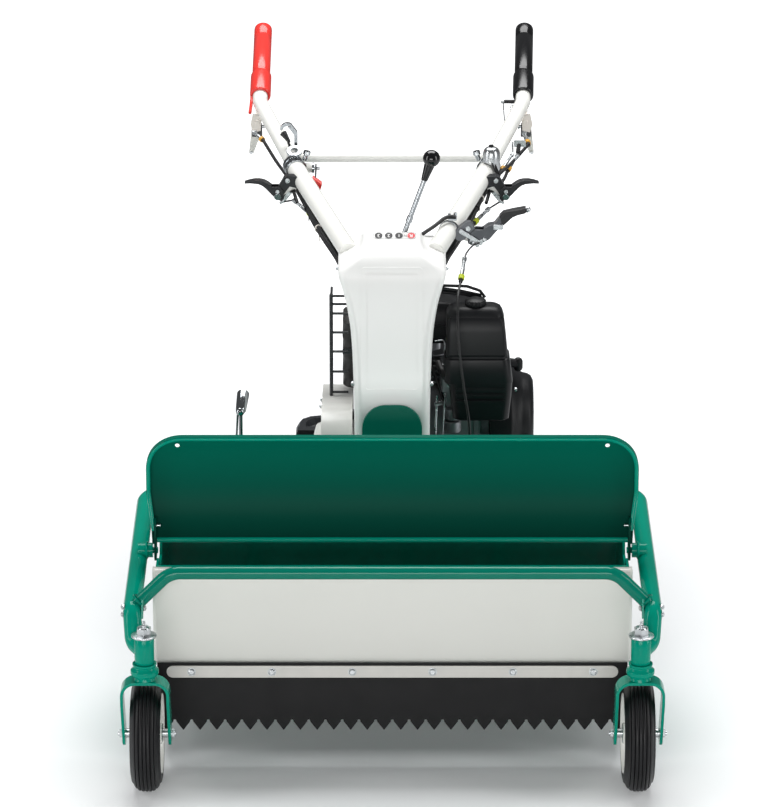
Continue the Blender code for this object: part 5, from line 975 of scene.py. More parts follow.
slab(bm, rounded_box((start + 0.012, CRANK_Y - 0.070), (start + 0.040, CRANK_Y - 0.030), 0.006),
     CRANK_Z + 0.060, CRANK_Z + 0.1115, "Z")
piece("recoil_case", bm, black_plastic, "chassis", ["recoil_housing"], 35, edge=0.0008)
bm = bmesh.new()
for a in (40, 130, 220, 310):
    y, z = CRANK_Y + 0.098 * cos(radians(a)), CRANK_Z + 0.098 * sin(radians(a))
    bolt(bm, (start + 0.052, y, z), (1, 0, 0), 0.0055, 0.03)
rod(bm, (start + 0.070, CRANK_Y, CRANK_Z), (start + 0.0935, CRANK_Y, CRANK_Z), 0.0060, 24)
rod(bm, (start + 0.045, CRANK_Y - 0.095, CRANK_Z - 0.022), (start + 0.097, CRANK_Y - 0.095, CRANK_Z - 0.022),
    0.0030, 20)
piece("recoil_screws", bm, zinc_plate, "chassis", edge=0.0003)

x, y, z = 0.2243, 0.050, 0.5278
bm = bmesh.new()
spun(bm, [(0, 0), (0.0052, 0), (0.0060, 0.002), (0.0072, 0.010), (0.0095, 0.016), (0, 0.018)], (x, y, z), "Z",
     32)
for out in (-1, 1):
    tip = Vector((x + out * 0.0330, y + out * 0.008, z + 0.015))
    drop = tip - Vector((0, 0, 0.011))
    rod(bm, (x, y, z + 0.018), tip - Vector((0, 0, 0.004)), 0.0100, 32, 0.0090)
    rod(bm, tip, drop, 0.0095, 32)
    for middle in (tip, drop):
        ball(bm, middle, 0.0095)
piece("starter_handle", bm, black_plastic, "recoil_handle", ["recoil_handle"], 50)


# Intake case and tank: a tall moulded case held by one knob, and a blow-moulded tank with
# its welded seam, filler cap and three black rods that steady the case.

def case_ring(z, x0, x1, y0, y1=-0.062, radius=0.016):
    return [(x, y, z) for x, y in rounded_box((x0, y0), (x1, y1), radius)]


bm = bmesh.new()
loft(bm, [case_ring(*row) for row in (
    (0.478, 0.126, 0.2300, -0.120), (0.481, 0.122, 0.2340, -0.124), (0.530, 0.116, 0.2385, -0.130),
    (0.558, 0.113, 0.2400, -0.133), (0.561, 0.1125, 0.2402, -0.1335), (0.562, 0.105, 0.2405, -0.1410),
    (0.564, 0.104, 0.2405, -0.142), (0.609, 0.104, 0.2345, -0.142), (0.612, 0.105, 0.2335, -0.141),
    (0.614, 0.1075, 0.2310, -0.1380), (0.650, 0.1075, 0.2275, -0.1355), (0.690, 0.1080, 0.2230, -0.1300),
    (0.700, 0.1090, 0.2200, -0.1270), (0.708, 0.1130, 0.2160, -0.1220, -0.066),
    (0.7125, 0.1190, 0.2100, -0.1160, -0.071), (0.7140, 0.1260, 0.2030, -0.1110, -0.076, 0.014))])
loft(bm, [case_ring(z, x0, x1, y, -0.12, 0.006) for z, x0, x1, y in (
    (0.618, 0.1120, 0.2265, -0.1375), (0.622, 0.1100, 0.2283, -0.1400), (0.668, 0.1105, 0.2250, -0.1370),
    (0.690, 0.1120, 0.2208, -0.1330), (0.6965, 0.1150, 0.2175, -0.1290))])
for z in (0.520, 0.533, 0.546):
    slab(bm, rounded_box((0.128, z), (0.224, z + 0.005), 0.002, 2), -0.1335, -0.120, "Y")
piece("intake_case", bm, black_plastic, "chassis", ["air_cleaner_case"], 32, edge=0.0010)


def fluted(name, body, node, centre, radius, height):
    """A moulded knob with twenty flutes and a domed top."""
    bm = bmesh.new()
    x, y, z = centre
    rings = []
    for rise, reach in ((0, 0.97), (0.0012, 1), (height - 0.0015, 1), (height, 0.95), (height + 0.0008, 0.82),
                        (height + 0.0030, 0.60), (height + 0.0040, 0.15)):
        ring = []
        for i in range(160):
            a = 2 * pi * i / 160
            flute = 0.0014 * max(0, cos(20 * a)) if reach > 0.9 else 0
            ring.append((x + (radius * reach - flute) * cos(a), y + (radius * reach - flute) * sin(a),
                         z + rise))
        rings.append(ring)
    loft(bm, rings)
    piece(name, bm, black_plastic, body, [node], 45)


fluted("intake_knob", "air_cleaner_knob", "air_cleaner_knob", (0.166, -0.096, 0.7143), 0.021, 0.010)
fluted("filler_cap", "fuel_cap", "fuel_cap", (0.060, 0.105, 0.7036), 0.027, 0.012)


def tank_ring(z, inset, radius=0.030):
    return [(x, y, z) for x, y in rounded_box((-0.022 + inset, 0.005 + inset), (0.186 - inset, 0.205 - inset),
                                              radius, 8)]


bm = bmesh.new()
low = 0.5953
loft(bm, [tank_ring(low + rise, inset) for rise, inset in (
    (0, 0.013), (0.002, 0.008), (0.007, 0.003), (0.013, 0.0005), (0.020, 0), (0.050, 0), (0.066, 0.0025),
    (0.080, 0.007), (0.089, 0.013), (0.095, 0.020), (0.0985, 0.028), (0.100, 0.040))])
slab(bm, rounded_box((-0.0258, 0.0012), (0.1898, 0.2088), 0.033, 8), low + 0.0405, low + 0.0455, "Z")
rod(bm, (0.060, 0.105, low + 0.090), (0.060, 0.105, low + 0.108), 0.0220, 48)
for vert in bm.verts:
    # the top falls away to the left and to the rear, clear of the filler
    fall = 0.682 - 0.315 * (vert.co.y - 0.005) + 2.5 * max(0, 0.100 - vert.co.x)
    vert.co.z = min(vert.co.z, max(fall, 0.645))
piece("tank", bm, black_plastic, "chassis", ["fuel_tank"], 32, edge=0.0008)
top_bar, middle_bar, low_bar = ([(x, -0.030, z) for x, z in bar]
                                for bar in (((0.095, 0.7332), (0.1496, 0.7316), (0.1761, 0.7224),
                                             (0.1865, 0.7085)),
                                            ((0.095, 0.7275), (0.1400, 0.7210), (0.1791, 0.7122)),
                                            ((0.095, 0.7202), (0.1438, 0.7153), (0.1674, 0.7092))))
cord("intake_bars", black_plastic, (bent(top_bar, 0.006), 0.0030, 16), (bent(middle_bar, 0.01), 0.0034, 16),
     (low_bar, 0.0034, 16))


# Silencer: a ribbed steel drum in heat-proof black, inside a cage of welded round wire
# that is strapped to it.

# Heat-proof paint: matt, going brown-grey where it gets hottest
heat_paint = surface("heat_paint", "232221", 0.58, grain_mm=1.2, depth_mm=0.08, patch_mm=35, patch=0.25,
                     haze=0.1)
bm = bmesh.new()
rows = 48
sections = []
for i in range(rows + 1):
    share = i / rows
    inset = 0.0015 * (1 - cos(2 * pi * 4 * share)) + 0.012 * max(0, 1 - 26 * min(share, 1 - share)) ** 2
    sections.append([(x, y, 0.506 + 0.144 * share) for x, y in rounded_box((-0.1000 + inset, -0.010 + inset),
                                                                           (-0.0303 - inset, 0.112 - inset),
                                                                           0.022, 8)])
loft(bm, sections)
slab(bm, rounded_box((-0.050, 0.084), (-0.0303, 0.110), 0.004), 0.541, 0.565, "Z")
rod(bm, (-0.082, 0.102, 0.622), (-0.082, 0.142, 0.612), 0.010, 32)
piece("silencer", bm, heat_paint, "chassis", ["muffler"], 40)

low, high = 0.492, 0.7115
x0, x1, y0, y1 = -0.1215, -0.088, -0.026, 0.030
bm = bmesh.new()
for z in (0.5066, 0.550, 0.5926, 0.633, 0.673, 0.6928, 0.7098):
    tube(bm, bent([(x1, y0, z), (x0, y0, z), (x0, y1, z)], 0.004, 4), 0.0026, 12)
for x, y, top in ((x0 - 0.001, y0 - 0.001, high), (x0 - 0.001, y1, high - 0.016)):
    rod(bm, (x, y, low), (x, y, top), 0.0034, 16)
    ball(bm, (x, y, top), 0.0034, 12, 8)
slab(bm, [(-0.099, 0.5876), (-0.070, 0.5876), (-0.070, 0.5976), (-0.099, 0.5976)], -0.0255, -0.0225, "Y")
slab(bm, [(-0.0255, 0.5876), (-0.0105, 0.5876), (-0.0105, 0.5976), (-0.0255, 0.5976)], -0.073, -0.070)
piece("silencer_cage", bm, black_paint, "chassis", ["muffler_guard"], 40)


# Belt drive: cast pulleys on the crankshaft and the gear case, one vee belt, and a white
# sheet cover with a pressed dome, bolted to a bracket on the chassis.

PULLEY_X, GEAR_Y, GEAR_Z, ENGINE_PULLEY, GEAR_PULLEY = -0.110, -0.128, 0.412, 0.042, 0.082
for name, y, z, radius, end in (("engine_pulley", CRANK_Y, CRANK_Z, ENGINE_PULLEY, -0.042),
                                ("gearbox_pulley", GEAR_Y, GEAR_Z, GEAR_PULLEY, -0.063)):
    groove = radius - 0.0088
    bm = bmesh.new()
    spun(bm, [(0, -0.019), (0.0105, -0.019), (0.011, -0.0185), (0.011, -0.011), (radius - 0.0006, -0.011),
              (radius, -0.0104), (radius, -0.0086), (radius - 0.0006, -0.0080), (groove, -0.004),
              (groove, 0.004), (radius - 0.0006, 0.0080), (radius, 0.0086), (radius, 0.0104),
              (radius - 0.0006, 0.011), (0.011, 0.011), (0.011, end - PULLEY_X), (0, end - PULLEY_X)],
         (PULLEY_X, y, z), steps=72)
    rod(bm, (PULLEY_X - 0.019, y, z), (PULLEY_X - 0.024, y, z), 0.008, 6)
    piece(f"{name}_wheel", bm, cast_alloy, name, [name], 35)
belt = [(CRANK_Y, CRANK_Z, 0.034), (GEAR_Y, GEAR_Z, 0.074)]
bm = shaped(block_of(around(belt, 0.0070, 32), PULLEY_X - 0.0036, PULLEY_X + 0.0036), "DIFFERENCE",
            block_of(around(belt, 0.0001, 32), -0.2, 0))
piece("belt", bm, sheet_rubber, "chassis", ["drive_belt"], edge=0.0008)

wheels = [(CRANK_Y, CRANK_Z, ENGINE_PULLEY), (GEAR_Y, GEAR_Z, GEAR_PULLEY)]
bm = shaped(block_of(around(wheels, 0.020, 40), -0.141, -0.079), "DIFFERENCE",
            block_of(around(wheels, 0.018, 40), -0.139, -0.06))
bm = shaped(bm, "UNION", shaped(block_of(around(wheels, 0.025, 40), -0.081, -0.079), "DIFFERENCE",
                                block_of(around(wheels, 0.018, 40), -0.09, -0.07)))
spun(bm, [(0, 0.0008), (0.064, 0.0008), (0.0625, -0.0015), (0.0590, -0.0085), (0.0560, -0.0110),
          (0.0420, -0.0146), (0.0380, -0.0152), (0, -0.0158)], (-0.141, GEAR_Y, GEAR_Z), steps=64)
piece("belt_case", bm, white_enamel, "chassis", ["belt_cover"], 35, edge=0.0009)
bolts("belt_case_bolts", [((-0.1412, y - 0.01, z - 0.012), (-1, 0, 0), 0.0062)
                          for y, z in ((-0.040, 0.497), (-0.030, 0.335), (0.080, 0.470))])


# Column: a square steel post bolted on the gear case, with an arm to each handle's foot,
# a strut to the cover and the pivot of the shift lever. Painted black with the chassis.

from_frame("steering_column", black_paint, 0.0014)


# Dash cover: one moulding over the column, white and satin, with shoulders where the
# handles come out, a raised border on its face and the shift gate in its sloping top.

HANDLE_FOOT, HANDLE_JOINT, TUBE_FOOT = (0.108, -0.070, 0.812), (0.205, 0.385, 0.866), (0.085, -0.070, 0.8145)
HANDLE_BEND = (0.283, 0.700, 0.922)
LOWER_TUBE, UPPER_TUBE = 0.0190, 0.0160
SHIFT_Y, SHIFT_Z = -0.045, 0.700
# Injection-moulded ABS: clean white with a satin sheen
white_cover = surface("white_cover", "F6F6F4", 0.30, grain_mm=3, depth_mm=0.02, patch_mm=400, patch=0.01,
                      haze=0.01)


def mirrored(point, sign):
    """The point on the left side of the machine, or its mirror on the right."""
    return Vector((sign * point[0], point[1], point[2]))


def dash_shell(grow):
    """The outside of the dash, grown by a distance: (z, half width, front, rear, tilt) levels, smoothed."""
    levels = [(0.446, 0.0745, -0.250, -0.030, 0.0), (0.500, 0.0745, -0.250, -0.030, 0.0),
              (0.588, 0.0757, -0.230, -0.026, 0.0), (0.682, 0.0800, -0.202, -0.020, 0.02),
              (0.738, 0.0890, -0.186, -0.010, 0.05), (0.772, 0.0985, -0.176, -0.002, 0.08),
              (0.797, 0.1062, -0.168, 0.006, 0.12), (0.8135, 0.1070, -0.158, 0.010, 0.14),
              (0.8265, 0.0740, -0.148, 0.012, 0.02), (0.8351, 0.0615, -0.1285, 0.0065, -0.0756),
              (0.8618, 0.0575, -0.0925, -0.0850, -0.16)]
    for _ in range(2):
        cut = [levels[0]]
        for a, b, c in zip(levels, levels[1:], levels[2:]):
            cut.append(tuple(q + (p - q) * 0.22 for p, q in zip(a, b)))
            cut.append(tuple(q + (r - q) * 0.22 for q, r in zip(b, c)))
        levels = cut + [levels[-1]]
    bm = bmesh.new()
    rings = []
    for i, (z, half, front, rear, tilt) in enumerate(levels):
        lift = grow if i == len(levels) - 1 else -0.02 if i == 0 and grow < 0 else 0
        middle = (front + rear) / 2
        corner = min(0.018, (rear - front) / 2 + grow - 0.0005)
        rings.append([(x, y, z + lift + tilt * (y - middle)) for x, y in rounded_box(
            (-half - grow, front - grow), (half + grow, rear + grow), corner)])
    loft(bm, rings)
    return bm


gate = block_of(rounded_box((-0.047, SHIFT_Y - 0.032), (0.052, SHIFT_Y - 0.008), 0.009), 0.80, 0.95, "Z")
hollow = bmesh.new()
loft(hollow, [[(x, y, z) for x, y in rounded_box((-half, front), (half, rear), 0.016)]
              for z, half, front, rear in ((0.420, 0.0725, -0.2465, -0.0335),
                                           (0.500, 0.0725, -0.2465, -0.0335),
                                           (0.588, 0.0750, -0.2260, -0.0295),
                                           (0.682, 0.0770, -0.1975, -0.0235),
                                           (0.765, 0.0910, -0.1720, -0.0120),
                                           (0.802, 0.0930, -0.1480, -0.0040))])
bm = shaped(shaped(dash_shell(0), "DIFFERENCE", hollow), "DIFFERENCE", gate)
for _, sign in SIDES:
    foot = mirrored(TUBE_FOOT, sign)
    way = mirrored(HANDLE_JOINT, sign) - foot
    bm = bored(bm, foot + way * 0.060, foot + way * 0.3, LOWER_TUBE + 0.0008, 48)
    bm = bored(bm, (sign * 0.080, -0.066, 0.752), (sign * 0.130, -0.030, 0.780), 0.011)
border = shaped(dash_shell(0.0014), "INTERSECT",
                block_of(rounded_box((-0.060, 0.572), (0.060, 0.810), 0.006), -0.40, -0.12, "Y"))
border = shaped(border, "DIFFERENCE", block_of(rounded_box((-0.051, 0.582), (0.051, 0.800), 0.004), -0.41,
                                               -0.11, "Y"))
border = shaped(border, "DIFFERENCE", dash_shell(-0.001))
bm = shaped(bm, "UNION", border)
piece("dash", bm, white_cover, "chassis", ["dash_cover"], 28, edge=0.0008)

bolts("dash_screws", [((sign * x, y, z), (sign * x, 0, 0), size, 0.01)
                      for x, y, z, size in ((0.1065, -0.110, 0.795, 0.0062), (0.0765, -0.215, 0.588, 0.0056))
                      for _, sign in SIDES])

# Gate numbers: small discs on the slope in front of the gate, read from behind. Printed
# ink is flat, even and a little dull.
ink = surface("black_ink", "1C1C1E", 0.5, grain_mm=2, depth_mm=0.005)
red_ink = surface("red_ink", "D8434A", 0.5, grain_mm=2, depth_mm=0.005)
grey_ink = surface("grey_ink", "A9ACAD", 0.5, grain_mm=2, depth_mm=0.005)
SLOPE = Matrix.Translation((0, -0.1008, 0.8578)) @ Matrix.Rotation(radians(30.3), 4, "X")


def printed(name, text, x, finish, size, lift):
    """A figure, or a disc where there is no text, lying on the top of the dash."""
    if text:
        curve = bpy.data.curves.new("work", "FONT")
        curve.body = text
        curve.size = size
        curve.align_x = curve.align_y = "CENTER"
        curve.extrude = 0.0001
        letter = bpy.data.objects.new("work", curve)
        scene.collection.objects.link(letter)
        bpy.context.view_layer.update()
        mesh = bpy.data.meshes.new_from_object(letter.evaluated_get(bpy.context.evaluated_depsgraph_get()))
        bpy.data.objects.remove(letter)
        bm = bmesh.new()
        bm.from_mesh(mesh)
    else:
        bm = bmesh.new()
        rod(bm, (0, 0, -0.0001), (0, 0, 0.0001), size, 40)
    bm.transform(SLOPE @ Matrix.Translation((x, 0, lift)) @ Matrix.Rotation(pi, 4, "Z"))
    piece(name, bm, finish, "chassis")


for text, x, finish in (("3", -0.0266, ink), ("2", -0.0066, ink), ("1", 0.0137, ink), ("R", 0.0378, red_ink)):
    printed(f"disc_{text}", "", x, finish, 0.0076, 0.0013)
    printed(f"figure_{text}", text, x, white_cover, 0.0115, 0.0015)
printed("figure_N", "N", 0.0259, ink, 0.0085, 0.0012)
outer, inner = (rounded_box((-0.0376 + t, -0.0085 + t), (0.0479 - t, 0.0085 - t), 0.006 - t)
                for t in (0, 0.0008))
bm = shaped(block_of(outer, 0.0001, 0.0004, "Z"), "DIFFERENCE", block_of(inner, -0.001, 0.001, "Z"))
bm.transform(SLOPE @ Matrix.Translation((0, 0, 0.0009)))
piece("gate_outline", bm, grey_ink)


# Column foot: a green pressed arch in front of the column, standing over the frame tube,
# with its front leaning back as it rises.

# The frame's enamel, duller and more even on the pressed sheet, its colour painted darker than the frame's as
# painted shade under the dash
arch_enamel = surface("arch_enamel", "006C59", 0.30, grain_mm=5, depth_mm=0.03, Specular_IOR_Level=0.12)


def arch(inset, low):
    """The arch seen from the front, (x, z)."""
    reach, corner, top = 0.059 - inset, 0.046 - inset, 0.556 - inset
    return ([(reach, low)] + arc((reach - corner, top - corner), corner, 0, 90, 16)
            + arc((corner - reach, top - corner), corner, 90, 180, 16) + [(-reach, low)])


def hump(inset, low, front, rear):
    """The arch run back from a face that leans back as it rises."""
    made = block_of(arch(inset, low), front, rear, "Y")
    for vert in made.verts:
        if vert.co.y < rear - 0.01:
            vert.co.y += min(0.35 * (vert.co.z - 0.394), rear - front - 0.002)
    return made


bm = shaped(hump(0, 0.394, -0.3103, -0.2503), "DIFFERENCE", hump(0.004, 0.384, -0.3063, -0.2400))
made = bmesh.new()
tube(made, [(-0.2, FRAME_REAR, FRAME_HIGH), (0.2, FRAME_REAR, FRAME_HIGH)], FRAME_TUBE + 0.0004, 40)
bm = shaped(bm, "DIFFERENCE", made)
piece("column_arch", bm, arch_enamel, "chassis", ["column_cover"], 40, edge=0.0035)


# Shift lever: a chromed rod cranked through the gate, with a moulded ball on a taper. It
# turns on the column's pivot.

# Chromium plate on polished steel: a sharp, slightly grey mirror
chrome = surface("chrome", "A4A8AB", 0.12, 1.0, grain_mm=3, depth_mm=0.004, patch_mm=30, patch=0.04,
                 haze=0.04)
# Polished black resin for the lever's ball
knob_resin = surface("knob_resin", "121214", 0.12, grain_mm=3, depth_mm=0.005, patch=0.02, haze=0.02)
y = SHIFT_Y
bm = bmesh.new()
spun(bm, [(0.0058, -0.010), (0.0130, -0.010), (0.0140, -0.009), (0.0140, 0.011), (0.0130, 0.012),
          (0.0058, 0.012)], (0, y, SHIFT_Z), "Y", 40, ring=True)
tube(bm, bent([(0, y, SHIFT_Z + 0.010), (0.010, y - 0.012, 0.760), (0.024, y - 0.020, 0.852),
               (0.064, y - 0.010, 0.960), (0.072, y - 0.008, 0.983)], 0.02), 0.0050, 24)
low = Vector((0.0275, y - 0.0191, 0.8615))
high = Vector((0.0430, y - 0.0152, 0.9033))
rod(bm, low.lerp(high, 0.34), low.lerp(high, 0.60), 0.0064, 24)
piece("shift_rod", bm, chrome, "shift_lever", ["shift_lever"], 40)
bm = bmesh.new()
start, end = Vector((0.0635, y - 0.0102, 0.9590)), Vector((0.0772, y - 0.0075, 1.0000))
rod(bm, start, end, 0.0064, 40, 0.0120)
ball(bm, (0.078, y - 0.007, 1.003), 0.0172, 40, 24)
piece("shift_knob", bm, knob_resin, "shift_lever")


# Handles: a thick tube from the column, a thinner bent tube slid into it and clamped, and
# a tie bar between the two. White enamel, with chromed clamps at the joints.

JOINT_ALONG = (Vector(HANDLE_JOINT) - Vector(HANDLE_FOOT)).normalized()
# Where each lever's pivot and the tie bar stand along the machine, and how far the tube fills the grip
FINGER_Y, CLUTCH_Y, THROTTLE_Y, TIE_Y, TUBE_END = 0.300, 0.030, 0.370, 0.420, 0.94


def lower_tube_at(y, sign=1, foot=HANDLE_FOOT):
    """A point on the line that the levers and brackets are set out from."""
    foot, joint = mirrored(foot, sign), mirrored(HANDLE_JOINT, sign)
    return foot.lerp(joint, (y - foot.y) / (joint.y - foot.y))


def tube_at(y, sign=1):
    """A point on the middle of the tube that shows, whose foot stands nearer the middle."""
    return lower_tube_at(y, sign, TUBE_FOOT)


def grip_line(sign):
    """Where the bent tube turns into the grip, and the grip's end."""
    start = mirrored(HANDLE_BEND, sign) - Vector((0, 0, 0.0045))
    return start, Vector((sign * 0.287 + 0.0055, 0.9392, 1.0215))


def pin(bm, centre, along, back, front, radius, sides=20):
    """A rod through a point, from so far back to so far in front of it along a direction."""
    rod(bm, centre + Vector(along) * back, centre + Vector(along) * front, radius, sides)


squeeze = {sign: lower_tube_at(FINGER_Y, sign) + Vector((sign * 0.049, 0, -0.030)) for sign in (-1, 1)}
hanger = {sign: mirrored(HANDLE_BEND, sign) + Vector((sign * 0.003, -0.045, -0.046)) for sign in (-1, 1)}
clutch = lower_tube_at(CLUTCH_Y) + Vector((0.034, 0, -0.010))
throttle = lower_tube_at(THROTTLE_Y, -1) + Vector((0.044, 0, 0))
for side, sign in SIDES:
    foot, joint = mirrored(TUBE_FOOT, sign), mirrored(HANDLE_JOINT, sign)
    elbow, end = grip_line(sign)
    along = (joint - foot).normalized()
    bm = bmesh.new()
    rod(bm, foot, joint, LOWER_TUBE, 48)
    tube(bm, bent([joint - along * 0.040, elbow, elbow.lerp(end, TUBE_END)], 0.060, 16), UPPER_TUBE, 40)
    rod(bm, squeeze[sign], lower_tube_at(FINGER_Y, sign), 0.007, 24)
    pin(bm, squeeze[sign], (0, 1, 0), -0.007, 0.007, 0.0085, 28)
    bead(bm, lower_tube_at(FINGER_Y, sign) + Vector((sign * 0.0155, 0, -0.0095)), (sign, 0, -0.61), 0.0078,
         0.0018)
    rod(bm, hanger[sign] + Vector((0, 0.0015, 0.0060)), hanger[sign] + Vector((0, 0.012, 0.040)), 0.006, 24)
    spun(bm, [(0.0030, -0.0060), (0.0072, -0.0060), (0.0072, 0.0060), (0.0030, 0.0060)], hanger[sign], "X",
         28, True)
    if sign > 0:
        rod(bm, lower_tube_at(CLUTCH_Y), clutch, 0.009, 24)
        pin(bm, clutch, (0, 1, 0), -0.009, 0.009, 0.0095, 28)
    else:
        rod(bm, lower_tube_at(THROTTLE_Y, -1), throttle - Vector((0.005, 0, 0)), 0.010, 28)
    piece(f"handle_tubes_{side}", bm, white_enamel, "chassis", [f"handle_{side}"], 40,
          edge=0.0006)
    bm = bmesh.new()
    for offset in (-0.029, -0.011):
        made = joint + along * offset
        rod(bm, made, made + along * 0.012, 0.0228, 48)
    rod(bm, joint - along * 0.030, joint + along * 0.003, 0.0218, 48)
    ear = joint + along * -0.014 + Vector((-sign * 0.020, 0, 0.012))
    rod(bm, ear + Vector((0, 0, 0.004)), ear + Vector((-sign * 0.004, 0, 0.016)), 0.0050, 20)
    rod(bm, ear + Vector((-sign * 0.004, 0, 0.016)), ear + Vector((-sign * 0.006, 0, 0.024)), 0.0078, 6)
    pin(bm, squeeze[sign], (0, 1, 0), -0.016, 0.016, 0.004)
    for out in (-1, 1):
        pin(bm, squeeze[sign], (0, out, 0), 0.0128, 0.0165, 0.0068, 24)
    pin(bm, hanger[sign], (1, 0, 0), -0.014, 0.014, 0.0035)
    pin(bm, hanger[sign], (1, 0, 0), -0.0145, -0.0118, 0.0065)
    if sign > 0:
        pin(bm, clutch, (0, 1, 0), -0.018, 0.016, 0.005, 24)
        pin(bm, clutch, (0, 1, 0), -0.0185, -0.0142, 0.0090, 6)
    else:
        pin(bm, throttle, (1, 0, 0), -0.008, 0.008, 0.004)
        pin(bm, throttle, (1, 0, 0), -0.008, -0.0035, 0.011, 32)
    piece(f"handle_clamp_{side}", bm, chrome, "chassis", edge=0.0005)
at = Vector(HANDLE_JOINT).lerp(Vector(HANDLE_BEND),
                               (TIE_Y - HANDLE_JOINT[1]) / (HANDLE_BEND[1] - HANDLE_JOINT[1]))
bm = bmesh.new()
rod(bm, (-at.x + 0.014, TIE_Y, at.z), (at.x - 0.014, TIE_Y, at.z), 0.0095, 40)
for sign in (-1, 1):
    bead(bm, (sign * (at.x - 0.0165), TIE_Y, at.z), (1, 0, 0), 0.0100, 0.0020)
piece("tie_bar", bm, white_enamel, "chassis", ["cross_tube"], 40)


# Grips: rubber sleeves pushed over the tube ends, red on the right and black on the left,
# smooth and shiny, with a groove near the end and a thick collar below the thumb.

# Grip vinyl: dipped and shiny, with a bright streak where it faces the light
red_rubber = surface("red_rubber", "DE3A33", 0.17, grain_mm=3, depth_mm=0.006, patch=0.02, haze=0.01)
grip_rubber = surface("grip_rubber", "0E0E10", 0.20, grain_mm=3, depth_mm=0.006, patch=0.02, haze=0.01)
for side, sign in SIDES:
    elbow, end = grip_line(sign)
    length = (end - elbow).length
    profile = [(0.0168, 0.022), (0.0205, 0.022), (0.0222, 0.0235), (0.0225, 0.026), (0.0225, 0.087),
               (0.0222, 0.0895), (0.0205, 0.0915), (0.0182, 0.094), (0.0180, 0.097), (0.0182, 0.100),
               (0.0190, 0.103), (0.0195, 0.106)]
    profile += [(0.0195, length - 0.040), (0.0186, length - 0.0385), (0.0186, length - 0.0355),
                (0.0195, length - 0.034), (0.0195, length - 0.0070), (0.0190, length - 0.0035),
                (0.0170, length - 0.0010), (0.0140, length), (0, length)]
    bm = bmesh.new()
    spun(bm, profile + [(0, length * TUBE_END + FIT), (0.0168, length * TUBE_END + FIT)], (0, 0, 0), "Z", 96,
         True)
    bm.transform(facing(elbow, (end - elbow).normalized()))
    piece(f"grip_sleeve_{side}", bm, red_rubber if sign < 0 else grip_rubber, "chassis", [f"grip_{side}"],
          50)


# Levers: a cast finger lever below each handle for its crawler, a pale moulded travel lever
# hanging under each grip, the long clutch lever of the rotor and the red throttle tab.

# Milky moulded nylon: the light goes a little way into it
pale_resin = surface("pale_resin", "DADAD2", 0.22, grain_mm=3, depth_mm=0.01, patch=0.03, haze=0.03,
                     Transmission_Weight=0.25)
# Cast alloy, powder coated black: satin, with the casting's grain under it
cast_black = surface("cast_black", "202124", 0.34, 0.2, grain_mm=2, depth_mm=0.06, patch_mm=25, patch=0.1)
for side, sign in SIDES:
    x, y, z = squeeze[sign]
    outline = ((-0.0120, 0.0045), (-0.0130, 0.0150), (-0.0040, 0.0235), (0.0118, 0.0236), (0.0200, 0.0300),
               (0.0279, 0.0344), (0.0370, 0.0364), (0.0465, 0.0367), (0.0570, 0.0350), (0.0680, 0.0318),
               (0.0685, 0.0296), (0.0570, 0.0303), (0.0403, 0.0290), (0.0330, 0.0262), (0.0264, 0.0215),
               (0.0190, 0.0140), (0.0124, 0.0066), (0.0020, -0.0030), (-0.0078, -0.0072), (-0.0130, -0.0020))
    bm = block_of([(x + sign * a, z + b - 0.003) for a, b in outline], y - 0.0125, y + 0.0125, "Y")
    inner, outer = sorted((x - sign * 0.030, x + sign * 0.013))
    bm = shaped(bm, "DIFFERENCE", block_of(rounded_box((inner, z - 0.03), (outer, z + 0.03), 0.004),
                                           y - 0.009, y + 0.009, "Y"))
    for vert in bm.verts:
        reach = max(0, (sign * (vert.co.x - x) - 0.020) / 0.052)
        vert.co.y = y + (vert.co.y - y) * (1 - 0.30 * reach)
    piece(f"finger_lever_{side}", bm, cast_black, f"steering_lever_{side}", [f"steering_lever_{side}"],
          35, edge=0.0012)

    x, y, z = hanger[sign]
    tip = (y + 0.075, z - 0.078)
    bm = shaped(block_of(around([(y, z, 0.008), (y + 0.022, z - 0.023, 0.006)]), x - 0.011, x + 0.011),
                "DIFFERENCE", block_of(rounded_box((y - 0.030, z - 0.011), (y + 0.014, z + 0.030), 0.003),
                                       x - 0.0074, x + 0.0074))
    bmesh.ops.translate(bm, verts=bm.verts, vec=(sign * 0.003, 0, 0))
    piece(f"travel_root_{side}", bm, black_plastic, f"grip_lever_{side}", smooth=35, edge=0.0012)
    bm = block_of(around([(y + 0.014, z - 0.0150, 0.0035), (tip[0], tip[1], 0.0025)]), x - 0.011, x + 0.011)
    for vert in bm.verts:
        share = max(0, min(1, (vert.co.y - y - 0.014) / (tip[0] - y - 0.014)))
        vert.co.x = x + sign * 0.004 + (vert.co.x - x) * (1 - 0.58 * share) + sign * 0.014 * share ** 1.3
    piece(f"travel_lever_{side}", bm, pale_resin, f"grip_lever_{side}", [f"grip_lever_{side}"],
          35, edge=0.0010)
    bm = bmesh.new()
    rod(bm, (x + sign * 0.0165, tip[0] - 0.006, tip[1] + 0.006),
        (x + sign * 0.0185, tip[0] + 0.002, tip[1] - 0.002), 0.0045, 20, 0.0038)
    piece(f"travel_tip_{side}", bm, zinc_plate, f"grip_lever_{side}", edge=0.0004)

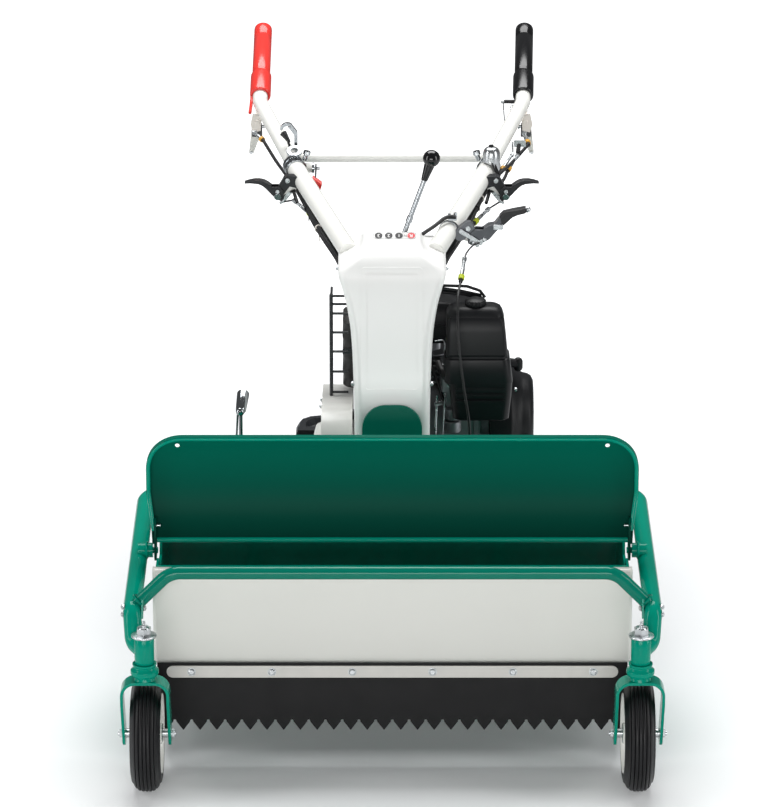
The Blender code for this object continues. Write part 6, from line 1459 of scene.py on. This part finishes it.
# Drop-forged steel, oiled: dark grey
dark_steel = surface("dark_steel", "5A5C60", 0.36, 0.6, grain_mm=1.5, depth_mm=0.04, patch_mm=25, patch=0.1)
x, y, z = clutch
outline = ((-0.0115, -0.003), (-0.0095, 0.008), (-0.002, 0.018), (0.0059, 0.0222), (0.0183, 0.0213),
           (0.0300, 0.0300), (0.0417, 0.0320), (0.0525, 0.0457), (0.0621, 0.0543), (0.0799, 0.0586),
           (0.0991, 0.0623), (0.1080, 0.0650), (0.1074, 0.0572), (0.0882, 0.0529), (0.0773, 0.0486),
           (0.0650, 0.0371), (0.0568, 0.0285), (0.0445, 0.0156), (0.0323, 0.0012), (0.0213, -0.0055),
           (0.0061, -0.0102), (-0.004, -0.0110), (-0.0105, -0.0080))
bm = block_of([(x + a, z + b) for a, b in outline], y - 0.0135, y + 0.0135, "Y")
bm = shaped(bm, "DIFFERENCE", block_of(rounded_box((x - 0.03, z - 0.03), (x + 0.021, z + 0.03), 0.004),
                                       y - 0.0102, y + 0.0102, "Y"))
for vert in bm.verts:
    vert.co.y = y + (vert.co.y - y) * (1 - 0.35 * min(1, max(0, (vert.co.x - x - 0.03) / 0.07)))
piece("rotor_clutch_lever", bm, dark_steel, "knife_clutch_lever", ["knife_clutch_lever"],
      35, edge=0.0016)
outline = ((0.0575, 0.0272), (0.0660, 0.0345), (0.0785, 0.0462), (0.0890, 0.0508), (0.1040, 0.0545),
           (0.1062, 0.0585), (0.1045, 0.0655), (0.0985, 0.0642), (0.0790, 0.0606), (0.0600, 0.0560),
           (0.0515, 0.0470))
bm = block_of([(x + a, z + b) for a, b in outline], y - 0.0122, y + 0.0122, "Y")
piece("clutch_sleeve", bm, hose_rubber, "knife_clutch_lever", smooth=35, edge=0.0022)
bm = bmesh.new()
ball(bm, (x + 0.1085, y, z + 0.0600), 0.0066, 24, 16)
slab(bm, rounded_box((x + 0.040, z + 0.0230), (x + 0.060, z + 0.0330), 0.002), y - 0.0190, y - 0.0100, "Y")
piece("clutch_catch", bm, zinc_plate, "knife_clutch_lever", edge=0.0005)

x, y, z = throttle
bm = shaped(block_of(around([(y, z, 0.009), (y - 0.066, z - 0.004, 0.0035)]), x - 0.0015, x + 0.0015),
            "DIFFERENCE", block_of(arc((y, z), 0.0048, 0, 345, 23), x - 0.01, x + 0.01))
piece("throttle_arm", bm, black_paint, "throttle_lever", smooth=35, edge=0.0004)
bm = block_of([(x - 0.0065, z + 0.0030), (x + 0.0140, z - 0.0120), (x + 0.0102, z - 0.0245),
               (x - 0.0020, z - 0.0100)], y - 0.086, y - 0.060, "Y")
piece("throttle_tab", bm, red_rubber, "throttle_lever", ["throttle_lever"], 35, edge=0.0016)


# Lever brackets: cast cheeks clamped on the tubes, black for the finger levers and grey for
# the rotor's, each with a zinc link on its face and a wire adjuster with a coloured ring.

# Cast steel, tumbled and clear coated: mid grey with a soft gleam
cast_grey = surface("cast_grey", "6E7074", 0.38, 0.7, grain_mm=1.5, depth_mm=0.05, patch_mm=25, patch=0.1)
# Moulded nylon, undyed and in two bright dyes: flat and even
tie_white = surface("nylon_tie", "E0DAD2", 0.35, grain_mm=1.5, depth_mm=0.01)
yellow_ring = surface("yellow_ring", "B9C62B", 0.35, grain_mm=1.5, depth_mm=0.01)
amber_ring = surface("amber_ring", "E0A63A", 0.35, grain_mm=1.5, depth_mm=0.01)


def adjuster(name, start, end, ring, size=1.0):
    """A threaded barrel with its nut, a coloured ring and a rubber nub, from start to end."""
    start, end = Vector(start), Vector(end)
    bm = bmesh.new()
    rod(bm, start, start.lerp(end, 0.12), 0.0044 * size, 6)
    rod(bm, start.lerp(end, 0.02), start.lerp(end, 0.80), 0.0027 * size, 16)
    for i in range(14):
        share = 0.15 + i * 0.020
        rod(bm, start.lerp(end, share), start.lerp(end, share + 0.010), 0.0031 * size, 16)
    rod(bm, start.lerp(end, 0.46), start.lerp(end, 0.78), 0.0036 * size, 20)
    piece(f"{name}_barrel", bm, zinc_plate, "chassis", edge=0.0003)
    bm = bmesh.new()
    rod(bm, start.lerp(end, 0.76), start.lerp(end, 0.93), 0.0054 * size, 12)
    piece(f"{name}_ring", bm, ring, "chassis", edge=0.0006)
    bm = bmesh.new()
    rod(bm, start.lerp(end, 0.92), start.lerp(end, 1.06), 0.0040 * size, 20, 0.0033 * size)
    piece(f"{name}_nub", bm, hose_rubber, "chassis", edge=0.0004)


for side, sign in SIDES:
    pivot = squeeze[sign]
    near, high = lower_tube_at(FINGER_Y, sign), pivot + Vector((-sign * 0.021, 0, 0.033))
    y = pivot.y
    inner = Vector((near.x + sign * 0.010, 0, near.z))
    bm = block_of(around([(pivot.x, pivot.z, 0.0085), (high.x, high.z, 0.0100)]), y - 0.0083, y + 0.0083, "Y")
    bm = shaped(bm, "UNION", block_of(around([(high.x, high.z, 0.0100), (inner.x, inner.z, 0.0120)]),
                                      y - 0.0110, y + 0.0110, "Y"))
    piece(f"lever_bracket_{side}", bm, cast_black, "chassis", edge=0.0016)
    bm = bmesh.new()
    rod(bm, (high.x, y - 0.0125, high.z), (high.x, y, high.z), 0.0048, 24)
    rod(bm, (high.x, y - 0.0133, high.z), (high.x, y - 0.012, high.z), 0.0028, 6)
    low = pivot + Vector((-sign * 0.028, 0, 0.010))
    foot = pivot + Vector((-sign * 0.010, 0, -0.0125))
    slab(bm, around([(low.x, low.z, 0.0045), (foot.x, foot.z, 0.0040)]), y - 0.0050, y + 0.0050, "Y")
    slab(bm, around([(high.x, high.z, 0.0040), (low.x, low.z, 0.0045)]), y - 0.0050, y + 0.0050, "Y")
    for at in (pivot + Vector((0, 0, 0.0105)), pivot + Vector((-sign * 0.0202, 0, 0.0344))):
        pin(bm, at, (0, 1, 0), -0.0145, 0, 0.0042, 24)
    for shift in (0, 0.0065):
        at = foot + Vector((sign * shift * 0.6, 0, -shift * 0.3))
        pin(bm, at, (0, 1, 0), -0.0095, -0.004, 0.0030, 6)
    piece(f"lever_link_{side}", bm, zinc_plate, "chassis", edge=0.0006)
    eye = pivot + Vector((-sign * 0.012, -0.002, -0.014))
    start = Vector((-0.2024, 0.280, 0.8208) if sign < 0 else (0.1999, 0.270, 0.8050))
    end = Vector((-0.1600, 0.197, 0.8087) if sign < 0 else (0.1655, 0.178, 0.7990))
    bm = bmesh.new()
    tube(bm, smooth_path([eye, eye.lerp(start, 0.5), start.lerp(eye, -0.1)], 12), 0.0019, 12)
    wire = piece(f"lever_wire_{side}", bm, hose_rubber, None)
    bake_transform(wire)
    adjuster(f"steering_adjuster_{side}", start, end, yellow_ring, 1.2)

near = lower_tube_at(clutch.y)
high = Vector((0.1525, clutch.y, 0.8375))
y = clutch.y
bm = block_of(around([(clutch.x, clutch.z, 0.0095), (high.x, high.z, 0.0120)]), y - 0.0095, y + 0.0095, "Y")
bm = shaped(bm, "UNION", block_of(around([(high.x, high.z, 0.0120), (near.x + 0.008, near.z, 0.0130)]),
                                  y - 0.0097, y + 0.0097, "Y"))
piece("clutch_bracket", bm, cast_grey, "chassis", edge=0.0014)
bm = bmesh.new()
rod(bm, (high.x, y - 0.0150, high.z), (high.x, y, high.z), 0.0050, 24)
slab(bm, around([(0.1385, 0.8330, 0.0045), (0.1780, 0.8085, 0.0040)]), y - 0.0195, y - 0.0150, "Y")
for x, z in ((0.1640, 0.8080), (0.1710, 0.8045), (0.1800, 0.8130), (0.1855, 0.8160)):
    rod(bm, (x, y - 0.0200, z), (x, y - 0.0130, z), 0.0046, 6)
    rod(bm, (x, y - 0.0220, z), (x, y - 0.0100, z), 0.0026, 12)
piece("clutch_link", bm, zinc_plate, "chassis", edge=0.0005)


# Travel lever fittings: a plate hung under each grip, an adjuster below it, and on the left
# a second pair of wires with its own stud, spring and stop plate.

for side, sign in SIDES:
    x, y, z = hanger[sign]
    bm = bmesh.new()
    plate = [(-0.0085, 0.0300), (0.0110, 0.0320), (0.0160, 0.0080), (0.0110, -0.0090), (-0.0055, -0.0060)]
    slab(bm, [(x + sign * a, z + b) for a, b in plate], y - 0.0150, y - 0.0128, "Y")
    slab(bm,
         [(x + sign * a, z + b) for a, b in ((-0.0085, 0.0290), (0.0060, 0.0310), (0.0060, 0.0290),
                                             (-0.0085, 0.0270))], y - 0.0150, y + 0.0050, "Y")
    spun(bm, [(0, -0.0180), (0.0042, -0.0180), (0.0048, -0.0170), (0.0048, -0.0145), (0, -0.0145)],
         (x + sign * 0.0010, y, z + 0.0140), "Y", 24)
    piece(f"hanger_plate_{side}", bm, tie_white, "chassis", edge=0.0004)
    if sign < 0:
        strap = smooth_path([(-0.3000, 0.738, 0.934), (-0.3020, 0.700, 0.914), (-0.3036, 0.660, 0.905)], 8)
        cord("grip_strap", red_rubber, (strap, 0.0036, 12))
    start = Vector((-0.2950, 0.640, 0.8679) if sign < 0 else (x - 0.002, y - 0.010, z - 0.010))
    ring = Vector((-0.2740, 0.610, 0.8570) if sign < 0 else (0.2905, 0.560, 0.8620))
    adjuster(f"travel_adjuster_{side}", start, ring, amber_ring, 1.2)
    bm = bmesh.new()
    merge = lower_tube_at(0.340, sign) + Vector((sign * 0.018, 0, -0.014))
    tube(bm, smooth_path([ring, ring.lerp(merge, 0.5) + Vector((0, 0, -0.002)), merge,
                          lower_tube_at(0.260, sign) + Vector((sign * 0.016, 0, -0.031))]), 0.0036, 16)
    if sign > 0:
        for start, end in (((0.2500, 0.470, 0.8560), (0.2281, 0.420, 0.8425)),
                           ((0.2640, 0.470, 0.8530), (0.2420, 0.420, 0.8415))):
            tube(bm, smooth_path([end, (end[0] - 0.006, 0.385, 0.8390), (end[0] - 0.018, 0.340, 0.8330)], 12),
                 0.0034, 14)
        slab(bm, rounded_box((0.2060, 0.832), (0.2240, 0.850), 0.003), 0.372, 0.392, "Y")
        rod(bm, (0.2430, 0.750, 0.9060), (0.2730, 0.745, 0.9070), 0.0042, 20)
        rod(bm, (0.2690, 0.500, 0.8790), (0.2660, 0.488, 0.8640), 0.0046, 16)
    else:
        rod(bm, (-0.2270, 0.440, 0.9200), (-0.2140, 0.425, 0.9050), 0.0075, 20, 0.0030)
        tube(bm, smooth_path([(-0.2190, 0.430, 0.9110), (-0.2120, 0.420, 0.8900), (-0.2090, 0.400, 0.8560)],
                             10), 0.0026, 12)
    piece(f"travel_cables_{side}", bm, hose_rubber, "chassis")

for name, start, end in (("upper", (0.2555, 0.480, 0.8640), (0.2281, 0.420, 0.8425)),
                         ("lower", (0.2660, 0.488, 0.8600), (0.2420, 0.420, 0.8415))):
    adjuster(f"brake_adjuster_{name}", start, end, amber_ring)
bm = bmesh.new()
slab(bm, rounded_box((0.2582, 0.8740), (0.2830, 0.8880), 0.0015), 0.4975, 0.5000, "Y")
rod(bm, (0.2370, 0.751, 0.9060), (0.2440, 0.750, 0.9060), 0.0048, 6)
rod(bm, (0.2550, 0.500, 0.8840), (0.2550, 0.482, 0.8640), 0.0020, 12)
tube(bm, smooth_path([(0.2420, 0.750, 0.9040), (0.2430, 0.735, 0.8860), (0.2455, 0.715, 0.8620)], 8), 0.0012,
     8)
turns = [(0.2600 + 0.0032 * cos(2 * pi * i / 10), 0.742 + 0.0032 * sin(2 * pi * i / 10) - i * 0.00022,
          0.8990 - i * 0.00033) for i in range(101)]
tube(bm, turns, 0.0008, 6)
tube(bm, smooth_path([(0.2600, 0.748, 0.9060), (0.2600, 0.730, 0.8900), (0.2610, 0.712, 0.8640)], 8), 0.0011,
     8)
piece("brake_fittings", bm, zinc_plate, "chassis")
# Folded clip over the throttle's stop, with its lug and the eye that the tie bar is screwed to
bm = bmesh.new()
outer = [(-0.2330, 0.9340), *arc((-0.2180, 0.9310), 0.0160, 160, 60, 8),
         *arc((-0.2080, 0.9240), 0.0110, 45, 0, 4), (-0.1970, 0.8760)]
inner = [(a + (0.0030 if a < -0.21 else -0.0068), b - 0.0060) for a, b in outer]
slab(bm, outer + inner[::-1], 0.4200, 0.4300, "Y")
piece("throttle_clip", bm, chrome, "chassis", edge=0.0004)
bm = bmesh.new()
spun(bm, [(0.0085, -0.0030), (0.0155, -0.0030), (0.0165, -0.0020), (0.0165, 0.0020), (0.0155, 0.0030),
          (0.0085, 0.0030)], (0, 0, 0), "Z", 40, True)
bm.transform(Matrix.Translation((-0.2032, 0.3960, 0.8925)) @ Matrix.Rotation(radians(28), 4, "X"))
piece("clip_eye", bm, chrome, "chassis", edge=0.0004)


# Stop switch: a plated cap saddled on the left handle, a black button on its shoulder and
# its wire led down to the cables.

at = lower_tube_at(0.352) + Vector((0.002, 0, 0))
push = Vector((0.0062, 0, 0))
bm = bmesh.new()
spun(bm, [(0, 0.004), (0.0170, 0.004), (0.0176, 0.006), (0.0178, 0.030), (0.0171, 0.0305), (0.0171, 0.0318),
          (0.0178, 0.0324), (0.0175, 0.039), (0.0161, 0.0455), (0.0128, 0.0500), (0.0082, 0.0524),
          (0, 0.0530)], at + Vector((0.007, 0, 0)), "Z", 64)
bm = bored(bm, lower_tube_at(0.300), lower_tube_at(0.420), 0.0230, 48)
bm = bored(bm, at + push + Vector((0, 0, 0.040)), at + push + Vector((0, 0, 0.070)), 0.0058)
piece("switch_cap", bm, zinc_plate, "chassis", ["switch_box"], edge=0.0006)
bm = bmesh.new()
spun(bm, [(0, 0.0445), (0.0052, 0.0445), (0.0052, 0.0552), (0.0046, 0.0566), (0.0030, 0.0571), (0, 0.0572)],
     at + push, "Z", 32)
piece("stop_push", bm, black_plastic, "stop_button", ["stop_button"])
cord("switch_wires", hose_rubber, *((smooth_path([at + Vector(shift) for shift in shifts], 14), thick_of, 12)
                                    for shifts, thick_of in ((((0.006, -0.014, 0.026), (0.012, -0.019, 0.012),
                                                               (0.020, -0.016, -0.006),
                                                               (0.018, -0.014, -0.026)), 0.0022),
                                                             (((0.010, -0.012, 0.026), (0.018, -0.016, 0.010),
                                                               (0.023, -0.012, -0.008),
                                                               (0.020, -0.010, -0.026)), 0.0018))))


# Cables: four black sheathed cables strapped together under each handle and led into the
# dash, and one that runs down from the rotor's lever to the gear case. All held at both ends.

for side, sign in SIDES:
    route = [tube_at(y, sign) + Vector((sign * out, 0, -down)) for y, out, down in (
        (0.345, 0.007, 0.0235), (0.250, 0.009, 0.0250), (0.150, 0.013, 0.0280), (0.060, 0.013, 0.0290))]
    route += [mirrored(p, sign) for p in ((0.107, -0.002, 0.780), (0.097, -0.050, 0.766),
                                          (0.086, -0.062, 0.758))]
    path = smooth_path(route, 36)
    ways = [(b - a).normalized() for a, b in zip(path, path[1:])] + [(path[-1] - path[-2]).normalized()]
    bm = bmesh.new()
    for turn, radius in ((35, 0.0036), (130, 0.0034), (215, 0.0036), (305, 0.0031)):
        strand = []
        for i, (point, way) in enumerate(zip(path, ways)):
            across = way.cross(Vector((0, 0, 1))).normalized()
            over = across.cross(way)
            a = radians(turn + 30 * sin(i / 9))
            strand.append(point + (across * cos(a) + over * sin(a)) * 0.0044)
        tube(bm, strand, radius, 14)
    piece(f"cables_{side}", bm, hose_rubber, "chassis", [f"cable_bundle_{side}"])
    for name, finish, spots in (("tie", hose_rubber, (8, 27)),
                                ("white_tie", tie_white, (14,) if sign < 0 else (5,))):
        bm = bmesh.new()
        for spot in spots:
            a, b = path[spot] - ways[spot] * 0.0022, path[spot] + ways[spot] * 0.0022
            rod(bm, a, b, 0.0088, 24)
            rod(bm, path[spot] + Vector((0, -0.006, -0.006)),
                path[spot] + Vector((-sign * 0.001, -0.009, -0.024)), 0.0012, 6)
        piece(f"{name}_{side}", bm, finish, "chassis", edge=0.0004)
start, end = (0.1452, -0.036, 0.7930), (0.1366, -0.082, 0.7585)
route = [end, (0.1336, -0.100, 0.7500), (0.1303, -0.130, 0.7371), (0.1299, -0.170, 0.6890),
         (0.1344, -0.180, 0.6313), (0.1420, -0.185, 0.5717), (0.1540, -0.190, 0.4811), (0.146, -0.192, 0.400),
         (0.112, -0.192, 0.345), (0.0753, -0.192, 0.335)]
inner = [(0.1750, 0.010, 0.8100), (0.1614, 0.000, 0.8069), (0.1496, -0.020, 0.7990), start]
loop = [(0.060, -0.010, 0.8340), (0.086, 0.010, 0.8460), (0.108, 0.030, 0.8570), (0.128, 0.036, 0.8560)]
bm = bmesh.new()
for points, count, radius, sides in ((route, 80, 0.0026, 20), (inner, 16, 0.0018, 12),
                                     (loop, 16, 0.0040, 16)):
    tube(bm, smooth_path(points, count), radius, sides)
piece("clutch_cable", bm, hose_rubber, "chassis", ["knife_clutch_cable"])
adjuster("clutch_adjuster", start, end, yellow_ring, 1.2)
bm = bmesh.new()
at = tube_at(0.042)
rod(bm, at - JOINT_ALONG * 0.004, at + JOINT_ALONG * 0.004, 0.0206, 40)
slab(bm, rounded_box((0.1130, 0.849), (0.1300, 0.8585), 0.002), 0.034, 0.046, "Y")
for x, z in ((0.1150, 0.8620), (0.1270, 0.8640)):
    rod(bm, (x, 0.040, z - 0.010), (x, 0.040, z), 0.0040, 6)
piece("cable_clamp", bm, chrome, "chassis", edge=0.0004)


# Cutting height lever: a chromed rod on the frame tube's lug, with a thin release rod beside
# it and a chromed hand piece bent back at the top.

x, y, z = lug_x, FRAME_REAR, lug_z
bm = bmesh.new()
spun(bm, [(0.0058, -0.005), (0.0115, -0.005), (0.0120, -0.0045), (0.0120, 0.0045), (0.0115, 0.005),
          (0.0058, 0.005)], (x, y, z), "X", 40, True)
tube(bm, [(x, y, z + 0.008), (x, y + 0.010, z + 0.122)], 0.0040, 24)
tube(bm, smooth_path([(x - 0.008, y - 0.002, z + 0.030), (x - 0.0082, y + 0.003, z + 0.074),
                      (x - 0.006, y + 0.008, z + 0.118)], 10), 0.0022, 16)
rod(bm, (x - 0.010, y - 0.001, z + 0.032), (x + 0.001, y - 0.001, z + 0.032), 0.0035, 20)
spun(bm, [(0.0040, 0.036), (0.0056, 0.036), (0.0056, 0.046), (0.0040, 0.046)], (x, y + 0.0035, z), "Z", 20,
     True)
ball(bm, (x - 0.001, y + 0.010, z + 0.122), 0.0090, 32, 20)
start, end = Vector((x, y + 0.010, z + 0.122)), Vector((x + 0.004, y + 0.052, z + 0.146))
hold = bmesh.new()
spun(hold, [(0, 0), (0.0088, 0), (0.0105, 0.004), (0.0118, 0.030), (0.0125, 0.044), (0.0118, 0.0475),
            (0.0080, 0.0488), (0, 0.0488)], (0, 0, 0), "Z", 40)
joined(bm, hold, facing(start, end - start))
piece("height_rod", bm, chrome, "height_lever", ["height_lever"], 40)
